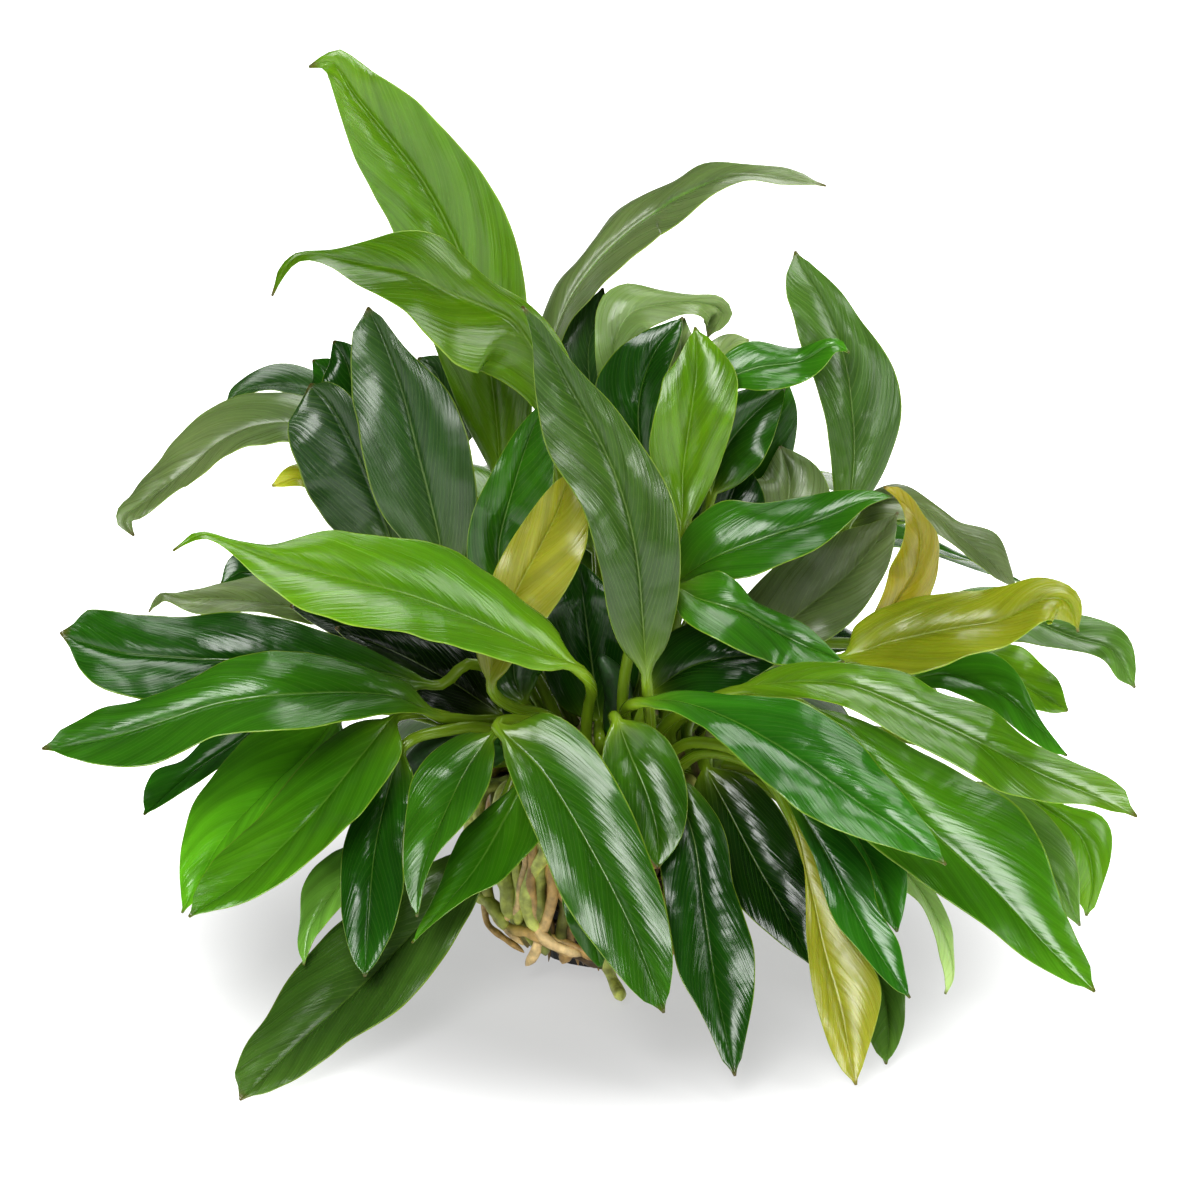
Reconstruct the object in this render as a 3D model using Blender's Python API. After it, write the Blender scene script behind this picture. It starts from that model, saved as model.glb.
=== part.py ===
"""Potted anubias: a water plant standing on its own roots, which have grown over its net pot and hidden it.

Metres, +Z up. The origin is the middle of the net pot's base, on the floor, and the plant's front looks to
-Y. A net pot holds a plug of growing medium. The rhizome creeps over the top of the plug, its roots run over
the rim and down outside the pot, and each leaf stands on the rhizome: most leaves are an object each, and the
small and the hidden ones are shoots of a few leaves from one foot.
"""
import math
import random
from typing import NamedTuple

import bmesh
import bpy
import numpy as np

MM = 0.001
CLEARANCE = 0.3 * MM

POT_HEIGHT = 66 * MM
POT_BASE_RADIUS = 28 * MM
POT_TOP_RADIUS = 40 * MM
POT_LIP_RADIUS = 41.5 * MM
POT_LIP_HEIGHT = 1.6 * MM
POT_WALL = 1.6 * MM
POT_FLOOR = 2.0 * MM
POT_HUB_RADIUS = 9 * MM
POT_SIDES = 24
POT_SLOTS = 12
POT_SLOT_WIDTH = 5 * MM
POT_SLOT_HEIGHTS = (10 * MM, 52 * MM)
POT_SLOPE = (POT_TOP_RADIUS - POT_BASE_RADIUS) / POT_HEIGHT
BASE_SLOTS = 6
BASE_SLOT_WIDTH = 4 * MM
CUT_PAST = 1 * MM

MEDIUM_TOP = 63 * MM
MEDIUM_INSET = 0.5 * MM

BRANCH_RADIUS = 7 * MM
BRANCH_LENGTH = 36 * MM
BRANCH_COUNT = 7
BRANCH_INNER_HEIGHT = 70.8 * MM
BRANCH_OUTER_HEIGHT = 75.5 * MM
BRANCH_END_TURNS = (0.6, 1.1, 1.45)
FOOT_GAP = 0.42 * MM

ROOT_COUNT = 18
ROOT_RADII = (1.7 * MM, 2.9 * MM)
ROOT_STOPS = 3
ROOT_START_DROP = 2.5 * MM
LIP_GAP = 1.2 * MM
WALL_GAP = 0.9 * MM
ROOT_BALL_BASE = 39 * MM
ROOT_BALL_TOP = 51 * MM
ROOT_BALL_HEIGHT = 72 * MM
CROWN_RADIUS = 44 * MM
CROWN_HEIGHT = 88 * MM

PETIOLE_RADIUS = 2.1 * MM
FOOT_SPACING = 2.75 * MM
SHOOT_RADIUS = 3.6 * MM
SHOOT_HEIGHT = 5 * MM
BLADE_EDGE = 0.34 * MM
MIDRIB = 0.75 * MM
MIDRIB_FADE = 0.45
PETIOLE_FADE = 7
BLADE_SHOULDER = 0.62
FLOOR_GAP = 1.5 * MM
LEAF_APART = 4.2 * MM
PETIOLE_APART = 4.7 * MM
RELAX_SPREAD = 9
ORDER_DOUBT = 4 * MM
WIDEST_SIDE = 0.78
SHARP_ANGLE = math.radians(50)

# The front view that the leaves are laid out in: a square picture, its pixels counted from the top left.
VIEW_ELEVATION = math.radians(20)
VIEW_DISTANCE = 1.5
VIEW_TARGET = np.array((-0.003, 0.0, 0.1315))
VIEW_FOCAL_PIXELS = 4200
PICTURE_MIDDLE = 600
VIEW_RIGHT = np.array((1.0, 0.0, 0.0))
VIEW_FORWARD = np.array((0.0, math.cos(VIEW_ELEVATION), -math.sin(VIEW_ELEVATION)))
VIEW_UP = np.array((0.0, math.sin(VIEW_ELEVATION), math.cos(VIEW_ELEVATION)))
EYE = VIEW_TARGET - VIEW_DISTANCE * VIEW_FORWARD
UP = np.array((0.0, 0.0, 1.0))

PETIOLE_STEPS = 20
BLADE_STEPS = 40
PETIOLE_CLEAR_FROM = 8


class Leaf(NamedTuple):
    """A leaf as the front view shows it.

    neck, midrib and tip are pixels of that view, and y says how deep the neck and the tip lie, in metres.
    width is the blade's full width, looks the azimuth and elevation that its upper face looks to, in degrees,
    with azimuth 0 to the front. shoot names the shoot it grows from, if it isn't a node of its own.
    """

    name: str
    colour: str
    neck: tuple
    midrib: tuple
    tip: tuple
    y: tuple
    width: float
    looks: tuple
    fold: float = 14
    wave: float = 0.0012
    ripples: float = 1.6
    shoot: str = ""
    taper: float = 0.92
    lift: float = 0.0


class BackLeaf(NamedTuple):
    """A leaf behind the plant, where the front view doesn't reach: its azimuth from the front, and its arc.

    Each of neck, top and tip is a distance from the pot's axis and a height, in metres.
    """

    name: str
    colour: str
    azimuth: float
    neck: tuple
    top: tuple
    tip: tuple
    width: float
    shoot: str
    fold: float = 14
    wave: float = 0.0014
    ripples: float = 1.8
    taper: float = 0.92
    lift: float = 0.0


# Front to back, as they cover each other in the front view.
LEAVES = [
    Leaf("front_centre", "mid", (497, 727), ((540, 768), (592, 850), (635, 935)), (664, 1013),
         (-.062, -.124), .036, (-5, 42)),
    Leaf("front_left_small", "mid", (496, 733), ((468, 765), (438, 825), (420, 880)), (417, 917),
         (-.060, -.102), .029, (-25, 45)),
    Leaf("front_small", "mid", (617, 722), ((630, 752), (648, 795), (658, 835)), (658, 868),
         (-.066, -.096), .030, (10, 40)),
    Leaf("front_left_under", "bright", (535, 765), ((505, 815), (478, 862), (445, 905)), (412, 943),
         (-.048, -.098), .034, (-25, 35)),
    Leaf("low_mid_glossy", "dark", (664, 768), ((692, 830), (704, 905), (716, 985)), (735, 1076),
         (-.062, -.137), .036, (5, 40)),
    Leaf("right_front_glossy", "dark", (638, 703),
         ((685, 703), (740, 722), (800, 756), (860, 800), (910, 835)),
         (946, 865), (-.070, -.146), .040, (15, 50)),
    Leaf("right_bright_long", "bright", (733, 692),
         ((790, 682), (850, 684), (920, 712), (990, 745), (1050, 776), (1095, 795)),
         (1137, 817), (-.060, -.128), .036, (10, 55)),
    Leaf("right_big", "mid", (800, 705), ((860, 750), (930, 825), (1000, 893), (1050, 948)), (1095, 992),
         (-.055, -.126), .044, (20, 42)),
    Leaf("low_right_dark", "dark", (785, 792), ((820, 845), (852, 905), (880, 955)), (910, 998),
         (-.076, -.128), .034, (12, 38), lift=.008),
    Leaf("yellow_low", "yellow", (790, 815), ((808, 880), (824, 950), (842, 1015)), (856, 1085),
         (-.070, -.130), .030, (5, 40), lift=.012),
    Leaf("left_bright", "bright", (581, 672),
         ((536, 648), (481, 619), (418, 593), (359, 577), (292, 560), (233, 544), (200, 535)),
         (173, 551), (-.064, -.112), .038, (-4, 60), taper=1.15),
    Leaf("left_long", "mid", (440, 718), ((390, 695), (300, 690), (220, 700), (150, 722), (90, 740)),
         (42, 749), (-.038, -.080), .038, (-4, 62)),
    Leaf("left_blunt", "dark", (441, 685), ((380, 672), (280, 660), (180, 655), (110, 648)), (60, 633),
         (-.014, -.054), .041, (-4, 52), taper=0.45, lift=.015),
    Leaf("left_glossy", "bright", (400, 716), ((366, 748), (312, 812), (250, 872)), (189, 917),
         (-.045, -.106), .036, (-25, 50)),
    Leaf("left_low_dark", "dark", (405, 745), ((388, 790), (374, 850), (368, 915)), (365, 977),
         (-.050, -.102), .031, (-15, 35)),
    Leaf("left_mid", "mid", (345, 712), ((309, 749), (267, 787), (221, 837)), (182, 913), (-.026, -.084),
         .036, (-35, 45)),
    Leaf("left_curl_low", "mid", (380, 815), ((362, 850), (332, 890), (309, 930)), (304, 965),
         (-.042, -.072), .026, (-40, 35)),
    Leaf("left_dark_tip", "dark", (280, 712), ((235, 742), (190, 772)), (144, 815), (.004, -.040), .028,
         (-35, 50), lift=-.004),
    Leaf("floor_left", "dark", (485, 840), ((439, 900), (395, 948), (348, 994), (296, 1042)), (240, 1100),
         (-.060, -.136), .040, (-20, 50)),
    Leaf("centre_big", "dark", (647, 683),
         ((643, 622), (638, 566), (629, 518), (617, 479), (597, 434), (572, 390), (547, 345)),
         (522, 306), (-.068, -.036), .037, (3, 12), 12, .001),
    Leaf("right_small_over", "dark", (672, 590), ((700, 598), (740, 608), (790, 636)), (844, 662),
         (-.046, -.082), .027, (15, 55)),
    Leaf("right_dark_under", "dark", (655, 692), ((690, 665), (735, 655)), (790, 655), (-.036, -.036),
         .032, (5, 50)),
    Leaf("right_yellowgreen", "lime", (842, 660),
         ((890, 640), (950, 626), (1000, 618), (1045, 597), (1068, 600)),
         (1078, 632), (-.042, -.062), .034, (5, 58), lift=.006),
    Leaf("right_yellow_up", "yellow", (872, 650),
         ((890, 612), (918, 570), (922, 540), (912, 512), (898, 498)),
         (884, 487), (-.034, -.020), .026, (25, 12)),
    Leaf("right_mid_long", "mid", (672, 592), ((710, 558), (765, 535), (820, 518), (865, 500)), (893, 497),
         (-.030, -.036), .034, (8, 58)),
    Leaf("right_glossy_dark", "dark", (715, 657), ((765, 636), (815, 600), (860, 562)), (898, 512),
         (-.022, -.012), .042, (10, 40)),
    Leaf("yellow_centre", "yellow", (492, 690), ((495, 650), (512, 600), (538, 550), (558, 510)),
         (570, 472), (-.042, -.026), .027, (-5, 12)),
    Leaf("small_centre", "mid", (523, 700), ((514, 675), (516, 640)), (522, 600), (-.034, -.026), .022,
         (0, 20), shoot="shoot_inner_left"),
    Leaf("inner_dark_mid", "dark", (600, 722), ((594, 680), (586, 620)), (578, 560), (-.017, -.010), .036,
         (0, 20)),
    Leaf("bright_mid", "bright", (681, 532), ((683, 475), (692, 410), (697, 365)), (695, 327),
         (-.022, .006), .034, (5, 18)),
    Leaf("inner_left_green", "mid", (505, 612), ((498, 550), (512, 490), (530, 435)), (548, 395),
         (-.020, -.004), .030, (-8, 15)),
    Leaf("top_left_arch", "bright", (588, 470),
         ((555, 395), (516, 322), (488, 306), (451, 290), (413, 272), (375, 264), (340, 258), (296, 256)),
         (272, 296), (-.008, -.030), .040, (-12, 42), 14, .002),
    Leaf("dark_mid_up", "dark", (655, 505), ((640, 450), (638, 400), (655, 350)), (683, 317), (.008, .026),
         .032, (-25, 20)),
    Leaf("right_arch_small", "mid", (712, 432), ((722, 385), (755, 366), (800, 360), (834, 344)),
         (849, 353), (.002, .004), .026, (8, 55)),
    Leaf("dark_right_mid", "dark", (712, 492), ((725, 450), (750, 418)), (785, 387), (.008, .020), .028,
         (5, 30), shoot="shoot_inner_right"),
    Leaf("tall_left_dark", "grey", (450, 588), ((437, 530), (418, 455), (400, 385), (382, 335)),
         (368, 307), (.014, .056), .038, (-5, 20)),
    Leaf("left_upright_dark", "grey", (402, 562), ((377, 500), (350, 440), (326, 400)), (310, 384),
         (.024, .062), .038, (-15, 25)),
    Leaf("top_tall", "bright", (500, 505),
         ((498, 440), (484, 340), (457, 249), (419, 177), (385, 133), (353, 93), (331, 61)),
         (309, 67), (.034, .052), .046, (-6, 10), 14, .0018),
    Leaf("tall_right", "mid", (842, 538),
         ((851, 490), (855, 449), (853, 411), (848, 370), (836, 329), (818, 292), (799, 262)),
         (795, 251), (.000, .030), .038, (15, 12), 12, .0016),
    Leaf("far_left_arch", "grey", (360, 472),
         ((325, 430), (280, 420), (230, 432), (180, 472), (140, 504), (124, 519)),
         (134, 536), (.040, .020), .032, (-12, 72)),
    Leaf("round_dark", "dark", (715, 562), ((722, 520), (735, 488)), (742, 462), (.010, .024), .034,
         (5, 15), shoot="shoot_inner_right"),
    Leaf("grey_folded", "grey", (790, 562), ((788, 515), (790, 478)), (780, 446), (.024, .042), .034,
         (15, 20), shoot="shoot_inner_right"),
    Leaf("folded_top", "pale", (640, 472),
         ((618, 400), (614, 345), (630, 312), (665, 303), (705, 303), (722, 312)),
         (708, 337), (.040, .056), .034, (-20, 45)),
    Leaf("top_right_grey", "grey", (552, 442),
         ((549, 370), (562, 310), (590, 262), (642, 215), (698, 183), (739, 174), (777, 177)),
         (826, 186), (.050, .060), .034, (-60, 55)),
    Leaf("low_right_mid", "dark", (830, 800), ((860, 840), (883, 885)), (897, 932), (-.050, -.082), .024,
         (20, 40), shoot="shoot_low_right"),
    Leaf("right_dark_strip", "dark", (960, 790), ((1010, 822), (1052, 872)), (1080, 926), (-.032, -.058),
         .026, (30, 40), shoot="shoot_right_low"),
    Leaf("right_bright_low", "bright", (985, 762), ((1035, 800), (1082, 835), (1094, 880)), (1086, 916),
         (-.045, -.066), .032, (30, 42), shoot="shoot_right_low"),
    Leaf("grey_thin", "pale", (870, 830), ((905, 868), (932, 906), (950, 948), (953, 978)), (945, 994),
         (-.040, -.068), .022, (55, 50), shoot="shoot_low_right"),
    Leaf("low_right_back", "grey", (850, 900), ((870, 950), (886, 1000), (889, 1035)), (886, 1064),
         (-.045, -.110), .030, (10, 40), shoot="shoot_low_right"),
    Leaf("mid_dark_front", "dark", (706, 770), ((730, 812), (760, 868), (790, 920)), (812, 965),
         (-.037, -.090), .034, (10, 40), shoot="shoot_low_mid"),
    Leaf("mid_dark_behind", "dark", (708, 772), ((724, 804), (745, 850), (770, 900)), (788, 932),
         (-.028, -.064), .034, (15, 40), shoot="shoot_low_mid"),
    Leaf("root_leaf", "mid", (575, 868), ((588, 915),), (601, 969), (-.062, -.072), .016, (0, 25)),
    Leaf("right_far", "mid", (900, 640), ((955, 612), (1020, 615), (1075, 636), (1112, 648)), (1135, 688),
         (.004, -.020), .034, (15, 58)),
    Leaf("right_dark_fold", "dark", (900, 682), ((950, 674), (1000, 692), (1035, 722)), (1067, 756),
         (.008, -.016), .036, (25, 45)),
    Leaf("right_green_tip", "bright", (980, 660), ((1010, 675), (1040, 694)), (1068, 711), (.030, .022),
         .026, (30, 45), shoot="shoot_right_far"),
    Leaf("right_back_arch", "grey", (845, 530), ((880, 502), (920, 505), (960, 535), (992, 560)),
         (1016, 586), (.040, .044), .025, (20, 55), shoot="shoot_right_far"),
    Leaf("inner_dark_left", "dark", (500, 715), ((455, 682), (400, 652)), (335, 628), (-.014, -.026), .032,
         (-5, 55), shoot="shoot_inner_left"),
    Leaf("inner_dark_left_b", "dark", (470, 690), ((410, 652), (350, 625)), (290, 606), (.006, -.004),
         .028, (-5, 55), shoot="shoot_left_behind"),
    Leaf("left_grey_under", "grey", (330, 616), ((280, 603), (225, 597), (180, 598), (160, 594)),
         (149, 612), (.012, -.010), .030, (-5, 62), shoot="shoot_left_behind"),
    Leaf("green_right_back", "mid", (745, 502), ((760, 455), (775, 415)), (786, 378), (.044, .052), .024,
         (20, 20), shoot="shoot_right_far"),
    Leaf("grey_small_behind", "grey", (602, 452), ((592, 400), (588, 350)), (603, 288), (.050, .066), .026,
         (-10, 25), shoot="shoot_top_mid"),
    Leaf("pale_behind", "pale", (702, 440), ((692, 390), (681, 350)), (684, 318), (.026, .034), .020,
         (-15, 20), shoot="shoot_top_mid"),
    Leaf("back_curl", "pale", (702, 402), ((715, 362), (732, 344)), (749, 340), (.032, .036), .014,
         (10, 40), shoot="shoot_top_mid"),
    Leaf("back_left_c", "grey", (456, 452), ((446, 400), (434, 370)), (418, 358), (.066, .086), .026,
         (-10, 35)),
    Leaf("back_left_b", "dark", (362, 432), ((353, 390), (344, 358)), (334, 341), (.070, .090), .024,
         (-15, 25), shoot="shoot_left_behind"),
    Leaf("back_left_a", "dark", (345, 442), ((335, 400), (325, 372)), (313, 360), (.072, .106), .024,
         (-15, 25), shoot="shoot_left_behind"),
    Leaf("far_left_behind", "grey", (350, 422), ((320, 396), (290, 385), (262, 385), (240, 391)),
         (227, 403), (.060, .054), .022, (-10, 65), shoot="shoot_left_behind"),
    Leaf("yellow_tip_left", "yellow", (360, 512), ((330, 488), (300, 477)), (272, 486), (.050, .038), .018,
         (-10, 55), shoot="shoot_left_behind"),
    Leaf("left_bump", "dark", (300, 592), ((266, 574), (242, 571)), (221, 584), (.050, .042), .020,
         (-10, 50), shoot="shoot_left_behind"),
    Leaf("right_strip_back", "lime", (890, 522), ((918, 512), (938, 526)), (953, 541), (.023, .026), .012,
         (25, 50), shoot="shoot_right_far"),
]

# The two margins of the leaves that the front view shows, in its pixels, from the neck to the tip.
MARGINS = {
    "top_tall": (
        ((491, 475), (463, 422), (440, 359), (412, 285), (390, 225), (375, 202), (364, 177), (353, 161),
         (344, 127), (335, 93), (326, 66), (317, 56)),
        ((528, 470), (533, 406), (530, 345), (526, 302), (523, 274), (516, 243), (507, 215), (491, 187),
         (476, 162), (457, 143), (438, 124), (422, 102), (407, 91), (388, 83), (376, 71), (360, 60),
         (344, 55), (322, 51)),
    ),
    "top_left_arch": (
        ((565, 455), (533, 405), (519, 390), (494, 378), (469, 368), (450, 357), (435, 343), (419, 323),
         (394, 303), (375, 295), (358, 292), (344, 281), (331, 267), (319, 259), (303, 262), (288, 270),
         (277, 281)),
        ((600, 430), (560, 335), (533, 306), (519, 295), (501, 284), (482, 274), (469, 259), (457, 243),
         (438, 234), (419, 231), (394, 232), (375, 238), (363, 246), (344, 248), (322, 252), (303, 252),
         (285, 257), (270, 283)),
    ),
    "top_right_grey": (
        ((534, 400), (540, 330), (545, 300), (557, 278), (576, 256), (595, 234), (612, 206), (642, 193),
         (665, 187), (687, 176), (698, 165), (709, 161), (728, 165), (750, 167), (773, 166), (795, 169),
         (814, 176)),
        ((556, 395), (560, 337), (573, 321), (592, 299), (610, 281), (635, 256), (657, 237), (689, 212),
         (701, 199), (717, 190), (732, 182), (750, 178), (764, 180), (773, 189), (788, 189), (806, 185)),
    ),
    "folded_top": (
        ((605, 430), (599, 380), (596, 340), (596, 300), (609, 283), (631, 281), (654, 286), (676, 292),
         (698, 295), (728, 294), (733, 318), (722, 330)),
        ((650, 430), (634, 385), (627, 355), (635, 338), (657, 324), (683, 315), (702, 316), (706, 325)),
    ),
    "tall_left_dark": (
        ((418, 560), (384, 520), (372, 494), (366, 469), (360, 444), (358, 422), (350, 400), (351, 390),
         (350, 368), (352, 331), (359, 312)),
        ((470, 555), (477, 520), (478, 494), (474, 469), (469, 440), (460, 415), (450, 393), (438, 378),
         (419, 362), (403, 346), (388, 325), (376, 309)),
    ),
    "left_upright_dark": (
        ((372, 562), (330, 530), (310, 500), (299, 469), (289, 447), (286, 428), (288, 400), (294, 387),
         (303, 383)),
        ((410, 545), (395, 500), (378, 460), (365, 425), (355, 400), (344, 388), (328, 380)),
    ),
    "bright_mid": (
        ((670, 520), (655, 480), (648, 445), (655, 411), (661, 393), (663, 374), (674, 366), (681, 351)),
        ((687, 527), (702, 505), (719, 471), (728, 441), (736, 411), (738, 393), (739, 374), (735, 366),
         (721, 350), (709, 337)),
    ),
    "tall_right": (
        ((838, 520), (834, 486), (829, 449), (823, 411), (814, 378), (799, 337), (793, 310), (785, 299),
         (783, 284), (788, 266)),
        ((862, 512), (887, 471), (896, 445), (902, 419), (901, 396), (896, 374), (889, 360), (877, 340),
         (862, 322), (848, 297), (833, 281), (814, 266), (801, 254)),
    ),
    "right_arch_small": (
        ((700, 410), (708, 378), (722, 357), (739, 346), (754, 341), (777, 344), (799, 346), (818, 340),
         (833, 338), (845, 342)),
        ((722, 418), (730, 394), (739, 388), (758, 393), (777, 389), (799, 381), (814, 374), (829, 361),
         (838, 350)),
    ),
    "right_mid_long": (
        ((672, 560), (681, 531), (698, 516), (717, 503), (732, 500), (754, 503), (777, 500), (799, 494),
         (829, 490), (859, 491), (881, 492)),
        ((681, 586), (702, 580), (728, 581), (747, 579), (765, 570), (792, 557), (814, 549), (825, 542),
         (848, 525), (866, 508), (881, 501)),
    ),
    "right_glossy_dark": (
        ((720, 630), (740, 600), (754, 585), (777, 564), (799, 553), (825, 540), (844, 529), (866, 525),
         (885, 519)),
        ((760, 662), (800, 655), (833, 636), (851, 622), (866, 606), (877, 587), (889, 568), (896, 538)),
    ),
    "right_small_over": (
        ((680, 583), (698, 572), (721, 572), (739, 583), (754, 598), (777, 609), (799, 620), (821, 639),
         (836, 654)),
        ((678, 613), (698, 632), (721, 643), (747, 654), (777, 662), (806, 664), (829, 665)),
    ),
    "right_yellowgreen": (
        ((836, 643), (859, 624), (885, 607), (911, 598), (945, 590), (982, 587), (1008, 585), (1030, 579),
         (1053, 579), (1075, 590), (1083, 604), (1081, 622)),
        ((851, 664), (877, 671), (911, 673), (937, 665), (963, 656), (986, 650), (1004, 648), (1027, 635),
         (1049, 620), (1066, 613), (1074, 620)),
    ),
    "right_yellow_up": (
        ((868, 625), (877, 604), (885, 587), (894, 564), (902, 546), (905, 520), (900, 501), (890, 492)),
        ((890, 650), (925, 610), (939, 579), (941, 553), (939, 531), (922, 516), (915, 501), (903, 489),
         (892, 484)),
    ),
    "right_far": (
        ((925, 612), (965, 588), (1010, 584), (1050, 600), (1072, 614), (1090, 617), (1109, 624),
         (1128, 635), (1133, 650), (1137, 673)),
        ((925, 650), (975, 640), (1023, 639), (1042, 646), (1068, 652), (1090, 654), (1109, 665),
         (1116, 680)),
    ),
    "right_back_arch": (
        ((860, 500), (889, 482), (907, 484), (922, 490), (941, 508), (960, 523), (982, 529), (997, 534),
         (1008, 553), (1012, 564)),
        ((862, 530), (895, 520), (920, 520), (937, 530), (956, 545), (974, 564), (993, 579), (1008, 585)),
    ),
    "right_dark_fold": (
        ((905, 668), (929, 660), (963, 652), (982, 650), (1001, 657), (1019, 672), (1030, 695), (1048, 730)),
        ((912, 690), (945, 690), (975, 700), (999, 712), (1021, 735), (1050, 755)),
    ),
    "front_centre": (
        ((498, 737), (506, 766), (524, 810), (542, 849), (559, 893), (581, 928), (612, 968), (638, 999)),
        ((506, 721), (533, 709), (559, 715), (586, 735), (612, 774), (634, 814), (649, 854), (663, 893),
         (671, 933), (674, 968), (669, 994)),
    ),
    "front_left_small": (
        ((485, 728), (460, 732), (431, 753), (410, 782), (403, 816), (403, 850), (405, 883), (413, 910)),
        ((496, 736), (496, 757), (489, 782), (473, 812), (456, 833), (435, 858), (424, 883), (420, 908)),
    ),
    "front_left_under": (
        ((515, 785), (488, 806), (466, 828), (450, 855), (442, 875), (432, 898), (420, 924)),
        ((545, 790), (548, 820), (536, 843), (515, 866), (498, 887), (473, 896), (447, 912), (430, 926)),
    ),
    "low_mid_glossy": (
        ((655, 800), (657, 840), (661, 871), (669, 924), (678, 977), (700, 1012), (713, 1038), (724, 1065)),
        ((678, 775), (696, 788), (718, 814), (729, 840), (732, 880), (744, 915), (755, 950), (755, 994),
         (746, 1038), (740, 1065)),
    ),
    "right_front_glossy": (
        ((641, 697), (669, 689), (700, 688), (726, 695), (762, 697), (797, 700), (823, 713), (845, 726),
         (867, 748), (894, 779), (920, 814), (940, 847)),
        ((645, 710), (669, 708), (700, 726), (731, 752), (762, 779), (797, 805), (832, 827), (867, 840),
         (902, 853)),
    ),
    "right_bright_long": (
        ((736, 686), (748, 677), (779, 664), (806, 662), (854, 666), (889, 669), (916, 675), (942, 695),
         (973, 697), (999, 708), (1021, 735), (1052, 752), (1078, 766), (1109, 777), (1127, 792),
         (1135, 808)),
        ((744, 697), (779, 697), (814, 700), (845, 708), (876, 722), (902, 737), (929, 750), (960, 761),
         (986, 783), (1012, 796), (1048, 803), (1087, 807), (1114, 812)),
    ),
    "right_big": (
        ((815, 705), (850, 715), (885, 728), (915, 747), (945, 760), (986, 787), (1012, 798), (1026, 814),
         (1043, 845), (1056, 880), (1065, 911), (1083, 946), (1094, 968)),
        ((805, 740), (830, 790), (862, 836), (889, 854), (920, 880), (955, 906), (986, 928), (1021, 955),
         (1056, 975), (1083, 988)),
    ),
    "low_right_dark": (
        ((788, 805), (801, 832), (814, 858), (825, 893), (836, 924), (854, 946), (876, 972), (894, 990)),
        ((814, 808), (841, 827), (858, 845), (872, 871), (876, 906), (889, 928), (900, 942), (905, 968)),
    ),
    "yellow_low": (
        ((792, 822), (804, 858), (806, 902), (806, 942), (810, 977), (819, 1016), (832, 1052), (847, 1078)),
        ((812, 830), (828, 870), (842, 910), (862, 950), (876, 972), (884, 986), (880, 1012), (872, 1038),
         (863, 1065)),
    ),
    "low_right_back": (
        ((842, 925), (846, 965), (858, 1005), (871, 1043)),
        ((880, 910), (900, 950), (905, 986), (906, 1021), (898, 1047)),
    ),
    "right_bright_low": (
        ((1000, 800), (1030, 823), (1056, 845), (1074, 876), (1077, 898)),
        ((1021, 785), (1052, 800), (1083, 808), (1105, 812), (1116, 832), (1111, 858), (1100, 889),
         (1094, 911)),
    ),
    "grey_thin": (
        ((872, 848), (889, 876), (920, 906), (938, 942), (945, 968)),
        ((885, 838), (898, 862), (924, 873), (942, 906), (953, 933), (955, 964), (949, 986)),
    ),
    "left_bright": (
        ((575, 655), (560, 627), (531, 602), (506, 581), (477, 560), (443, 543), (418, 539), (389, 539),
         (359, 534), (334, 528), (305, 532), (284, 542), (258, 543), (229, 539), (212, 532), (195, 530),
         (181, 540)),
        ((560, 671), (527, 665), (494, 656), (460, 648), (426, 640), (397, 631), (359, 625), (326, 614),
         (292, 602), (267, 581), (242, 560), (221, 543), (204, 537), (187, 546)),
    ),
    "left_blunt": (
        ((435, 680), (418, 672), (389, 656), (351, 641), (309, 627), (275, 618), (242, 610), (216, 610),
         (187, 614), (158, 614), (124, 612), (99, 608), (74, 610), (62, 622), (60, 638)),
        ((420, 692), (385, 692), (330, 694), (270, 697), (200, 699), (160, 698), (124, 696), (103, 684),
         (93, 685), (82, 671), (71, 656)),
    ),
    "left_long": (
        ((439, 707), (426, 690), (410, 681), (389, 671), (359, 662), (326, 654), (292, 651), (258, 653),
         (229, 658), (200, 673), (174, 686), (145, 696), (116, 700), (82, 715), (53, 736)),
        ((418, 712), (389, 711), (359, 716), (334, 722), (309, 729), (275, 732), (237, 733), (208, 738),
         (183, 749), (158, 762), (124, 765), (90, 762), (57, 753)),
    ),
    "left_glossy": (
        ((385, 715), (351, 719), (334, 732), (313, 753), (288, 782), (258, 816), (229, 841), (212, 858),
         (195, 892)),
        ((405, 735), (402, 755), (389, 774), (359, 812), (330, 845), (300, 871), (275, 887), (250, 900),
         (216, 908)),
    ),
    "left_mid": (
        ((325, 712), (290, 716), (250, 732), (237, 742), (216, 766), (200, 787), (189, 812), (183, 841),
         (180, 879)),
        ((345, 735), (318, 765), (285, 800), (252, 838), (222, 870), (198, 898)),
    ),
    "left_low_dark": (
        ((388, 755), (372, 790), (351, 824), (342, 850), (339, 879), (340, 913), (349, 950), (358, 970)),
        ((412, 760), (416, 790), (409, 805), (402, 830), (402, 858), (405, 883), (397, 925), (376, 963)),
    ),
    "left_curl_low": (
        ((356, 838), (334, 850), (313, 871), (300, 892), (298, 920), (296, 945)),
        ((375, 850), (366, 880), (342, 908), (328, 920), (314, 936)),
    ),
    "left_grey_under": (
        ((325, 585), (290, 572), (250, 574), (225, 583), (200, 590), (170, 593), (160, 594), (151, 602)),
        ((320, 624), (290, 618), (250, 613), (208, 612), (191, 611), (181, 606), (170, 600), (162, 603)),
    ),
    "left_dark_tip": (
        ((262, 712), (230, 722), (200, 742), (179, 759), (153, 770), (144, 791)),
        ((282, 722), (268, 735), (242, 752), (225, 765), (200, 780), (179, 791), (158, 808)),
    ),
    "floor_left": (
        ((450, 850), (400, 878), (351, 913), (326, 934), (300, 959), (284, 980), (267, 1013), (246, 1043),
         (235, 1068), (233, 1085)),
        ((492, 870), (479, 894), (473, 908), (452, 942), (431, 971), (405, 1005), (376, 1026), (342, 1047),
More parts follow.
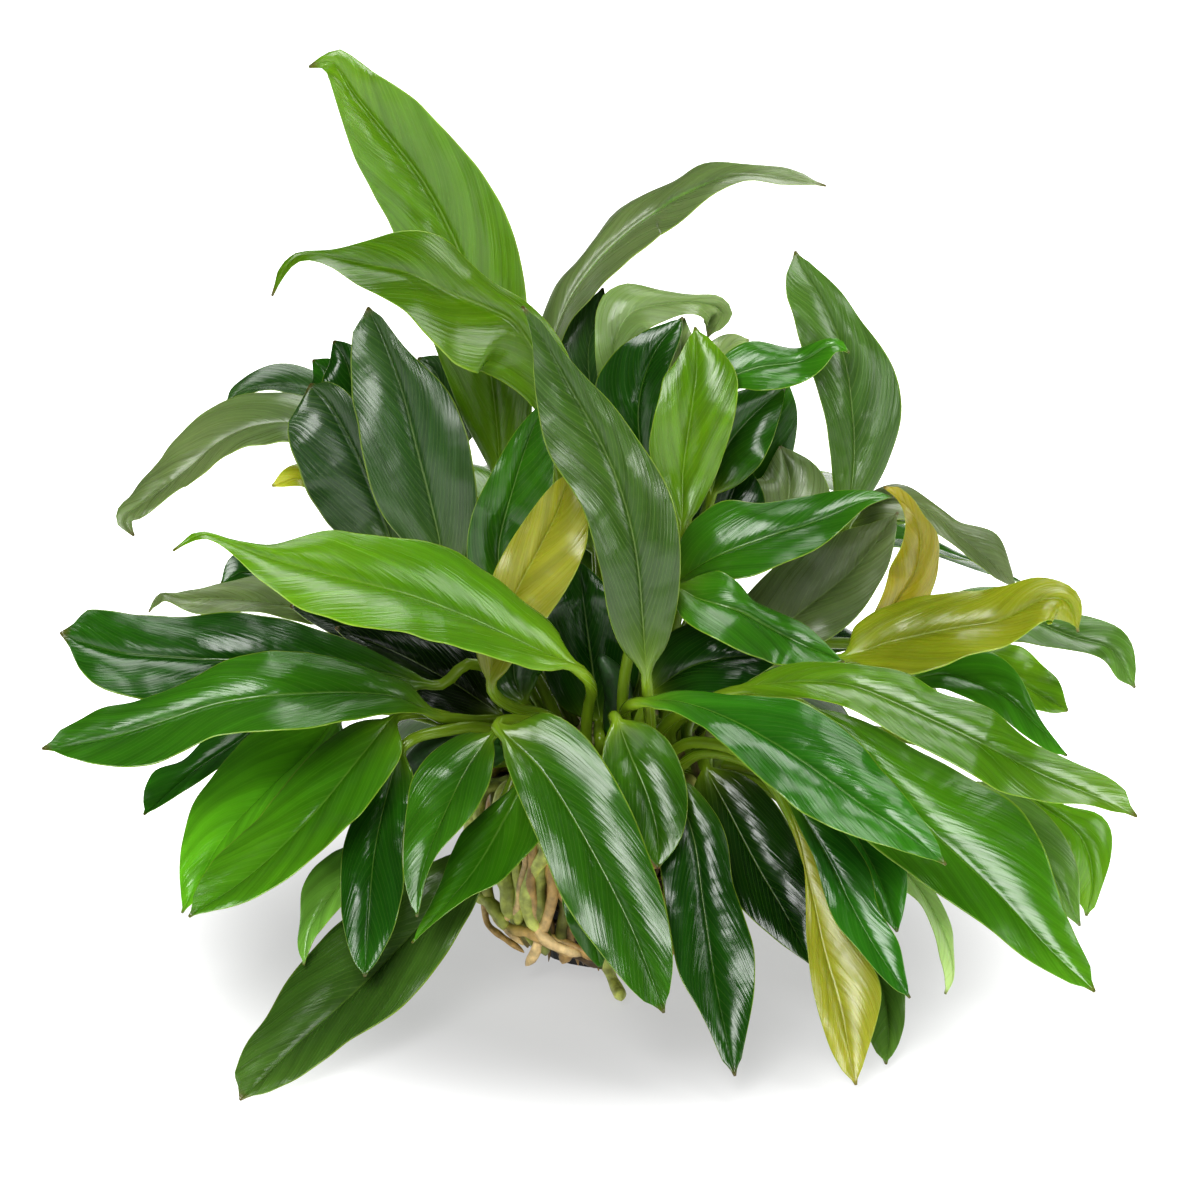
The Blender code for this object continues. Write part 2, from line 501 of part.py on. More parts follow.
         (317, 1064), (292, 1081), (267, 1090)),
    ),
    "centre_big": (
        ((639, 678), (625, 658), (614, 636), (606, 608), (603, 580), (597, 558), (590, 530), (583, 507),
         (572, 490), (561, 474), (550, 460), (541, 434), (537, 404), (533, 378), (533, 350), (531, 325),
         (524, 314)),
        ((655, 676), (669, 642), (676, 616), (680, 586), (681, 552), (678, 518), (670, 490), (656, 465),
         (642, 446), (625, 420), (608, 398), (589, 381), (572, 362), (556, 342), (540, 318), (526, 305)),
    ),
    "yellow_centre": (
        ((484, 678), (475, 655), (476, 630), (484, 600), (496, 566), (510, 541), (527, 516), (544, 493),
         (561, 476)),
        ((502, 681), (513, 661), (532, 638), (550, 614), (564, 594), (578, 569), (587, 546), (589, 527),
         (586, 500), (580, 478)),
    ),
    "inner_left_green": (
        ((486, 600), (468, 575), (466, 555), (468, 532), (474, 507), (485, 485), (499, 457), (516, 429),
         (536, 408)),
        ((512, 600), (528, 565), (542, 530), (553, 495), (555, 462), (552, 430)),
    ),
    "dark_mid_up": (
        ((635, 490), (612, 455), (598, 420), (592, 383), (600, 370), (620, 347), (650, 328)),
        ((668, 470), (668, 430), (664, 395), (672, 360), (681, 335)),
    ),
}

# The unseen side, which droops to the back as the front does.
BACK_LEAVES = [
    BackLeaf("back_low_left", "dark", -122, (.075, .090), ((.105, .092),), (.165, .030), .038,
             "shoot_back_low_left"),
    BackLeaf("back_mid_left", "mid", -134, (.070, .115), ((.105, .132),), (.172, .092), .040,
             "shoot_back_low_left"),
    BackLeaf("back_floor_left", "dark", -146, (.072, .076), ((.098, .066),), (.150, .012), .036,
             "shoot_back_low_left"),
    BackLeaf("back_low_mid", "dark", -168, (.074, .090), ((.104, .088),), (.160, .026), .038,
             "shoot_back_mid_left"),
    BackLeaf("back_arch_mid", "bright", -156, (.066, .124), ((.098, .150),), (.166, .122), .040,
             "shoot_back_mid_left"),
    BackLeaf("back_high_mid", "mid", -176, (.060, .128), ((.090, .154),), (.146, .150), .038,
             "shoot_back_mid_left"),
    BackLeaf("back_floor_mid", "mid", 176, (.072, .078), ((.096, .066),), (.146, .010), .036,
             "shoot_back_mid"),
    BackLeaf("back_low_middle", "dark", 188, (.068, .112), ((.100, .124),), (.168, .084), .040,
             "shoot_back_mid"),
    BackLeaf("back_low_right", "dark", 164, (.070, .108), ((.102, .120),), (.170, .078), .038,
             "shoot_back_mid"),
    BackLeaf("back_drop_right", "mid", 152, (.074, .088), ((.102, .084),), (.156, .022), .038,
             "shoot_back_right"),
    BackLeaf("back_arch_right", "bright", 142, (.066, .126), ((.098, .152),), (.164, .126), .038,
             "shoot_back_right"),
    BackLeaf("back_high_right", "dark", 160, (.058, .130), ((.088, .158),), (.142, .158), .036,
             "shoot_back_right"),
    BackLeaf("back_side_right", "dark", 122, (.074, .094), ((.106, .096),), (.164, .040), .038,
             "shoot_back_side"),
    BackLeaf("back_side_high", "mid", 112, (.066, .122), ((.100, .142),), (.166, .116), .038,
             "shoot_back_side"),
    BackLeaf("back_side_low", "dark", 134, (.072, .080), ((.098, .070),), (.150, .014), .036,
             "shoot_back_side"),
]


def ray_of(pixels):
    """The view's rays through pixels, each as the step that it takes for a metre of depth."""
    pixels = np.asarray(pixels, float)
    across = (pixels[..., 0:1] - PICTURE_MIDDLE) / VIEW_FOCAL_PIXELS
    rise = (PICTURE_MIDDLE - pixels[..., 1:2]) / VIEW_FOCAL_PIXELS
    return VIEW_FORWARD + across * VIEW_RIGHT + rise * VIEW_UP


def place(pixel, y):
    """The point that is seen at a pixel and lies at this y."""
    ray = ray_of(pixel)
    return EYE + (y - EYE[1]) / ray[1] * ray


def depth_of(points):
    return (points - EYE) @ VIEW_FORWARD


def pixels_of(points):
    offset = points - EYE
    scale = VIEW_FOCAL_PIXELS / (offset @ VIEW_FORWARD)
    across = PICTURE_MIDDLE + scale * (offset @ VIEW_RIGHT)
    down = PICTURE_MIDDLE - scale * (offset @ VIEW_UP)
    return np.stack((across, down), axis=-1)


def unit(vectors):
    return vectors / np.linalg.norm(vectors, axis=-1, keepdims=True)


def lengths_along(points):
    steps = np.linalg.norm(np.diff(points, axis=0), axis=1)
    return np.concatenate(([0.0], np.cumsum(steps)))


def smooth_curve(controls, steps=12):
    """A centripetal Catmull-Rom curve through the controls, and the index of each control's point on it."""
    controls = np.asarray(controls, float)
    ends = (2 * controls[0] - controls[1], 2 * controls[-1] - controls[-2])
    padded = np.vstack((ends[0], controls, ends[1]))
    knots = np.concatenate(([0.0], np.cumsum(np.sqrt(np.linalg.norm(np.diff(padded, axis=0), axis=1)))))
    found = []
    for i in range(len(controls) - 1):
        p = padded[i : i + 4]
        k = knots[i : i + 4]
        t = np.linspace(k[1], k[2], steps, endpoint=False)[:, None]
        a = [((k[j + 1] - t) * p[j] + (t - k[j]) * p[j + 1]) / (k[j + 1] - k[j]) for j in range(3)]
        b = [((k[j + 2] - t) * a[j] + (t - k[j]) * a[j + 1]) / (k[j + 2] - k[j]) for j in range(2)]
        found.append(((k[2] - t) * b[0] + (t - k[1]) * b[1]) / (k[2] - k[1]))
    return np.vstack(found + [controls[-1:]]), [steps * i for i in range(len(controls))]


def read_along(points, fractions):
    """The points at these fractions of a polyline's length."""
    lengths = lengths_along(points)
    at = np.asarray(fractions) * lengths[-1]
    return np.stack([np.interp(at, lengths, points[:, k]) for k in range(points.shape[1])], axis=-1)


def branch_axes():
    """The rhizome's branches, creeping out from the crown's middle over the pot's rim."""
    rng = random.Random(11)
    axes = []
    for i in range(BRANCH_COUNT):
        azimuth = math.tau * (i + 0.25 + rng.uniform(-0.12, 0.12)) / BRANCH_COUNT
        bend = rng.uniform(-0.35, 0.35)
        points = []
        for step in range(9):
            along = step / 8
            turn = azimuth + bend * along
            radius = 3 * MM + (BRANCH_LENGTH - 3 * MM) * along
            height = BRANCH_INNER_HEIGHT + (BRANCH_OUTER_HEIGHT - BRANCH_INNER_HEIGHT) * along**2
            points.append((radius * math.cos(turn), radius * math.sin(turn), height))
        axes.append(np.array(points))
    return axes


AXES = branch_axes()
AXIS_POINTS = np.vstack([read_along(axis, np.linspace(0, 1, 25)) for axis in AXES])


def on_rhizome(points, clear):
    """Moves points to the rhizome's skin, or this far off it, with the skin's outward direction there."""
    for _ in range(6):
        apart = points[:, None, :] - AXIS_POINTS[None]
        nearest = apart[np.arange(len(points)), np.linalg.norm(apart, axis=2).argmin(axis=1)]
        away = unit(nearest)
        points = points + away * (BRANCH_RADIUS + clear - np.linalg.norm(nearest, axis=1))[:, None]
    return points, away


def feet_of(necks, sizes):
    """Where the leaves stand on the rhizome: on the way from the crown's middle to each neck, apart."""
    middle = np.array((0.0, 0.0, BRANCH_INNER_HEIGHT))
    outward = unit(necks - middle)
    flat = np.linalg.norm(outward[:, :2], axis=1)
    radius = np.where(outward[:, 2] < 0, 1.0, flat) * (BRANCH_LENGTH + 1 * MM)
    aim = np.stack(
        (
            radius * outward[:, 0] / flat,
            radius * outward[:, 1] / flat,
            np.full(len(necks), BRANCH_INNER_HEIGHT + 2 * BRANCH_RADIUS),
        ),
        axis=1,
    )
    feet, away = on_rhizome(aim, FOOT_GAP)
    wanted = feet.copy()
    needed = sizes[:, None] + sizes[None]
    for _ in range(400):
        apart = feet[:, None] - feet[None]
        distance = np.linalg.norm(apart, axis=2) + np.eye(len(feet))
        short = np.clip(needed - distance, 0, None) * (1 - np.eye(len(feet)))
        push = (apart / distance[..., None] * short[..., None]).sum(axis=1) * 0.35
        moved = feet + push + 0.01 * (wanted - feet)
        moved[:, 2] = np.maximum(moved[:, 2], BRANCH_OUTER_HEIGHT + 1.5 * MM)
        feet, away = on_rhizome(moved, FOOT_GAP)
    return feet, away


def blade_controls(leaf):
    """The points from a leaf's neck to its tip, and the direction that its upper face looks to."""
    if isinstance(leaf, BackLeaf):
        turn = math.radians(leaf.azimuth)
        outward = np.array((math.sin(turn), -math.cos(turn), 0.0))
        path = [outward * radius + UP * height for radius, height in (leaf.neck, *leaf.top, leaf.tip)]
        run = path[-1] - path[0]
        side = np.array((math.cos(turn), math.sin(turn), 0.0))
        looks = unit(np.cross(unit(run), side))
        looks = looks if looks[2] > 0 or abs(looks[2]) < 0.3 and looks @ outward > 0 else -looks
        return np.array(path), looks
    pixels = np.array((leaf.neck, *leaf.midrib, leaf.tip), float)
    along = lengths_along(pixels)
    depths = leaf.y[0] + (leaf.y[1] - leaf.y[0]) * along / along[-1]
    azimuth, elevation = (math.radians(angle) for angle in leaf.looks)
    looks = np.array(
        (
            math.sin(azimuth) * math.cos(elevation),
            -math.cos(azimuth) * math.cos(elevation),
            math.sin(elevation),
        )
    )
    return np.array([place(pixel, y) for pixel, y in zip(pixels, depths)]), looks


def stalk_controls(foot, away, blade, leaf, spread):
    """The petiole's points: it leaves the rhizome square to it and runs into the blade's own direction.

    spread turns a shoot's petioles apart from the start, each to its own neck.
    """
    neck = blade[0]
    first = foot + unit(away + spread * unit(neck - foot)) * 7 * MM
    reach = np.linalg.norm(neck - first)
    leaving = unit(away + 0.6 * unit(neck - first)) * reach * 0.9
    arriving = unit(unit(blade[1] - blade[0]) + 0.7 * unit(neck - first)) * reach * 0.8
    found = [foot, first]
    for t in (0.35, 0.7):
        found.append(
            (2 * t**3 - 3 * t**2 + 1) * first
            + (t**3 - 2 * t**2 + t) * leaving
            + (3 * t**2 - 2 * t**3) * neck
            + (t**3 - t**2) * arriving
            + 4 * t * (1 - t) * leaf.lift * UP
        )
    return np.array(found)


def lay_out():
    """Each leaf's midline from foot to tip as laid out in the view, before the leaves are settled clear."""
    leaves = list(LEAVES) + list(BACK_LEAVES)
    blades, looks = zip(*(blade_controls(leaf) for leaf in leaves))
    groups = [leaf.shoot or leaf.name for leaf in leaves]
    names = list(dict.fromkeys(groups))
    members = [[i for i, group in enumerate(groups) if group == name] for name in names]
    necks = np.array([np.mean([blades[i][0] for i in found], axis=0) for found in members])
    sizes = np.array([FOOT_SPACING if len(found) == 1 else SHOOT_RADIUS + 1.2 * MM for found in members])
    feet, away = feet_of(necks, sizes)
    courses = [None] * len(leaves)
    for k, found in enumerate(members):
        for place_in, i in enumerate(found):
            foot = feet[k]
            in_shoot = len(found) > 1
            if in_shoot:
                aside = blades[i][0] - foot
                aside = unit(aside - (aside @ away[k]) * away[k])
                foot = foot + away[k] * SHOOT_HEIGHT * (0.26 + 0.1 * place_in) + aside * 0.9 * MM
            stalk = stalk_controls(foot, away[k], blades[i], leaves[i], 1.2 if in_shoot else 0)
            curve, at = smooth_curve(np.vstack((stalk, blades[i])))
            cut = at[len(stalk)]
            petiole = read_along(curve[: cut + 1], np.linspace(0, 1, PETIOLE_STEPS + 1))
            blade = read_along(curve[cut:], np.linspace(0, 1, BLADE_STEPS + 1))
            courses[i] = np.vstack((petiole, blade[1:]))
    shoots = {name: (feet[k], away[k], members[k]) for k, name in enumerate(names)}
    return leaves, courses, looks, shoots


def frames_of(course, looks):
    """The tangent, side and upward directions at each point of a midline."""
    tangent = unit(np.gradient(course, axis=0))
    up = looks - (tangent @ looks)[:, None] * tangent
    up = unit(up)
    for _ in range(6):
        up[1:-1] = (up[:-2] + 2 * up[1:-1] + up[2:]) / 4
        up = unit(up - (up * tangent).sum(axis=1, keepdims=True) * tangent)
    return tangent, np.cross(tangent, up), up


def half_widths(along, width, taper):
    """A lance-shaped blade's half-width at fractions of its length. A low taper makes its tip blunt."""
    along = np.clip(along, 0, 1)
    shape = along**BLADE_SHOULDER * (1 - along) ** taper
    widest = BLADE_SHOULDER / (BLADE_SHOULDER + taper)
    most = widest**BLADE_SHOULDER * (1 - widest) ** taper
    stem = PETIOLE_RADIUS * np.clip(1 - 4 * along, 0, 1)
    return np.maximum(0.5 * width * shape / most, np.maximum(stem, 0.45 * MM))


def reach_to(margin, pixels, steps):
    """How many of its steps each pixel lies from a margin, or infinity where it would miss it."""
    start, run = margin[:-1], np.diff(margin, axis=0)
    gap = start[None] - pixels[:, None]
    step = steps[:, None]
    turned = step[..., 0] * run[:, 1] - step[..., 1] * run[:, 0]
    turned = np.where(np.abs(turned) < 1e-9, 1e-9, turned)
    reach = (gap[..., 0] * run[:, 1] - gap[..., 1] * run[:, 0]) / turned
    along = (gap[..., 0] * step[..., 1] - gap[..., 1] * step[..., 0]) / turned
    return np.where((reach > 0) & (along > -0.02) & (along < 1.02), reach, np.inf).min(axis=1)


def side_widths(leaf, middle, side, up):
    """How far a blade reaches to its left and right at each station: to the margins that the view shows."""
    along = np.linspace(0, 1, len(middle))
    plain = half_widths(along, leaf.width, leaf.taper)
    margins = MARGINS.get(leaf.name)
    if not margins:
        return plain, plain
    fold = math.radians(leaf.fold)
    pixels = pixels_of(middle)
    ends = np.array((pixels[0], pixels[-1]))
    margins = [np.vstack((ends[:1], margin, ends[1:])) for margin in margins]
    found = {}
    for sign in (-1, 1):
        edge = sign * math.cos(fold) * side + 0.65 * math.sin(fold) * up
        steps = pixels_of(middle + MM * edge) - pixels
        reaches = [reach_to(margin, pixels, steps) * MM for margin in margins]
        reach = max(reaches, key=lambda values: np.isfinite(values[3:-3]).sum())
        seen = np.isfinite(reach)
        if seen.sum() < 8:
            found[sign] = plain
            continue
        reach = np.interp(along, along[seen], reach[seen])
        reach = np.minimum(reach, WIDEST_SIDE * leaf.width)
        for _ in range(3):
            reach[1:-1] = (reach[:-2] + 2 * reach[1:-1] + reach[2:]) / 4
        ends_in = np.clip(np.minimum(along / 0.08, (1 - along) / 0.05), 0, 1)
        stem = PETIOLE_RADIUS * np.clip(1 - 4 * along, 0, 1)
        found[sign] = np.maximum(reach * ends_in, np.maximum(stem, 0.45 * MM))
    return found[-1], found[1]


def blade_grid(leaf, seed, course, looks, along, across):
    """The blade's middle surface at fractions along and across it (-1 to 1), with its upward direction."""
    blade = course[PETIOLE_STEPS:]
    _, side, up = (part[PETIOLE_STEPS:] for part in frames_of(course, looks))
    at = np.asarray(along) * BLADE_STEPS
    index = np.arange(BLADE_STEPS + 1)

    def read(rows):
        return np.stack([np.interp(at, index, rows[:, k]) for k in range(3)], axis=-1)

    left, right = (np.interp(at, index, reach)[:, None] for reach in side_widths(leaf, blade, side, up))
    middle, side, up = read(blade), unit(read(side)), unit(read(up))
    fold = math.radians(leaf.fold)
    rng = random.Random(seed)
    turn_left = rng.uniform(0, math.tau)
    turn_right = rng.uniform(0, math.tau)
    u = np.asarray(across)[None, :]
    s = np.asarray(along)[:, None]
    turn = np.where(u < 0, turn_left, turn_right)
    reach = np.where(u < 0, left, right)
    rise = reach * math.sin(fold) * (np.abs(u) - 0.35)
    broad = np.clip(reach / (6 * MM), 0, 1)
    wave = leaf.wave * u**2 * np.sin(math.tau * leaf.ripples * s + turn) * broad
    out = reach * math.cos(fold) * u
    points = middle[:, None] + side[:, None] * out[..., None] + up[:, None] * (rise + wave)[..., None]
    return points, side, up, (left + right)[:, 0] / 2


def settle(leaves, courses, looks):
    """Moves the leaves nearer or farther along the view's rays, smoothly from foot to tip, until they clear.

    The front leaves keep the order in which the list names them, so what covers what stays as laid out.
    """
    count = len(leaves)
    steps = PETIOLE_STEPS + BLADE_STEPS + 1
    fronts = sum(isinstance(leaf, Leaf) for leaf in leaves)
    courses = [course.copy() for course in courses]
    along = np.linspace(0.02, 1, 27)
    across = np.linspace(-1, 1, 9)
    for _ in range(5):
        pixels, depths, stations, blades = [], [], [], []
        for i, leaf in enumerate(leaves):
            grid, *_ = blade_grid(leaf, i, courses[i], looks[i], along, across)
            blade_rows = np.repeat(PETIOLE_STEPS + np.rint(along * BLADE_STEPS).astype(int), len(across))
            stalk_rows = np.arange(PETIOLE_CLEAR_FROM, PETIOLE_STEPS + 1)
            stalk = courses[i][stalk_rows]
            points = np.vstack((stalk, grid.reshape(-1, 3)))
            pixels.append(pixels_of(points))
            depths.append(depth_of(points))
            stations.append(i * steps + np.concatenate((stalk_rows, blade_rows)))
            blades.append(np.arange(len(points)) >= len(stalk))
        pairs = close_pairs(leaves, pixels, depths, blades, fronts)
        pixels, depths = np.vstack(pixels), np.concatenate(depths)
        stations = np.concatenate(stations)
        rays = ray_of(pixels)
        fraction = (stations % steps) / (steps - 1)
        offsets = relax(pairs, depths, stations, rays, fraction, count, steps)
        for i in range(count):
            course = courses[i]
            courses[i] = course + offsets[i][:, None] * ray_of(pixels_of(course))
        courses = untangle(leaves, courses)
    return courses


def close_pairs(leaves, pixels, depths, blades, fronts):
    """Pairs of samples that lie over each other in the view, the nearer first, with the gap each needs."""
    starts = np.concatenate(([0], np.cumsum([len(found) for found in pixels])))
    low = np.array([found.min(axis=0) for found in pixels])
    high = np.array([found.max(axis=0) for found in pixels])
    reach = max(LEAF_APART, PETIOLE_APART) * VIEW_FOCAL_PIXELS / VIEW_DISTANCE
    first, second, needed = [], [], []
    for i in range(len(leaves)):
        for j in range(i + 1, len(leaves)):
            same_shoot = leaves[i].shoot and leaves[i].shoot == leaves[j].shoot
            if (low[i] > high[j] + reach).any() or (low[j] > high[i] + reach).any():
                continue
            apart = np.linalg.norm(pixels[i][:, None] - pixels[j][None], axis=2)
            rows, columns = np.nonzero(apart < reach)
            if not len(rows):
                continue
            lateral = apart[rows, columns] * VIEW_DISTANCE / VIEW_FOCAL_PIXELS
            behind = depths[j][columns] - depths[i][rows]
            for blade_i in (False, True):
                for blade_j in (False, True):
                    chosen = (blades[i][rows] == blade_i) & (blades[j][columns] == blade_j)
                    if not chosen.any() or same_shoot and not (blade_i and blade_j):
                        continue
                    both = blade_i and blade_j
                    mean = behind[chosen].mean()
                    mixed = blade_i != blade_j
                    listed = j < fronts and (both or mixed and abs(mean) < ORDER_DOUBT)
                    nearer = listed or mean > 0
                    room = LEAF_APART if both else PETIOLE_APART
                    gap = np.sqrt(np.clip(room**2 - lateral[chosen] ** 2, 0, None))
                    a = starts[i] + rows[chosen]
                    b = starts[j] + columns[chosen]
                    first.append(a if nearer else b)
                    second.append(b if nearer else a)
                    needed.append(gap)
    return np.concatenate(first), np.concatenate(second), np.concatenate(needed)


def relax(pairs, depths, stations, rays, fraction, count, steps):
    """The depth that each midline point moves by, smooth along each leaf and nothing at its foot."""
    near, far, needed = pairs
    s = np.arange(steps)
    spread = np.exp(-(((s[:, None] - s[None]) / RELAX_SPREAD) ** 2) / 2)
    free = np.clip((s - 1) / (0.8 * PETIOLE_STEPS), 0, 1)
    offsets = np.zeros((count, steps))
    for _ in range(90):
        moved = depths + offsets.reshape(-1)[stations]
        short = needed - (moved[far] - moved[near])
        bad = short > 0
        back = np.zeros(count * steps)
        front = np.zeros(count * steps)
        half = np.minimum(short[bad], 8 * MM) / 2
        np.maximum.at(back, stations[far[bad]], half)
        np.maximum.at(front, stations[near[bad]], half)
        points = EYE + moved[:, None] * rays
        under = FLOOR_GAP + 1 * MM - points[:, 2]
        low = (under > 0) & (fraction > 0.3)
        np.maximum.at(front, stations[low], under[low] / -rays[low, 2])
        radius = np.linalg.norm(points[:, :2], axis=1)
        ball = ROOT_BALL_BASE + (ROOT_BALL_TOP - ROOT_BALL_BASE) * np.clip(points[:, 2] / POT_HEIGHT, 0, 1)
        ball = np.where(points[:, 2] > ROOT_BALL_HEIGHT, CROWN_RADIUS, ball)
        inside = (ball + 3 * MM - radius > 0) & (points[:, 2] < CROWN_HEIGHT) & (fraction > 0.2)
        into = np.clip(ball + 3 * MM - radius, 0, 6 * MM)
        fore = inside & (points[:, 1] < 0)
        rear = inside & (points[:, 1] >= 0)
        np.maximum.at(front, stations[fore], into[fore])
        np.maximum.at(back, stations[rear], into[rear])
        push = (back - front).reshape(count, steps)
        shared = np.maximum((push != 0) @ spread, 1)
        offsets += (push @ spread) / shared * free
    return offsets


def untangle(leaves, courses):
    """Bends the petioles aside until they pass each other and the rhizome, with their ends kept in place."""
    count = PETIOLE_STEPS + 1
    points = np.array([course[:count] for course in courses])
    shoot = np.array([first_of(leaf.shoot or leaf.name, leaves) for leaf in leaves])
    owner = np.repeat(shoot, count)
    station = np.arange(count)
    spread = np.exp(-(((station[:, None] - station[None]) / 2.5) ** 2) / 2)
    spread /= spread.sum(axis=1, keepdims=True)
    free = np.clip(np.minimum(station / 3, (count - 1 - station) / 3), 0, 1)[:, None]
    flat = points.reshape(-1, 3)
    near = np.linalg.norm(flat[:, None] - flat[None], axis=2) < 4 * PETIOLE_APART
    first, second = np.nonzero(np.triu(near & (owner[:, None] != owner[None])))
    rows = np.arange(len(flat))
    for _ in range(60):
        flat = points.reshape(-1, 3)
        apart = flat[first] - flat[second]
        distance = np.linalg.norm(apart, axis=1) + 1e-9
        short = np.clip(PETIOLE_APART + 0.4 * MM - distance, 0, None)
        moves = apart * (0.5 * short / distance)[:, None]
        push = np.zeros_like(flat)
        np.add.at(push, first, moves)
        np.add.at(push, second, -moves)
        size = np.linalg.norm(push, axis=1, keepdims=True)
        push = (push * np.minimum(1, 1.5 * MM / np.maximum(size, 1e-9))).reshape(points.shape)
        from_axis = flat[:, None] - AXIS_POINTS[None]
        gap = np.linalg.norm(from_axis, axis=2)
        nearest = gap.argmin(axis=1)
        reach = gap[rows, nearest].reshape(points.shape[:2])
        along = np.linalg.norm(points - points[:, :1], axis=2)
        wanted = BRANCH_RADIUS + 2 * CLEARANCE + np.minimum(along * 0.9, PETIOLE_RADIUS + 0.6 * MM)
        off_axis = unit(from_axis[rows, nearest]).reshape(points.shape)
        lift = np.clip(wanted - reach, 0, None)[..., None] * off_axis
        points = points + (np.einsum("ij,kjm->kim", spread, push) + lift) * free
    return [np.vstack((found, course[count:])) for found, course in zip(points, courses)]


def first_of(name, leaves):
    """The number of the first leaf of this shoot, or of this name."""
    return next(i for i, leaf in enumerate(leaves) if name in (leaf.shoot, leaf.name))


def leaf_sections(leaf, seed, course, looks, petiole_at, blade_at, columns):
    """Closed rings of points from foot to tip: the top from left to right, then the bottom back again."""
    _, side, up = frames_of(course, looks)
    across = np.linspace(-1, 1, columns)
    rings = []
    for fraction in petiole_at:
        k = fraction * PETIOLE_STEPS
        i = min(int(k), PETIOLE_STEPS - 1)
        middle = course[i] + (k - i) * (course[i + 1] - course[i])
        thick = np.maximum(BLADE_EDGE, PETIOLE_RADIUS * np.sqrt(np.clip(1 - across**2, 0, 1)))
        row = middle + across[:, None] * PETIOLE_RADIUS * side[i]
        rings.append(skin_of_row(row, thick[:, None] * up[i]))
    grid, _, blade_up, half = blade_grid(leaf, seed, course, looks, blade_at, across)
    for row, direction, s, h in zip(grid, blade_up, blade_at, half):
        stem = math.exp(-PETIOLE_FADE * s)
        ridge = MIDRIB * (1 - MIDRIB_FADE * s) + (PETIOLE_RADIUS - MIDRIB) * stem
        round_part = np.sqrt(np.clip(1 - across**2, 0, 1))
        flat_part = (1 - np.abs(across)) ** 2
        shape = stem * round_part + (1 - stem) * flat_part
        thick = BLADE_EDGE + np.maximum(ridge - BLADE_EDGE, 0) * shape
        rings.append(skin_of_row(row, thick[:, None] * direction))
    return rings


def skin_of_row(row, thick):
    """A closed ring round a row of points: over it from left to right, and back under it."""
    return np.vstack((row + thick, (row - thick)[::-1]))


def loft(rings, columns):
    """A closed mesh through leaf sections, with the top and the bottom cut into triangles alike."""
    bm = bmesh.new()
    rows = [[bm.verts.new(point) for point in ring] for ring in rings]
    size = 2 * columns
    for near, far in zip(rows, rows[1:]):
        for k in range(size):
            n = (k + 1) % size
            if k < columns:
                bm.faces.new((near[k], near[n], far[n]))
                bm.faces.new((near[k], far[n], far[k]))
            else:
                bm.faces.new((near[k], near[n], far[k]))
                bm.faces.new((near[n], far[n], far[k]))
    for ring, flip in ((rows[0], True), (rows[-1], False)):
        for k in range(columns - 1):
            a, b, c, d = ring[k], ring[k + 1], ring[size - 2 - k], ring[size - 1 - k]
            bm.faces.new((d, c, b, a) if flip else (a, b, c, d))
    bmesh.ops.recalc_face_normals(bm, faces=bm.faces[:])
    return bm


def tube(points, radii, sides, looks=UP):
    """A closed tube with flat ends through points, one radius for each."""
    points = np.asarray(points, float)
    tangent = unit(np.gradient(points, axis=0))
    side = unit(np.cross(tangent[0], looks + 0.01 * VIEW_RIGHT))
    bm = bmesh.new()
    rows = []
    for point, direction, radius in zip(points, tangent, radii):
        side = unit(side - (side @ direction) * direction)
        other = np.cross(direction, side)
        ring = []
        for k in range(sides):
            turn = math.tau * k / sides
            ring.append(bm.verts.new(point + radius * (math.cos(turn) * side + math.sin(turn) * other)))
        rows.append(ring)
    for near, far in zip(rows, rows[1:]):
        for k in range(sides):
            bm.faces.new((near[k], near[(k + 1) % sides], far[(k + 1) % sides], far[k]))
    bm.faces.new(rows[0][::-1])
    bm.faces.new(rows[-1])
    bmesh.ops.recalc_face_normals(bm, faces=bm.faces[:])
    return bm


def turned(profile, sides):
    """A closed ring or disc turned about Z from a closed outline of (radius, height)."""
    bm = bmesh.new()
    rows = []
    for k in range(sides):
        turn = math.tau * k / sides
        rows.append([bm.verts.new((r * math.cos(turn), r * math.sin(turn), z)) for r, z in profile])
    for k in range(sides):
        near, far = rows[k], rows[(k + 1) % sides]
        for i in range(len(profile)):
            n = (i + 1) % len(profile)
            bm.faces.new((near[i], near[n], far[n], far[i]))
    bmesh.ops.recalc_face_normals(bm, faces=bm.faces[:])
    return bm


def frustum(base_radius, top_radius, base, top, sides):
    bm = bmesh.new()
    rows = []
    for radius, height in ((base_radius, base), (top_radius, top)):
        turns = [math.tau * k / sides for k in range(sides)]
        rows.append([bm.verts.new((radius * math.cos(a), radius * math.sin(a), height)) for a in turns])
    for k in range(sides):
        n = (k + 1) % sides
        bm.faces.new((rows[0][k], rows[0][n], rows[1][n], rows[1][k]))
    bm.faces.new(rows[0][::-1])
    bm.faces.new(rows[1])
    bmesh.ops.recalc_face_normals(bm, faces=bm.faces[:])
    return bm


def shade(mesh):
    mesh.shade_smooth()
    mesh.set_sharp_from_angle(angle=SHARP_ANGLE)


def add_object(name, bm, skin=None):
    mesh = bpy.data.meshes.new(name)
    bm.to_mesh(mesh)
    bm.free()
    shade(mesh)
    if skin:
        mesh.materials.append(skin)
    item = bpy.data.objects.new(name, mesh)
    bpy.context.scene.collection.objects.link(item)
    return item


def collect(name, items):
    """Moves objects to a collection of their own."""
    group = bpy.data.collections.new(name)
    bpy.context.scene.collection.children.link(group)
    for item in items:
        bpy.context.scene.collection.objects.unlink(item)
        group.objects.link(item)
    return group


def boolean(item, group, operation):
    modifier = item.modifiers.new(operation.title(), "BOOLEAN")
    modifier.operation = operation
    modifier.solver = "EXACT"
    modifier.operand_type = "COLLECTION"
    modifier.collection = group
    modifier.use_self = operation == "UNION"


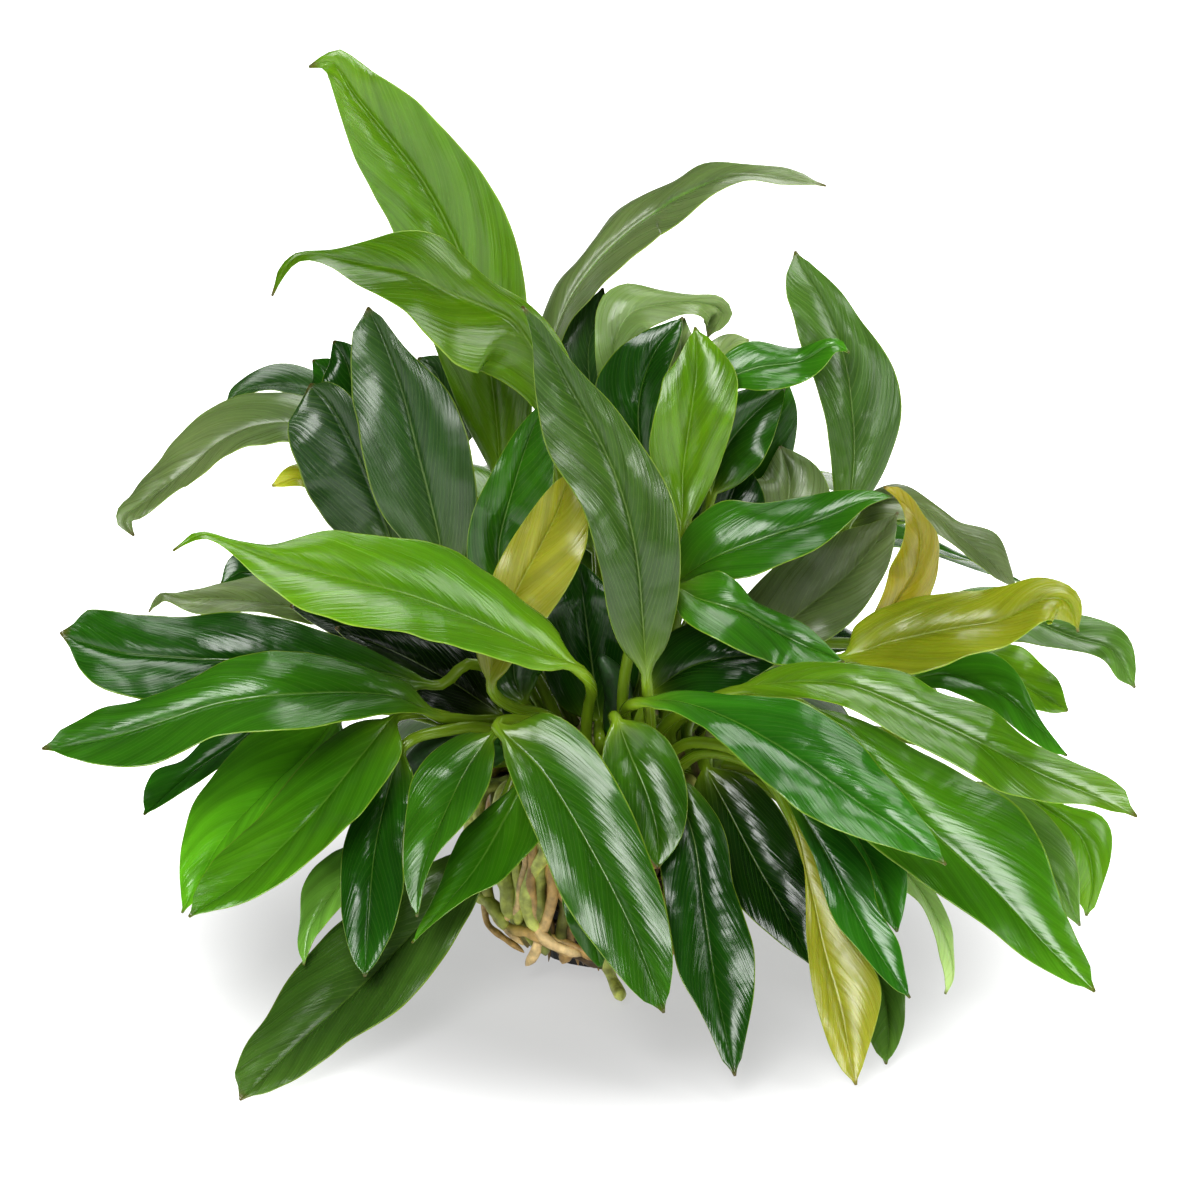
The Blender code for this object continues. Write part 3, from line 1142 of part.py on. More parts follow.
def cut(item, cutters):
    """Cuts hidden helpers from an object."""
    for cutter in cutters:
        cutter.hide_render = True
        cutter.display_type = "WIRE"
    boolean(item, collect(item.name + "_cutters", cutters), "DIFFERENCE")


def fuse(item, others):
    """Joins other objects to one as a single closed body, and removes them."""
    group = collect(item.name + "_pieces", others)
    boolean(item, group, "UNION")
    graph = bpy.context.evaluated_depsgraph_get()
    joined = bpy.data.meshes.new_from_object(item.evaluated_get(graph))
    item.modifiers.clear()
    item.data = joined
    shade(joined)
    for other in others:
        bpy.data.objects.remove(other)
    bpy.data.collections.remove(group)


def skin_of(name, colour, roughness):
    made = bpy.data.materials.new(name)
    made.use_nodes = True
    shader = made.node_tree.nodes["Principled BSDF"]
    shader.inputs["Base Color"].default_value = (*colour, 1)
    shader.inputs["Roughness"].default_value = roughness
    shader.inputs["Metallic"].default_value = 0
    made.diffuse_color = (*colour, 1)
    return made


LEAF_COLOURS = {
    "dark": (0.020, 0.085, 0.025),
    "mid": (0.045, 0.170, 0.025),
    "bright": (0.120, 0.330, 0.025),
    "lime": (0.330, 0.450, 0.040),
    "yellow": (0.500, 0.450, 0.050),
    "grey": (0.045, 0.110, 0.055),
    "pale": (0.180, 0.290, 0.120),
}


def wall_radius(height):
    """The pot's outer radius at a height."""
    return POT_BASE_RADIUS + POT_SLOPE * height


def build_pot():
    """The net pot: a cup with a lip, slots all round its wall, and slots in its floor about a solid hub."""
    skin = skin_of("pot_plastic", (0.012, 0.012, 0.012), 0.5)
    pot = add_object("net_pot", frustum(POT_BASE_RADIUS, POT_TOP_RADIUS, 0, POT_HEIGHT, POT_SIDES), skin)
    lip_base = POT_HEIGHT - POT_LIP_HEIGHT
    profile = (
        (POT_TOP_RADIUS - POT_WALL / 2, POT_HEIGHT),
        (wall_radius(lip_base) - POT_WALL / 2, lip_base),
        (POT_LIP_RADIUS, lip_base),
        (POT_LIP_RADIUS, POT_HEIGHT),
    )
    fuse(pot, [add_object("pot_lip", turned(profile, POT_SIDES), skin)])
    top = POT_HEIGHT + CUT_PAST
    inner = (wall_radius(POT_FLOOR) - POT_WALL, wall_radius(top) - POT_WALL)
    cutters = [add_object("pot_cavity", frustum(*inner, POT_FLOOR, top, POT_SIDES))]
    wall_reach = (POT_BASE_RADIUS - 8 * MM, POT_TOP_RADIUS + 20 * MM)
    for k in range(POT_SLOTS):
        turn = math.tau * (k + 0.5) / POT_SLOTS
        cutters.append(box_cutter(f"wall_slot_{k}", turn, wall_reach, POT_SLOT_WIDTH, POT_SLOT_HEIGHTS))
    floor_reach = (POT_HUB_RADIUS + 2 * MM, POT_BASE_RADIUS - 5 * MM)
    for k in range(BASE_SLOTS):
        turn = math.tau * k / BASE_SLOTS
        heights = (-CUT_PAST, POT_FLOOR + CUT_PAST)
        cutters.append(box_cutter(f"base_slot_{k}", turn, floor_reach, BASE_SLOT_WIDTH, heights))
    cut(pot, cutters)


def box_cutter(name, turn, reach, width, heights):
    """A box along a radius, from one reach to the other, of this full width."""
    bm = bmesh.new()
    bmesh.ops.create_cube(bm, size=1)
    for vert in bm.verts:
        along = reach[0] if vert.co.x < 0 else reach[1]
        aside = vert.co.y * width
        vert.co = (
            along * math.cos(turn) - aside * math.sin(turn),
            along * math.sin(turn) + aside * math.cos(turn),
            heights[0] if vert.co.z < 0 else heights[1],
        )
    return add_object(name, bm)


def build_medium():
    """The plug of growing medium that fills the pot."""
    base = POT_FLOOR + CLEARANCE
    inset = POT_WALL + MEDIUM_INSET
    plug = frustum(wall_radius(base) - inset, wall_radius(MEDIUM_TOP) - inset, base, MEDIUM_TOP, POT_SIDES)
    add_object("growing_medium", plug, skin_of("medium_wool", (0.10, 0.075, 0.045), 0.95))


def root_path(rng, index):
    """A root from the rhizome over the pot's lip and down outside its wall, drifting round it as it goes."""
    turn = math.tau * (index + rng.uniform(0.2, 0.8)) / ROOT_COUNT
    radius = rng.uniform(*ROOT_RADII)
    layer = rng.choice((0, 0, 2.4, 4.4)) * MM
    drift = rng.uniform(-0.7, 0.7)
    end = rng.choice((0.5, 1, 1, 12, 22)) * MM + radius
    nearest = min(AXES, key=lambda axis: abs(math.remainder(turn_of(axis[-1]) - turn, math.tau)))
    start = read_along(nearest, [rng.uniform(0.72, 0.95)])[0]
    over_lip = POT_LIP_RADIUS + radius + LIP_GAP + layer * 0.4
    path = over_the_lip(start, turn, over_lip, radius)
    for k in range(1, ROOT_STOPS + 1):
        down = k / ROOT_STOPS
        height = path[2][2] - 5 * MM + (end - path[2][2] + 5 * MM) * down
        swing = turn + drift * down + rng.uniform(-0.07, 0.07)
        out = wall_radius(height) + radius + WALL_GAP + layer
        if height > POT_HEIGHT - 12 * MM:
            out = max(out, over_lip)
        path.append(np.array((out * math.cos(swing), out * math.sin(swing), height)))
    return path, radius


def turn_of(point):
    return math.atan2(point[1], point[0])


def over_the_lip(start, turn, reach, radius):
    """A root's first points: from the rhizome, over the rim, to this far from the pot's axis."""
    lip = np.array((reach * math.cos(turn), reach * math.sin(turn), POT_HEIGHT + radius * 0.4 + 1.5 * MM))
    start = start - ROOT_START_DROP * UP
    rise = (start + lip) / 2
    rise[2] = POT_HEIGHT + radius + 2.6 * MM
    return [start, rise, lip]


class SeenRoot(NamedTuple):
    """A thick root that the front view shows below the leaves: its pixels, and its distance from the axis."""

    pixels: tuple
    out: float
    radius: float


SEEN_ROOTS = (
    SeenRoot(((543, 850), (537, 880), (530, 912), (537, 936)), 49 * MM, 3.0 * MM),
    SeenRoot(((562, 852), (578, 890), (592, 925), (600, 953)), 48 * MM, 2.6 * MM),
    SeenRoot(((520, 868), (516, 900), (525, 930), (545, 950)), 47 * MM, 2.3 * MM),
    SeenRoot(((484, 880), (492, 905), (505, 925), (540, 937), (572, 958)), 52 * MM, 2.0 * MM),
    SeenRoot(((552, 870), (549, 915), (538, 942), (527, 966)), 51 * MM, 2.0 * MM),
    SeenRoot(((590, 880), (604, 925), (607, 955), (613, 978), (621, 1002)), 47 * MM, 2.2 * MM),
)


def seen_root_path(root):
    """A seen root from the rhizome over the rim and through its pixels, bending out at the floor."""
    lowest = 0.4 * MM + root.radius
    points = []
    for pixel in root.pixels:
        ray = ray_of(pixel)
        flat = ray[0] ** 2 + ray[1] ** 2
        along = EYE[0] * ray[0] + EYE[1] * ray[1]
        missing = EYE[0] ** 2 + EYE[1] ** 2 - root.out**2
        reach = (-along - math.sqrt(max(along**2 - flat * missing, 0))) / flat
        point = EYE + reach * ray
        if point[2] < lowest:
            point = EYE + (lowest - EYE[2]) / ray[2] * ray
        points.append(point)
    start = min((axis[-2] for axis in AXES), key=lambda end: np.linalg.norm(end[:2] - points[0][:2]))
    reach = max(POT_LIP_RADIUS + root.radius + LIP_GAP, root.out - 1 * MM)
    return over_the_lip(start, turn_of(points[0]), reach, root.radius) + points


def build_rhizome():
    """The rhizome's branches and the roots, grown together as one body."""
    skin = skin_of("rhizome_roots", (0.42, 0.30, 0.14), 0.6)
    pieces = []
    for i, axis in enumerate(AXES):
        points = read_along(axis, np.linspace(0, 1, 4))
        end = unit(points[-1] - points[-2]) * BRANCH_RADIUS
        points = np.vstack([points] + [points[-1] + math.sin(turn) * end for turn in BRANCH_END_TURNS])
        radii = [BRANCH_RADIUS] * 4 + [BRANCH_RADIUS * math.cos(turn) for turn in BRANCH_END_TURNS]
        pieces.append(add_object(f"rhizome_branch_{i}", tube(points, radii, 9), skin))
    middle = bmesh.new()
    bmesh.ops.create_icosphere(middle, subdivisions=1, radius=BRANCH_RADIUS)
    bmesh.ops.translate(middle, verts=middle.verts, vec=(0, 0, BRANCH_INNER_HEIGHT))
    rng = random.Random(5)
    paths = [root_path(rng, k) for k in range(ROOT_COUNT)]
    paths += [(seen_root_path(root), root.radius) for root in SEEN_ROOTS]
    for k, (path, radius) in enumerate(paths):
        curve, at = smooth_curve(path)
        stops = sorted(at + [at[1] + 6, at[2] + 6])
        points = curve[stops]
        radii = [radius] * (len(points) - 2) + [radius * 0.85, radius * 0.5]
        pieces.append(add_object(f"root_{k}", tube(points, radii, 5), skin))
    fuse(add_object("rhizome_and_roots", middle, skin), pieces)


PETIOLE_RINGS = (0.0, 0.25, 0.6)
MAIN_RINGS = (0.0, 0.09, 0.24, 0.42, 0.6, 0.8, 1.0)
SMALL_RINGS = (0.0, 0.12, 0.35, 0.6, 0.82, 1.0)
NARROW_BLADE = 32 * MM


def build_leaves():
    """Each single leaf as one object, and each shoot's leaves joined at its foot."""
    leaves, courses, looks, shoots = lay_out()
    courses = settle(leaves, courses, looks)
    skins = {name: skin_of("leaf_" + name, colour, 0.3) for name, colour in LEAF_COLOURS.items()}
    for name, (foot, away, members) in shoots.items():
        single = len(members) == 1
        made = []
        for i in members:
            leaf = leaves[i]
            large = single and leaf.width >= NARROW_BLADE
            columns = 5 if large else 3
            blade_rings = MAIN_RINGS if large else SMALL_RINGS
            rings = leaf_sections(leaf, i, courses[i], looks[i], PETIOLE_RINGS, blade_rings, columns)
            prefix = "leaf_" if single else "blade_"
            made.append(add_object(prefix + leaf.name, loft(rings, columns), skins[leaf.colour]))
        if single:
            continue
        points = [foot, foot + away * SHOOT_HEIGHT * 0.6, foot + away * SHOOT_HEIGHT]
        radii = [SHOOT_RADIUS, SHOOT_RADIUS, SHOOT_RADIUS * 0.7]
        fuse(add_object(name, tube(points, radii, 8, VIEW_RIGHT), skins["dark"]), made)


def main():
    for item in list(bpy.data.objects):
        bpy.data.objects.remove(item)
    build_pot()
    build_medium()
    build_rhizome()
    build_leaves()


main()
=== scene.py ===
"""Potted anubias, dressed: fine leaves with veins and gloss, the roots, the pot, the floor and the light.

Each leaf, shoot, root and the rhizome stands where its solid does: they are laid out here from the same named
values, and each fine piece replaces the node that it stands for.
"""
import math
import random
from typing import NamedTuple

import bpy
import numpy as np
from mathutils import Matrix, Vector


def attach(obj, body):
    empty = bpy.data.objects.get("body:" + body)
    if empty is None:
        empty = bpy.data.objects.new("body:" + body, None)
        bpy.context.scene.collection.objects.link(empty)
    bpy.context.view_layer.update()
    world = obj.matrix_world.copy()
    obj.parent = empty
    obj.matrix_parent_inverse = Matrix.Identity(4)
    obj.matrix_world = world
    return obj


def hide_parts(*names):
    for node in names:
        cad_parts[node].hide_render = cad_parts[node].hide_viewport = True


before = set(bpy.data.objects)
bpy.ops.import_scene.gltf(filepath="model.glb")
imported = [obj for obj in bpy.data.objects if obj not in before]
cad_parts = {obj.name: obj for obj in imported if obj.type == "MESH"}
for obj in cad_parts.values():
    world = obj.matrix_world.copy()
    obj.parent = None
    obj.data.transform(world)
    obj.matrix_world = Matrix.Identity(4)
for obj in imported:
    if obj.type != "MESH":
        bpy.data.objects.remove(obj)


MM = 0.001
CLEARANCE = 0.3 * MM
FLOOR_CLEAR = 0.3 * MM

POT_HEIGHT = 66 * MM
POT_BASE_RADIUS = 28 * MM
POT_TOP_RADIUS = 40 * MM
POT_LIP_RADIUS = 41.5 * MM
POT_SLOPE = (POT_TOP_RADIUS - POT_BASE_RADIUS) / POT_HEIGHT

BRANCH_RADIUS = 7 * MM
BRANCH_LENGTH = 36 * MM
BRANCH_COUNT = 7
BRANCH_INNER_HEIGHT = 70.8 * MM
BRANCH_OUTER_HEIGHT = 75.5 * MM
FOOT_GAP = 0.42 * MM
FEET_ROUNDS = 400

ROOT_COUNT = 18
ROOT_RADII = (1.7 * MM, 2.9 * MM)
ROOT_STOPS = 3
# In millimetres: how far off the wall a root may lie, and how high above the floor it may end.
ROOT_LAYERS = (0, 0, 2.4, 4.4)
ROOT_ENDS = (0.5, 1, 1, 12, 22)
FINE_ROOT_LAYERS = (0.4, 6.2)
FINE_ROOT_ENDS = (0.4, 0.6, 0.8, 6, 14, 24, 34)
# Where along a branch a root may start, and how far round the pot it may drift, in radians.
ROOT_STARTS = (0.72, 0.95)
FINE_ROOT_START = 0.62
ROOT_DRIFT = 0.7
FINE_ROOT_DRIFT = 1.6
ROOT_START_DROP = 2.5 * MM
LIP_GAP = 1.2 * MM
WALL_GAP = 0.9 * MM
ROOT_BALL_BASE = 39 * MM
ROOT_BALL_TOP = 51 * MM
ROOT_BALL_HEIGHT = 72 * MM
CROWN_RADIUS = 44 * MM
CROWN_HEIGHT = 88 * MM
FINE_ROOT_COUNT = 150
FINE_ROOT_RADII = (0.6 * MM, 1.5 * MM)
FINE_ROOT_STOPS = 5

PETIOLE_RADIUS = 2.1 * MM
FOOT_SPACING = 2.75 * MM
SHOOT_RADIUS = 3.6 * MM
SHOOT_HEIGHT = 5 * MM
MIDRIB = 0.75 * MM
MIDRIB_FADE = 0.45
PETIOLE_FADE = 7
BLADE_SHOULDER = 0.62
FLOOR_GAP = 1.5 * MM
LEAF_APART = 4.2 * MM
PETIOLE_APART = 4.7 * MM
RELAX_SPREAD = 9
ORDER_DOUBT = 4 * MM
WIDEST_SIDE = 0.78
THINNEST_SIDE = 0.45 * MM
RIPPLED_HALF_WIDTH = 6 * MM
# In millimetres: how far a petiole runs straight on from its foot.
STALK_START = 7
SETTLE_ROUNDS = 5
RELAX_ROUNDS = 90
UNTANGLE_ROUNDS = 60

# How the leaves are settled: the samples on a blade, the most that a point moves at a time, and the room
# that is kept round the root ball.
SAMPLES_ALONG = np.linspace(0.02, 1, 27)
SAMPLES_ACROSS = np.linspace(-1, 1, 9)
MOST_MOVE = 8 * MM
BALL_ROOM = 3 * MM
MOST_BALL_MOVE = 6 * MM
FLOOR_FROM = 0.3
BALL_FROM = 0.2

# How the petioles are untangled: in steps along them, and in metres.
UNTANGLE_SPREAD = 2.5
HELD_ENDS = 3
PETIOLE_ROOM = 0.4 * MM
MOST_BEND = 1.5 * MM

# The front view that the leaves are laid out in: a square picture, its pixels counted from the top left.
VIEW_ELEVATION = math.radians(20)
VIEW_DISTANCE = 1.5
VIEW_TARGET = np.array((-0.003, 0.0, 0.1315))
VIEW_FOCAL_PIXELS = 4200
PICTURE_MIDDLE = 600
VIEW_RIGHT = np.array((1.0, 0.0, 0.0))
VIEW_FORWARD = np.array((0.0, math.cos(VIEW_ELEVATION), -math.sin(VIEW_ELEVATION)))
VIEW_UP = np.array((0.0, math.sin(VIEW_ELEVATION), math.cos(VIEW_ELEVATION)))
EYE = VIEW_TARGET - VIEW_DISTANCE * VIEW_FORWARD
UP = np.array((0.0, 0.0, 1.0))

PETIOLE_STEPS = 20
BLADE_STEPS = 40
PETIOLE_CLEAR_FROM = 8


class Leaf(NamedTuple):
    """A leaf as the front view shows it.

    neck, midrib and tip are pixels of that view, and y says how deep the neck and the tip lie, in metres.
    width is the blade's full width, looks the azimuth and elevation that its upper face looks to, in degrees,
    with azimuth 0 to the front. shoot names the shoot it grows from, if it isn't a node of its own.
    finish names another colour class that the leaf looks like, and light is how much lighter it is than that:
    the leaf's own tone, and also painted light and shade, lighter where the lamps leave it too dark, darker
    deep in the crown.
    """

    name: str
    colour: str
    neck: tuple
    midrib: tuple
    tip: tuple
    y: tuple
    width: float
    looks: tuple
    fold: float = 14
    wave: float = 0.0012
    ripples: float = 1.6
    shoot: str = ""
    taper: float = 0.92
    lift: float = 0.0
    finish: str = ""
    light: float = 1


class BackLeaf(NamedTuple):
    """A leaf behind the plant, where the front view doesn't reach: its azimuth from the front, and its arc.

    Each of neck, top and tip is a distance from the pot's axis and a height, in metres.
    """

    name: str
    colour: str
    azimuth: float
    neck: tuple
    top: tuple
    tip: tuple
    width: float
    shoot: str
    fold: float = 14
    wave: float = 0.0014
    ripples: float = 1.8
    taper: float = 0.92
    lift: float = 0.0
    finish: str = ""
    light: float = 1


# Front to back, as they cover each other in the front view.
# Each leaf's light factor holds painted light and shade as well as its own tone: leaves that the lamps leave
# too dark are painted lighter, and those deep in the crown darker.
LEAVES = [
    Leaf("front_centre", "mid", (497, 727), ((540, 768), (592, 850), (635, 935)), (664, 1013),
         (-.062, -.124), .036, (-5, 42), light=.76),
    Leaf("front_left_small", "mid", (496, 733), ((468, 765), (438, 825), (420, 880)), (417, 917),
         (-.06, -.102), .029, (-25, 45), light=1.06),
    Leaf("front_small", "mid", (617, 722), ((630, 752), (648, 795), (658, 835)), (658, 868), (-.066, -.096),
         .03, (10, 40), finish="fresh", light=.55),
    Leaf("front_left_under", "bright", (535, 765), ((505, 815), (478, 862), (445, 905)), (412, 943),
         (-.048, -.098), .034, (-25, 35), finish="fresh", light=1.12),
    Leaf("low_mid_glossy", "dark", (664, 768), ((692, 830), (704, 905), (716, 985)), (735, 1076),
         (-.062, -.137), .036, (5, 40)),
    Leaf("right_front_glossy", "dark", (638, 703), ((685, 703), (740, 722), (800, 756), (860, 800),
         (910, 835)), (946, 865), (-.07, -.146), .04, (15, 50), light=1.73),
    Leaf("right_bright_long", "bright", (733, 692), ((790, 682), (850, 684), (920, 712), (990, 745),
         (1050, 776), (1095, 795)), (1137, 817), (-.06, -.128), .036, (10, 55), light=.7),
    Leaf("right_big", "mid", (800, 705), ((860, 750), (930, 825), (1000, 893), (1050, 948)), (1095, 992),
         (-.055, -.126), .044, (20, 42), finish="fresh", light=1.16),
    Leaf("low_right_dark", "dark", (785, 792), ((820, 845), (852, 905), (880, 955)), (910, 998),
         (-.076, -.128), .034, (12, 38), lift=.008, light=2.11),
    Leaf("yellow_low", "yellow", (790, 815), ((808, 880), (824, 950), (842, 1015)), (856, 1085),
         (-.07, -.13), .03, (5, 40), lift=.012, light=.67),
    Leaf("left_bright", "bright", (581, 672), ((536, 648), (481, 619), (418, 593), (359, 577), (292, 560),
         (233, 544), (200, 535)), (173, 551), (-.064, -.112), .038, (-4, 60), taper=1.15, light=.87),
    Leaf("left_long", "mid", (440, 718), ((390, 695), (300, 690), (220, 700), (150, 722), (90, 740)),
         (42, 749), (-.038, -.08), .038, (-4, 62), light=1.24),
    Leaf("left_blunt", "dark", (441, 685), ((380, 672), (280, 660), (180, 655), (110, 648)), (60, 633),
         (-.014, -.054), .041, (-4, 52), taper=.45, lift=.015, light=1.01),
    Leaf("left_glossy", "bright", (400, 716), ((366, 748), (312, 812), (250, 872)), (189, 917),
         (-.045, -.106), .036, (-25, 50), finish="fresh", light=1.16),
    Leaf("left_low_dark", "dark", (405, 745), ((388, 790), (374, 850), (368, 915)), (365, 977),
         (-.05, -.102), .031, (-15, 35), light=1.2),
    Leaf("left_mid", "mid", (345, 712), ((309, 749), (267, 787), (221, 837)), (182, 913), (-.026, -.084),
         .036, (-35, 45), finish="fresh", light=1.85),
    Leaf("left_curl_low", "mid", (380, 815), ((362, 850), (332, 890), (309, 930)), (304, 965),
         (-.042, -.072), .026, (-40, 35), finish="soft", light=2.6),
    Leaf("left_dark_tip", "dark", (280, 712), ((235, 742), (190, 772)), (144, 815), (.004, -.04), .028,
         (-35, 50), lift=-.004, light=2.6),
    Leaf("floor_left", "dark", (485, 840), ((439, 900), (395, 948), (348, 994), (296, 1042)), (240, 1100),
         (-.06, -.136), .04, (-20, 50), finish="soft", light=.95),
    Leaf("centre_big", "dark", (647, 683), ((643, 622), (638, 566), (629, 518), (617, 479), (597, 434),
         (572, 390), (547, 345)), (522, 306), (-.068, -.036), .037, (3, 12), fold=12, wave=.001,
         finish="soft", light=.75),
    Leaf("right_small_over", "dark", (672, 590), ((700, 598), (740, 608), (790, 636)), (844, 662),
         (-.046, -.082), .027, (15, 55), finish="mid", light=1.38),
    Leaf("right_dark_under", "dark", (655, 692), ((690, 665), (735, 655)), (790, 655), (-.036, -.036), .032,
         (5, 50)),
    Leaf("right_yellowgreen", "lime", (842, 660), ((890, 640), (950, 626), (1000, 618), (1045, 597),
         (1068, 600)), (1078, 632), (-.042, -.062), .034, (5, 58), lift=.006, finish="olive", light=.59),
    Leaf("right_yellow_up", "yellow", (872, 650), ((890, 612), (918, 570), (922, 540), (912, 512),
         (898, 498)), (884, 487), (-.034, -.02), .026, (25, 12), finish="gold", light=.65),
    Leaf("right_mid_long", "mid", (672, 592), ((710, 558), (765, 535), (820, 518), (865, 500)), (893, 497),
         (-.03, -.036), .034, (8, 58), light=1.36),
    # Its pale finish paints the grey sheen of its gloss into its colour.
    Leaf("right_glossy_dark", "dark", (715, 657), ((765, 636), (815, 600), (860, 562)), (898, 512),
         (-.022, -.012), .042, (10, 40), finish="pale", light=.45),
    Leaf("yellow_centre", "yellow", (492, 690), ((495, 650), (512, 600), (538, 550), (558, 510)),
         (570, 472), (-.042, -.026), .027, (-5, 12), light=.55),
    Leaf("small_centre", "mid", (523, 700), ((514, 675), (516, 640)), (522, 600), (-.034, -.026), .022,
         (0, 20), shoot="shoot_inner_left", light=.7),
    Leaf("inner_dark_mid", "dark", (600, 722), ((594, 680), (586, 620)), (578, 560), (-.017, -.01), .036,
         (0, 20), light=.8),
    Leaf("bright_mid", "bright", (681, 532), ((683, 475), (692, 410), (697, 365)), (695, 327),
         (-.022, .006), .034, (5, 18), light=.73),
    Leaf("inner_left_green", "mid", (505, 612), ((498, 550), (512, 490), (530, 435)), (548, 395),
         (-.02, -.004), .03, (-8, 15), light=.8),
    Leaf("top_left_arch", "bright", (588, 470), ((555, 395), (516, 322), (488, 306), (451, 290), (413, 272),
         (375, 264), (340, 258), (296, 256)), (272, 296), (-.008, -.03), .04, (-12, 42), fold=14, wave=.002,
         light=.46),
    Leaf("dark_mid_up", "dark", (655, 505), ((640, 450), (638, 400), (655, 350)), (683, 317), (.008, .026),
         .032, (-25, 20), light=.96),
    Leaf("right_arch_small", "mid", (712, 432), ((722, 385), (755, 366), (800, 360), (834, 344)),
         (849, 353), (.002, .004), .026, (8, 55), light=1.35),
    Leaf("dark_right_mid", "dark", (712, 492), ((725, 450), (750, 418)), (785, 387), (.008, .02), .028,
         (5, 30), shoot="shoot_inner_right", finish="mid", light=.95),
    Leaf("tall_left_dark", "grey", (450, 588), ((437, 530), (418, 455), (400, 385), (382, 335)), (368, 307),
         (.014, .056), .038, (-5, 20), light=.75),
    Leaf("left_upright_dark", "grey", (402, 562), ((377, 500), (350, 440), (326, 400)), (310, 384),
         (.024, .062), .038, (-15, 25), light=.75),
    Leaf("top_tall", "bright", (500, 505), ((498, 440), (484, 340), (457, 249), (419, 177), (385, 133),
         (353, 93), (331, 61)), (309, 67), (.034, .052), .046, (-6, 10), fold=14, wave=.0018, light=.68),
    Leaf("tall_right", "mid", (842, 538), ((851, 490), (855, 449), (853, 411), (848, 370), (836, 329),
         (818, 292), (799, 262)), (795, 251), (0.0, .03), .038, (15, 12), fold=12, wave=.0016,
         finish="soft", light=1.11),
    # Its pale finish paints the grey sheen of its gloss into its colour.
    Leaf("far_left_arch", "grey", (360, 472), ((325, 430), (280, 420), (230, 432), (180, 472), (140, 504),
         (124, 519)), (134, 536), (.04, .02), .032, (-12, 72), finish="pale", light=.6),
    Leaf("round_dark", "dark", (715, 562), ((722, 520), (735, 488)), (742, 462), (.01, .024), .034, (5, 15),
         shoot="shoot_inner_right", light=.6),
    # Its pale finish paints the grey sheen of its gloss into its colour.
    Leaf("grey_folded", "grey", (790, 562), ((788, 515), (790, 478)), (780, 446), (.024, .042), .034,
         (15, 20), shoot="shoot_inner_right", finish="pale", light=.6),
    Leaf("folded_top", "pale", (640, 472), ((618, 400), (614, 345), (630, 312), (665, 303), (705, 303),
         (722, 312)), (708, 337), (.04, .056), .034, (-20, 45), light=.92),
    # Its pale finish paints the grey sheen of its gloss into its colour.
    Leaf("top_right_grey", "grey", (552, 442), ((549, 370), (562, 310), (590, 262), (642, 215), (698, 183),
         (739, 174), (777, 177)), (826, 186), (.05, .06), .034, (-60, 55), finish="pale", light=.62),
    Leaf("low_right_mid", "dark", (830, 800), ((860, 840), (883, 885)), (897, 932), (-.05, -.082), .024,
         (20, 40), shoot="shoot_low_right", light=2.17),
    Leaf("right_dark_strip", "dark", (960, 790), ((1010, 822), (1052, 872)), (1080, 926), (-.032, -.058),
         .026, (30, 40), shoot="shoot_right_low", finish="soft", light=1.8),
    Leaf("right_bright_low", "bright", (985, 762), ((1035, 800), (1082, 835), (1094, 880)), (1086, 916),
         (-.045, -.066), .032, (30, 42), shoot="shoot_right_low", light=1.17),
    Leaf("grey_thin", "pale", (870, 830), ((905, 868), (932, 906), (950, 948), (953, 978)), (945, 994),
         (-.04, -.068), .022, (55, 50), shoot="shoot_low_right", light=2.4),
    Leaf("low_right_back", "grey", (850, 900), ((870, 950), (886, 1000), (889, 1035)), (886, 1064),
         (-.045, -.11), .03, (10, 40), shoot="shoot_low_right", finish="soft", light=1.4),
    Leaf("mid_dark_front", "dark", (706, 770), ((730, 812), (760, 868), (790, 920)), (812, 965),
         (-.037, -.09), .034, (10, 40), shoot="shoot_low_mid", light=.5),
    Leaf("mid_dark_behind", "dark", (708, 772), ((724, 804), (745, 850), (770, 900)), (788, 932),
         (-.028, -.064), .034, (15, 40), shoot="shoot_low_mid"),
    Leaf("root_leaf", "mid", (575, 868), ((588, 915),), (601, 969), (-.062, -.072), .016, (0, 25)),
    Leaf("right_far", "mid", (900, 640), ((955, 612), (1020, 615), (1075, 636), (1112, 648)), (1135, 688),
         (.004, -.02), .034, (15, 58), finish="soft", light=1.39),
    Leaf("right_dark_fold", "dark", (900, 682), ((950, 674), (1000, 692), (1035, 722)), (1067, 756),
         (.008, -.016), .036, (25, 45), finish="mid", light=2.08),
    Leaf("right_green_tip", "bright", (980, 660), ((1010, 675), (1040, 694)), (1068, 711), (.03, .022),
         .026, (30, 45), shoot="shoot_right_far"),
    # Its pale finish paints the grey sheen of its gloss into its colour.
    Leaf("right_back_arch", "grey", (845, 530), ((880, 502), (920, 505), (960, 535), (992, 560)),
         (1016, 586), (.04, .044), .025, (20, 55), shoot="shoot_right_far", finish="pale", light=.5),
    # These two leaves deep in the crown are painted nearly black: painted shade inside the crown.
    Leaf("inner_dark_left", "dark", (500, 715), ((455, 682), (400, 652)), (335, 628), (-.014, -.026), .032,
         (-5, 55), shoot="shoot_inner_left", light=.2),
    Leaf("inner_dark_left_b", "dark", (470, 690), ((410, 652), (350, 625)), (290, 606), (.006, -.004), .028,
         (-5, 55), shoot="shoot_left_behind", light=.2),
    # Its pale finish paints the grey sheen of its gloss into its colour.
    Leaf("left_grey_under", "grey", (330, 616), ((280, 603), (225, 597), (180, 598), (160, 594)),
         (149, 612), (.012, -.01), .03, (-5, 62), shoot="shoot_left_behind", finish="pale", light=.55),
    Leaf("green_right_back", "mid", (745, 502), ((760, 455), (775, 415)), (786, 378), (.044, .052), .024,
         (20, 20), shoot="shoot_right_far"),
    Leaf("grey_small_behind", "grey", (602, 452), ((592, 400), (588, 350)), (603, 288), (.05, .066), .026,
         (-10, 25), shoot="shoot_top_mid"),
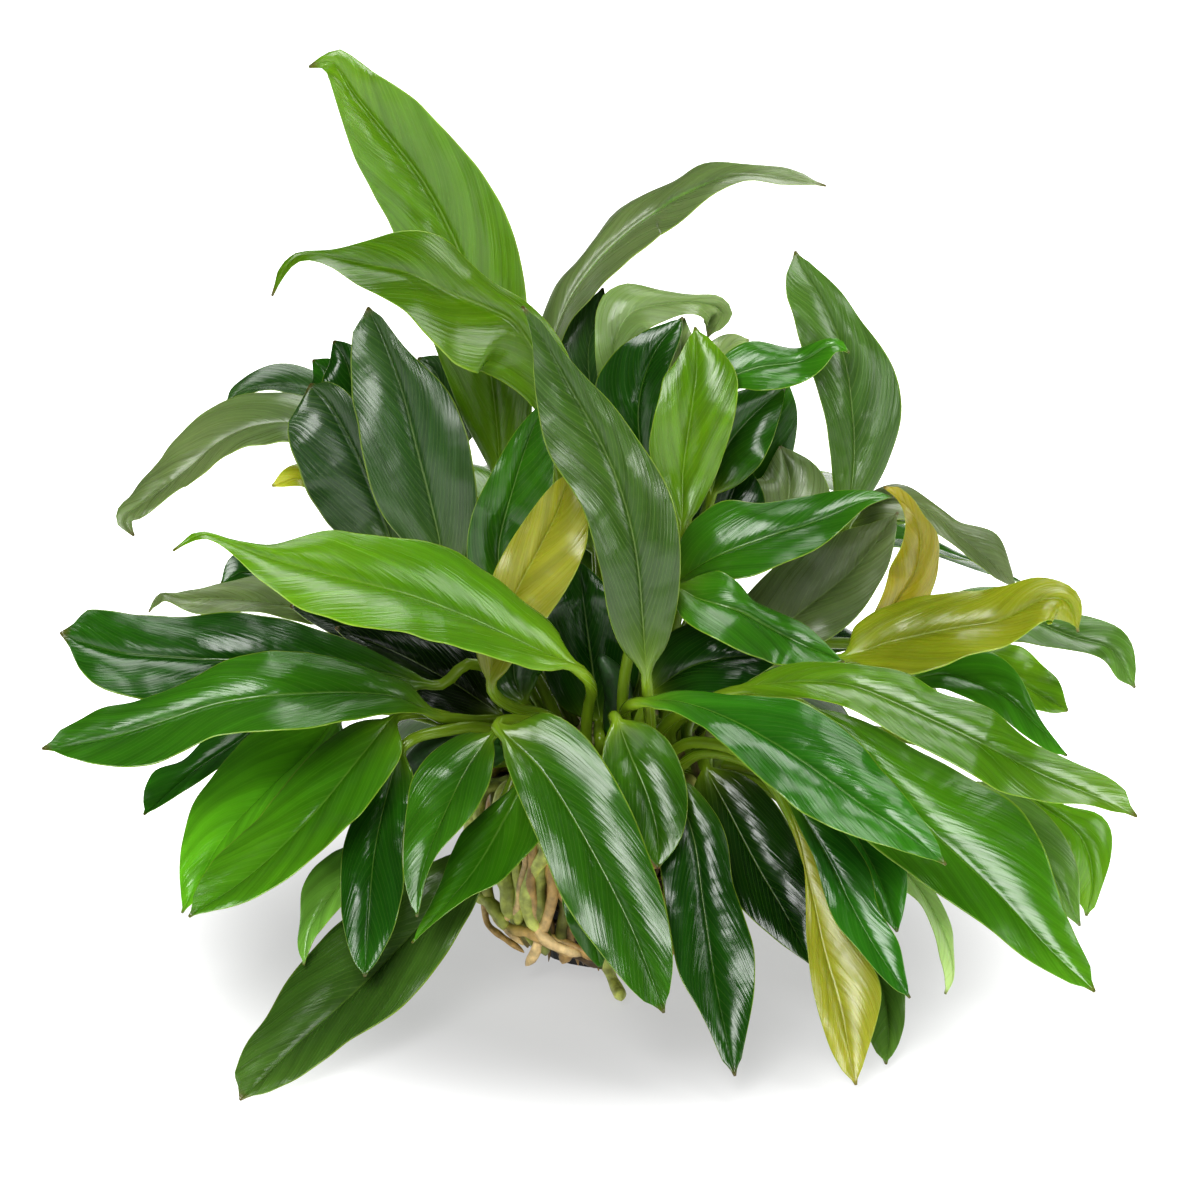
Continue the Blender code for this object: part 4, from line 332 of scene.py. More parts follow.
    Leaf("pale_behind", "pale", (702, 440), ((692, 390), (681, 350)), (684, 318), (.026, .034), .02,
         (-15, 20), shoot="shoot_top_mid"),
    Leaf("back_curl", "pale", (702, 402), ((715, 362), (732, 344)), (749, 340), (.032, .036), .014,
         (10, 40), shoot="shoot_top_mid"),
    Leaf("back_left_c", "grey", (456, 452), ((446, 400), (434, 370)), (418, 358), (.066, .086), .026,
         (-10, 35)),
    Leaf("back_left_b", "dark", (362, 432), ((353, 390), (344, 358)), (334, 341), (.07, .09), .024,
         (-15, 25), shoot="shoot_left_behind"),
    Leaf("back_left_a", "dark", (345, 442), ((335, 400), (325, 372)), (313, 360), (.072, .106), .024,
         (-15, 25), shoot="shoot_left_behind"),
    Leaf("far_left_behind", "grey", (350, 422), ((320, 396), (290, 385), (262, 385), (240, 391)),
         (227, 403), (.06, .054), .022, (-10, 65), shoot="shoot_left_behind"),
    Leaf("yellow_tip_left", "yellow", (360, 512), ((330, 488), (300, 477)), (272, 486), (.05, .038), .018,
         (-10, 55), shoot="shoot_left_behind"),
    Leaf("left_bump", "dark", (300, 592), ((266, 574), (242, 571)), (221, 584), (.05, .042), .02, (-10, 50),
         shoot="shoot_left_behind"),
    Leaf("right_strip_back", "lime", (890, 522), ((918, 512), (938, 526)), (953, 541), (.023, .026), .012,
         (25, 50), shoot="shoot_right_far"),
]

# The two margins of the leaves that the front view shows, in its pixels, from the neck to the tip.
MARGINS = {
    "top_tall": (
        ((491, 475), (463, 422), (440, 359), (412, 285), (390, 225), (375, 202), (364, 177), (353, 161),
         (344, 127), (335, 93), (326, 66), (317, 56)),
        ((528, 470), (533, 406), (530, 345), (526, 302), (523, 274), (516, 243), (507, 215), (491, 187),
         (476, 162), (457, 143), (438, 124), (422, 102), (407, 91), (388, 83), (376, 71), (360, 60),
         (344, 55), (322, 51)),
    ),
    "top_left_arch": (
        ((565, 455), (533, 405), (519, 390), (494, 378), (469, 368), (450, 357), (435, 343), (419, 323),
         (394, 303), (375, 295), (358, 292), (344, 281), (331, 267), (319, 259), (303, 262), (288, 270),
         (277, 281)),
        ((600, 430), (560, 335), (533, 306), (519, 295), (501, 284), (482, 274), (469, 259), (457, 243),
         (438, 234), (419, 231), (394, 232), (375, 238), (363, 246), (344, 248), (322, 252), (303, 252),
         (285, 257), (270, 283)),
    ),
    "top_right_grey": (
        ((534, 400), (540, 330), (545, 300), (557, 278), (576, 256), (595, 234), (612, 206), (642, 193),
         (665, 187), (687, 176), (698, 165), (709, 161), (728, 165), (750, 167), (773, 166), (795, 169),
         (814, 176)),
        ((556, 395), (560, 337), (573, 321), (592, 299), (610, 281), (635, 256), (657, 237), (689, 212),
         (701, 199), (717, 190), (732, 182), (750, 178), (764, 180), (773, 189), (788, 189), (806, 185)),
    ),
    "folded_top": (
        ((605, 430), (599, 380), (596, 340), (596, 300), (609, 283), (631, 281), (654, 286), (676, 292),
         (698, 295), (728, 294), (733, 318), (722, 330)),
        ((650, 430), (634, 385), (627, 355), (635, 338), (657, 324), (683, 315), (702, 316), (706, 325)),
    ),
    "tall_left_dark": (
        ((418, 560), (384, 520), (372, 494), (366, 469), (360, 444), (358, 422), (350, 400), (351, 390),
         (350, 368), (352, 331), (359, 312)),
        ((470, 555), (477, 520), (478, 494), (474, 469), (469, 440), (460, 415), (450, 393), (438, 378),
         (419, 362), (403, 346), (388, 325), (376, 309)),
    ),
    "left_upright_dark": (
        ((372, 562), (330, 530), (310, 500), (299, 469), (289, 447), (286, 428), (288, 400), (294, 387),
         (303, 383)),
        ((410, 545), (395, 500), (378, 460), (365, 425), (355, 400), (344, 388), (328, 380)),
    ),
    "bright_mid": (
        ((670, 520), (655, 480), (648, 445), (655, 411), (661, 393), (663, 374), (674, 366), (681, 351)),
        ((687, 527), (702, 505), (719, 471), (728, 441), (736, 411), (738, 393), (739, 374), (735, 366),
         (721, 350), (709, 337)),
    ),
    "tall_right": (
        ((838, 520), (834, 486), (829, 449), (823, 411), (814, 378), (799, 337), (793, 310), (785, 299),
         (783, 284), (788, 266)),
        ((862, 512), (887, 471), (896, 445), (902, 419), (901, 396), (896, 374), (889, 360), (877, 340),
         (862, 322), (848, 297), (833, 281), (814, 266), (801, 254)),
    ),
    "right_arch_small": (
        ((700, 410), (708, 378), (722, 357), (739, 346), (754, 341), (777, 344), (799, 346), (818, 340),
         (833, 338), (845, 342)),
        ((722, 418), (730, 394), (739, 388), (758, 393), (777, 389), (799, 381), (814, 374), (829, 361),
         (838, 350)),
    ),
    "right_mid_long": (
        ((672, 560), (681, 531), (698, 516), (717, 503), (732, 500), (754, 503), (777, 500), (799, 494),
         (829, 490), (859, 491), (881, 492)),
        ((681, 586), (702, 580), (728, 581), (747, 579), (765, 570), (792, 557), (814, 549), (825, 542),
         (848, 525), (866, 508), (881, 501)),
    ),
    "right_glossy_dark": (
        ((720, 630), (740, 600), (754, 585), (777, 564), (799, 553), (825, 540), (844, 529), (866, 525),
         (885, 519)),
        ((760, 662), (800, 655), (833, 636), (851, 622), (866, 606), (877, 587), (889, 568), (896, 538)),
    ),
    "right_small_over": (
        ((680, 583), (698, 572), (721, 572), (739, 583), (754, 598), (777, 609), (799, 620), (821, 639),
         (836, 654)),
        ((678, 613), (698, 632), (721, 643), (747, 654), (777, 662), (806, 664), (829, 665)),
    ),
    "right_yellowgreen": (
        ((836, 643), (859, 624), (885, 607), (911, 598), (945, 590), (982, 587), (1008, 585), (1030, 579),
         (1053, 579), (1075, 590), (1083, 604), (1081, 622)),
        ((851, 664), (877, 671), (911, 673), (937, 665), (963, 656), (986, 650), (1004, 648), (1027, 635),
         (1049, 620), (1066, 613), (1074, 620)),
    ),
    "right_yellow_up": (
        ((868, 625), (877, 604), (885, 587), (894, 564), (902, 546), (905, 520), (900, 501), (890, 492)),
        ((890, 650), (925, 610), (939, 579), (941, 553), (939, 531), (922, 516), (915, 501), (903, 489),
         (892, 484)),
    ),
    "right_far": (
        ((925, 612), (965, 588), (1010, 584), (1050, 600), (1072, 614), (1090, 617), (1109, 624),
         (1128, 635), (1133, 650), (1137, 673)),
        ((925, 650), (975, 640), (1023, 639), (1042, 646), (1068, 652), (1090, 654), (1109, 665),
         (1116, 680)),
    ),
    "right_back_arch": (
        ((860, 500), (889, 482), (907, 484), (922, 490), (941, 508), (960, 523), (982, 529), (997, 534),
         (1008, 553), (1012, 564)),
        ((862, 530), (895, 520), (920, 520), (937, 530), (956, 545), (974, 564), (993, 579), (1008, 585)),
    ),
    "right_dark_fold": (
        ((905, 668), (929, 660), (963, 652), (982, 650), (1001, 657), (1019, 672), (1030, 695), (1048, 730)),
        ((912, 690), (945, 690), (975, 700), (999, 712), (1021, 735), (1050, 755)),
    ),
    "front_centre": (
        ((498, 737), (506, 766), (524, 810), (542, 849), (559, 893), (581, 928), (612, 968), (638, 999)),
        ((506, 721), (533, 709), (559, 715), (586, 735), (612, 774), (634, 814), (649, 854), (663, 893),
         (671, 933), (674, 968), (669, 994)),
    ),
    "front_left_small": (
        ((485, 728), (460, 732), (431, 753), (410, 782), (403, 816), (403, 850), (405, 883), (413, 910)),
        ((496, 736), (496, 757), (489, 782), (473, 812), (456, 833), (435, 858), (424, 883), (420, 908)),
    ),
    "front_left_under": (
        ((515, 785), (488, 806), (466, 828), (450, 855), (442, 875), (432, 898), (420, 924)),
        ((545, 790), (548, 820), (536, 843), (515, 866), (498, 887), (473, 896), (447, 912), (430, 926)),
    ),
    "low_mid_glossy": (
        ((655, 800), (657, 840), (661, 871), (669, 924), (678, 977), (700, 1012), (713, 1038), (724, 1065)),
        ((678, 775), (696, 788), (718, 814), (729, 840), (732, 880), (744, 915), (755, 950), (755, 994),
         (746, 1038), (740, 1065)),
    ),
    "right_front_glossy": (
        ((641, 697), (669, 689), (700, 688), (726, 695), (762, 697), (797, 700), (823, 713), (845, 726),
         (867, 748), (894, 779), (920, 814), (940, 847)),
        ((645, 710), (669, 708), (700, 726), (731, 752), (762, 779), (797, 805), (832, 827), (867, 840),
         (902, 853)),
    ),
    "right_bright_long": (
        ((736, 686), (748, 677), (779, 664), (806, 662), (854, 666), (889, 669), (916, 675), (942, 695),
         (973, 697), (999, 708), (1021, 735), (1052, 752), (1078, 766), (1109, 777), (1127, 792),
         (1135, 808)),
        ((744, 697), (779, 697), (814, 700), (845, 708), (876, 722), (902, 737), (929, 750), (960, 761),
         (986, 783), (1012, 796), (1048, 803), (1087, 807), (1114, 812)),
    ),
    "right_big": (
        ((815, 705), (850, 715), (885, 728), (915, 747), (945, 760), (986, 787), (1012, 798), (1026, 814),
         (1043, 845), (1056, 880), (1065, 911), (1083, 946), (1094, 968)),
        ((805, 740), (830, 790), (862, 836), (889, 854), (920, 880), (955, 906), (986, 928), (1021, 955),
         (1056, 975), (1083, 988)),
    ),
    "low_right_dark": (
        ((788, 805), (801, 832), (814, 858), (825, 893), (836, 924), (854, 946), (876, 972), (894, 990)),
        ((814, 808), (841, 827), (858, 845), (872, 871), (876, 906), (889, 928), (900, 942), (905, 968)),
    ),
    "yellow_low": (
        ((792, 822), (804, 858), (806, 902), (806, 942), (810, 977), (819, 1016), (832, 1052), (847, 1078)),
        ((812, 830), (828, 870), (842, 910), (862, 950), (876, 972), (884, 986), (880, 1012), (872, 1038),
         (863, 1065)),
    ),
    "low_right_back": (
        ((842, 925), (846, 965), (858, 1005), (871, 1043)),
        ((880, 910), (900, 950), (905, 986), (906, 1021), (898, 1047)),
    ),
    "right_bright_low": (
        ((1000, 800), (1030, 823), (1056, 845), (1074, 876), (1077, 898)),
        ((1021, 785), (1052, 800), (1083, 808), (1105, 812), (1116, 832), (1111, 858), (1100, 889),
         (1094, 911)),
    ),
    "grey_thin": (
        ((872, 848), (889, 876), (920, 906), (938, 942), (945, 968)),
        ((885, 838), (898, 862), (924, 873), (942, 906), (953, 933), (955, 964), (949, 986)),
    ),
    "left_bright": (
        ((575, 655), (560, 627), (531, 602), (506, 581), (477, 560), (443, 543), (418, 539), (389, 539),
         (359, 534), (334, 528), (305, 532), (284, 542), (258, 543), (229, 539), (212, 532), (195, 530),
         (181, 540)),
        ((560, 671), (527, 665), (494, 656), (460, 648), (426, 640), (397, 631), (359, 625), (326, 614),
         (292, 602), (267, 581), (242, 560), (221, 543), (204, 537), (187, 546)),
    ),
    "left_blunt": (
        ((435, 680), (418, 672), (389, 656), (351, 641), (309, 627), (275, 618), (242, 610), (216, 610),
         (187, 614), (158, 614), (124, 612), (99, 608), (74, 610), (62, 622), (60, 638)),
        ((420, 692), (385, 692), (330, 694), (270, 697), (200, 699), (160, 698), (124, 696), (103, 684),
         (93, 685), (82, 671), (71, 656)),
    ),
    "left_long": (
        ((439, 707), (426, 690), (410, 681), (389, 671), (359, 662), (326, 654), (292, 651), (258, 653),
         (229, 658), (200, 673), (174, 686), (145, 696), (116, 700), (82, 715), (53, 736)),
        ((418, 712), (389, 711), (359, 716), (334, 722), (309, 729), (275, 732), (237, 733), (208, 738),
         (183, 749), (158, 762), (124, 765), (90, 762), (57, 753)),
    ),
    "left_glossy": (
        ((385, 715), (351, 719), (334, 732), (313, 753), (288, 782), (258, 816), (229, 841), (212, 858),
         (195, 892)),
        ((405, 735), (402, 755), (389, 774), (359, 812), (330, 845), (300, 871), (275, 887), (250, 900),
         (216, 908)),
    ),
    "left_mid": (
        ((325, 712), (290, 716), (250, 732), (237, 742), (216, 766), (200, 787), (189, 812), (183, 841),
         (180, 879)),
        ((345, 735), (318, 765), (285, 800), (252, 838), (222, 870), (198, 898)),
    ),
    "left_low_dark": (
        ((388, 755), (372, 790), (351, 824), (342, 850), (339, 879), (340, 913), (349, 950), (358, 970)),
        ((412, 760), (416, 790), (409, 805), (402, 830), (402, 858), (405, 883), (397, 925), (376, 963)),
    ),
    "left_curl_low": (
        ((356, 838), (334, 850), (313, 871), (300, 892), (298, 920), (296, 945)),
        ((375, 850), (366, 880), (342, 908), (328, 920), (314, 936)),
    ),
    "left_grey_under": (
        ((325, 585), (290, 572), (250, 574), (225, 583), (200, 590), (170, 593), (160, 594), (151, 602)),
        ((320, 624), (290, 618), (250, 613), (208, 612), (191, 611), (181, 606), (170, 600), (162, 603)),
    ),
    "left_dark_tip": (
        ((262, 712), (230, 722), (200, 742), (179, 759), (153, 770), (144, 791)),
        ((282, 722), (268, 735), (242, 752), (225, 765), (200, 780), (179, 791), (158, 808)),
    ),
    "floor_left": (
        ((450, 850), (400, 878), (351, 913), (326, 934), (300, 959), (284, 980), (267, 1013), (246, 1043),
         (235, 1068), (233, 1085)),
        ((492, 870), (479, 894), (473, 908), (452, 942), (431, 971), (405, 1005), (376, 1026), (342, 1047),
         (317, 1064), (292, 1081), (267, 1090)),
    ),
    "centre_big": (
        ((639, 678), (625, 658), (614, 636), (606, 608), (603, 580), (597, 558), (590, 530), (583, 507),
         (572, 490), (561, 474), (550, 460), (541, 434), (537, 404), (533, 378), (533, 350), (531, 325),
         (524, 314)),
        ((655, 676), (669, 642), (676, 616), (680, 586), (681, 552), (678, 518), (670, 490), (656, 465),
         (642, 446), (625, 420), (608, 398), (589, 381), (572, 362), (556, 342), (540, 318), (526, 305)),
    ),
    "yellow_centre": (
        ((484, 678), (475, 655), (476, 630), (484, 600), (496, 566), (510, 541), (527, 516), (544, 493),
         (561, 476)),
        ((502, 681), (513, 661), (532, 638), (550, 614), (564, 594), (578, 569), (587, 546), (589, 527),
         (586, 500), (580, 478)),
    ),
    "inner_left_green": (
        ((486, 600), (468, 575), (466, 555), (468, 532), (474, 507), (485, 485), (499, 457), (516, 429),
         (536, 408)),
        ((512, 600), (528, 565), (542, 530), (553, 495), (555, 462), (552, 430)),
    ),
    "dark_mid_up": (
        ((635, 490), (612, 455), (598, 420), (592, 383), (600, 370), (620, 347), (650, 328)),
        ((668, 470), (668, 430), (664, 395), (672, 360), (681, 335)),
    ),
}

# The unseen side, which droops to the back as the front does.
BACK_LEAVES = [
    BackLeaf("back_low_left", "dark", -122, (.075, .09), ((.105, .092),), (.165, .03), .038,
             "shoot_back_low_left"),
    BackLeaf("back_mid_left", "mid", -134, (.07, .115), ((.105, .132),), (.172, .092), .04,
             "shoot_back_low_left"),
    BackLeaf("back_floor_left", "dark", -146, (.072, .076), ((.098, .066),), (.15, .012), .036,
             "shoot_back_low_left"),
    BackLeaf("back_low_mid", "dark", -168, (.074, .09), ((.104, .088),), (.16, .026), .038,
             "shoot_back_mid_left"),
    BackLeaf("back_arch_mid", "bright", -156, (.066, .124), ((.098, .15),), (.166, .122), .04,
             "shoot_back_mid_left"),
    BackLeaf("back_high_mid", "mid", -176, (.06, .128), ((.09, .154),), (.146, .15), .038,
             "shoot_back_mid_left"),
    BackLeaf("back_floor_mid", "mid", 176, (.072, .078), ((.096, .066),), (.146, .01), .036,
             "shoot_back_mid"),
    BackLeaf("back_low_middle", "dark", 188, (.068, .112), ((.1, .124),), (.168, .084), .04,
             "shoot_back_mid"),
    BackLeaf("back_low_right", "dark", 164, (.07, .108), ((.102, .12),), (.17, .078), .038,
             "shoot_back_mid"),
    BackLeaf("back_drop_right", "mid", 152, (.074, .088), ((.102, .084),), (.156, .022), .038,
             "shoot_back_right"),
    BackLeaf("back_arch_right", "bright", 142, (.066, .126), ((.098, .152),), (.164, .126), .038,
             "shoot_back_right"),
    BackLeaf("back_high_right", "dark", 160, (.058, .13), ((.088, .158),), (.142, .158), .036,
             "shoot_back_right"),
    BackLeaf("back_side_right", "dark", 122, (.074, .094), ((.106, .096),), (.164, .04), .038,
             "shoot_back_side"),
    BackLeaf("back_side_high", "mid", 112, (.066, .122), ((.1, .142),), (.166, .116), .038,
             "shoot_back_side"),
    BackLeaf("back_side_low", "dark", 134, (.072, .08), ((.098, .07),), (.15, .014), .036,
             "shoot_back_side"),
]


def ray_of(pixels):
    """The view's rays through pixels, each as the step that it takes for a metre of depth."""
    pixels = np.asarray(pixels, float)
    across = (pixels[..., 0:1] - PICTURE_MIDDLE) / VIEW_FOCAL_PIXELS
    rise = (PICTURE_MIDDLE - pixels[..., 1:2]) / VIEW_FOCAL_PIXELS
    return VIEW_FORWARD + across * VIEW_RIGHT + rise * VIEW_UP


def place(pixel, y):
    """The point that is seen at a pixel and lies at this y."""
    ray = ray_of(pixel)
    return EYE + (y - EYE[1]) / ray[1] * ray


def depth_of(points):
    return (points - EYE) @ VIEW_FORWARD


def pixels_of(points):
    offset = points - EYE
    scale = VIEW_FOCAL_PIXELS / (offset @ VIEW_FORWARD)
    across = PICTURE_MIDDLE + scale * (offset @ VIEW_RIGHT)
    down = PICTURE_MIDDLE - scale * (offset @ VIEW_UP)
    return np.stack((across, down), axis=-1)


def around(reach, turn, height):
    """The point at this distance from the pot's axis, this far round it and this high."""
    return np.array((reach * math.cos(turn), reach * math.sin(turn), height))


def unit(vectors):
    return vectors / np.linalg.norm(vectors, axis=-1, keepdims=True)


def lengths_along(points):
    steps = np.linalg.norm(np.diff(points, axis=0), axis=1)
    return np.concatenate(([0.0], np.cumsum(steps)))


def smooth_curve(controls, steps=12):
    """A centripetal Catmull-Rom curve through the controls, and the index of each control's point on it."""
    controls = np.asarray(controls, float)
    ends = (2 * controls[0] - controls[1], 2 * controls[-1] - controls[-2])
    padded = np.vstack((ends[0], controls, ends[1]))
    knots = np.concatenate(([0.0], np.cumsum(np.sqrt(np.linalg.norm(np.diff(padded, axis=0), axis=1)))))
    found = []
    for i in range(len(controls) - 1):
        p = padded[i : i + 4]
        k = knots[i : i + 4]
        t = np.linspace(k[1], k[2], steps, endpoint=False)[:, None]
        a = [((k[j + 1] - t) * p[j] + (t - k[j]) * p[j + 1]) / (k[j + 1] - k[j]) for j in range(3)]
        b = [((k[j + 2] - t) * a[j] + (t - k[j]) * a[j + 1]) / (k[j + 2] - k[j]) for j in range(2)]
        found.append(((k[2] - t) * b[0] + (t - k[1]) * b[1]) / (k[2] - k[1]))
    return np.vstack(found + [controls[-1:]]), [steps * i for i in range(len(controls))]


def read_at(at, stations, rows):
    """Rows that are known at these stations, read in between them."""
    return np.stack([np.interp(at, stations, column) for column in rows.T], axis=-1)


def read_along(points, fractions):
    """The points at these fractions of a polyline's length."""
    lengths = lengths_along(points)
    return read_at(np.asarray(fractions) * lengths[-1], lengths, points)


def soften(rows):
    """Evens out each row but the first and the last with its neighbours, in place."""
    rows[1:-1] = (rows[:-2] + 2 * rows[1:-1] + rows[2:]) / 4


def branch_axes():
    """The rhizome's branches, creeping out from the crown's middle over the pot's rim."""
    rng = random.Random(11)
    axes = []
    for i in range(BRANCH_COUNT):
        azimuth = math.tau * (i + 0.25 + rng.uniform(-0.12, 0.12)) / BRANCH_COUNT
        bend = rng.uniform(-0.35, 0.35)
        points = []
        for step in range(9):
            along = step / 8
            turn = azimuth + bend * along
            radius = 3 * MM + (BRANCH_LENGTH - 3 * MM) * along
            height = BRANCH_INNER_HEIGHT + (BRANCH_OUTER_HEIGHT - BRANCH_INNER_HEIGHT) * along**2
            points.append(around(radius, turn, height))
        axes.append(np.array(points))
    return axes


AXES = branch_axes()
AXIS_POINTS = np.vstack([read_along(axis, np.linspace(0, 1, 25)) for axis in AXES])


def on_rhizome(points, clear):
    """Moves points to the rhizome's skin, or this far off it, with the skin's outward direction there."""
    for _ in range(6):
        apart = points[:, None, :] - AXIS_POINTS[None]
        nearest = apart[np.arange(len(points)), np.linalg.norm(apart, axis=2).argmin(axis=1)]
        away = unit(nearest)
        points = points + away * (BRANCH_RADIUS + clear - np.linalg.norm(nearest, axis=1))[:, None]
    return points, away


def feet_of(necks, sizes):
    """Where the leaves stand on the rhizome: on the way from the crown's middle to each neck, apart."""
    middle = np.array((0.0, 0.0, BRANCH_INNER_HEIGHT))
    outward = unit(necks - middle)
    flat = np.linalg.norm(outward[:, :2], axis=1)
    radius = np.where(outward[:, 2] < 0, 1.0, flat) * (BRANCH_LENGTH + 1 * MM)
    aim = radius[:, None] * outward / flat[:, None]
    aim[:, 2] = BRANCH_INNER_HEIGHT + 2 * BRANCH_RADIUS
    feet, away = on_rhizome(aim, FOOT_GAP)
    wanted = feet.copy()
    needed = sizes[:, None] + sizes[None]
    for _ in range(FEET_ROUNDS):
        apart = feet[:, None] - feet[None]
        distance = np.linalg.norm(apart, axis=2) + np.eye(len(feet))
        short = np.clip(needed - distance, 0, None) * (1 - np.eye(len(feet)))
        push = (apart / distance[..., None] * short[..., None]).sum(axis=1) * 0.35
        moved = feet + push + 0.01 * (wanted - feet)
        moved[:, 2] = np.maximum(moved[:, 2], BRANCH_OUTER_HEIGHT + 1.5 * MM)
        feet, away = on_rhizome(moved, FOOT_GAP)
    return feet, away


def blade_controls(leaf):
    """The points from a leaf's neck to its tip, and the direction that its upper face looks to."""
    if isinstance(leaf, BackLeaf):
        turn = math.radians(leaf.azimuth)
        outward = np.array((math.sin(turn), -math.cos(turn), 0.0))
        path = [outward * radius + UP * height for radius, height in (leaf.neck, *leaf.top, leaf.tip)]
        run = path[-1] - path[0]
        side = np.array((math.cos(turn), math.sin(turn), 0.0))
        looks = unit(np.cross(unit(run), side))
        looks = looks if looks[2] > 0 or abs(looks[2]) < 0.3 and looks @ outward > 0 else -looks
        return np.array(path), looks
    pixels = np.array((leaf.neck, *leaf.midrib, leaf.tip), float)
    along = lengths_along(pixels)
    depths = leaf.y[0] + (leaf.y[1] - leaf.y[0]) * along / along[-1]
    azimuth, elevation = (math.radians(angle) for angle in leaf.looks)
    level = math.cos(elevation)
    looks = np.array((math.sin(azimuth) * level, -math.cos(azimuth) * level, math.sin(elevation)))
    return np.array([place(pixel, y) for pixel, y in zip(pixels, depths)]), looks


def stalk_controls(foot, away, blade, leaf, spread):
    """The petiole's points: it leaves the rhizome square to it and runs into the blade's own direction.

    spread turns a shoot's petioles apart from the start, each to its own neck.
    """
    neck = blade[0]
    first = foot + unit(away + spread * unit(neck - foot)) * STALK_START * MM
    reach = np.linalg.norm(neck - first)
    leaving = unit(away + 0.6 * unit(neck - first)) * reach * 0.9
    arriving = unit(unit(blade[1] - blade[0]) + 0.7 * unit(neck - first)) * reach * 0.8
    on_the_way = [
        between(t, first, leaving, neck, arriving) + 4 * t * (1 - t) * leaf.lift * UP for t in (0.35, 0.7)
    ]
    return np.array([foot, first, *on_the_way])


def between(t, first, leaving, last, arriving):
    """A point on the cubic that leaves the first point and arrives at the last in these directions."""
    start = (2 * t**3 - 3 * t**2 + 1) * first + (t**3 - 2 * t**2 + t) * leaving
    return start + (3 * t**2 - 2 * t**3) * last + (t**3 - t**2) * arriving


def lay_out():
    """Each leaf's midline from foot to tip as laid out in the view, before the leaves are settled clear."""
    leaves = list(LEAVES) + list(BACK_LEAVES)
    blades, looks = zip(*(blade_controls(leaf) for leaf in leaves))
    groups = [leaf.shoot or leaf.name for leaf in leaves]
    names = list(dict.fromkeys(groups))
    members = [[i for i, group in enumerate(groups) if group == name] for name in names]
    necks = np.array([np.mean([blades[i][0] for i in found], axis=0) for found in members])
    sizes = np.array([FOOT_SPACING if len(found) == 1 else SHOOT_RADIUS + 1.2 * MM for found in members])
    feet, away = feet_of(necks, sizes)
    courses = [None] * len(leaves)
    for k, found in enumerate(members):
        for place_in, i in enumerate(found):
            foot = feet[k]
            in_shoot = len(found) > 1
            if in_shoot:
                aside = blades[i][0] - foot
                aside = unit(aside - (aside @ away[k]) * away[k])
                foot = foot + away[k] * SHOOT_HEIGHT * (0.26 + 0.1 * place_in) + aside * 0.9 * MM
            stalk = stalk_controls(foot, away[k], blades[i], leaves[i], 1.2 if in_shoot else 0)
            curve, at = smooth_curve(np.vstack((stalk, blades[i])))
            cut = at[len(stalk)]
            petiole = read_along(curve[: cut + 1], np.linspace(0, 1, PETIOLE_STEPS + 1))
            blade = read_along(curve[cut:], np.linspace(0, 1, BLADE_STEPS + 1))
            courses[i] = np.vstack((petiole, blade[1:]))
    shoots = {name: (feet[k], away[k], members[k]) for k, name in enumerate(names)}
    return leaves, courses, looks, shoots


def frames_of(course, looks):
    """The tangent, side and upward directions at each point of a midline."""
    tangent = unit(np.gradient(course, axis=0))
    up = looks - (tangent @ looks)[:, None] * tangent
    up = unit(up)
    for _ in range(6):
        soften(up)
        up = unit(up - (up * tangent).sum(axis=1, keepdims=True) * tangent)
    return tangent, np.cross(tangent, up), up


def half_widths(along, width, taper):
    """A lance-shaped blade's half-width at fractions of its length. A low taper makes its tip blunt."""
    along = np.clip(along, 0, 1)
    shape = along**BLADE_SHOULDER * (1 - along) ** taper
    widest = BLADE_SHOULDER / (BLADE_SHOULDER + taper)
    most = widest**BLADE_SHOULDER * (1 - widest) ** taper
    return no_thinner(along, 0.5 * width * shape / most)


def no_thinner(along, reach):
    """A half-width, but nowhere less than the stem's or than the thinnest blade's."""
    stem = PETIOLE_RADIUS * np.clip(1 - 4 * along, 0, 1)
    return np.maximum(reach, np.maximum(stem, THINNEST_SIDE))


def reach_to(margin, pixels, steps):
    """How many of its steps each pixel lies from a margin, or infinity where it would miss it."""
    start, run = margin[:-1], np.diff(margin, axis=0)
    gap = start[None] - pixels[:, None]
    step = steps[:, None]
    turned = step[..., 0] * run[:, 1] - step[..., 1] * run[:, 0]
    turned = np.where(np.abs(turned) < 1e-9, 1e-9, turned)
    reach = (gap[..., 0] * run[:, 1] - gap[..., 1] * run[:, 0]) / turned
    along = (gap[..., 0] * step[..., 1] - gap[..., 1] * step[..., 0]) / turned
    return np.where((reach > 0) & (along > -0.02) & (along < 1.02), reach, np.inf).min(axis=1)


def side_widths(leaf, middle, side, up):
    """How far a blade reaches to its left and right at each station: to the margins that the view shows."""
    along = np.linspace(0, 1, len(middle))
    plain = half_widths(along, leaf.width, leaf.taper)
    margins = MARGINS.get(leaf.name)
    if not margins:
        return plain, plain
    fold = math.radians(leaf.fold)
    pixels = pixels_of(middle)
    ends = np.array((pixels[0], pixels[-1]))
    margins = [np.vstack((ends[:1], margin, ends[1:])) for margin in margins]
    found = {}
    for sign in (-1, 1):
        edge = sign * math.cos(fold) * side + 0.65 * math.sin(fold) * up
        steps = pixels_of(middle + MM * edge) - pixels
        reaches = [reach_to(margin, pixels, steps) * MM for margin in margins]
        reach = max(reaches, key=lambda values: np.isfinite(values[3:-3]).sum())
        seen = np.isfinite(reach)
        if seen.sum() < 8:
            found[sign] = plain
            continue
        reach = np.interp(along, along[seen], reach[seen])
        reach = np.minimum(reach, WIDEST_SIDE * leaf.width)
        for _ in range(3):
            soften(reach)
        ends_in = np.clip(np.minimum(along / 0.08, (1 - along) / 0.05), 0, 1)
        found[sign] = no_thinner(along, reach * ends_in)
    return found[-1], found[1]


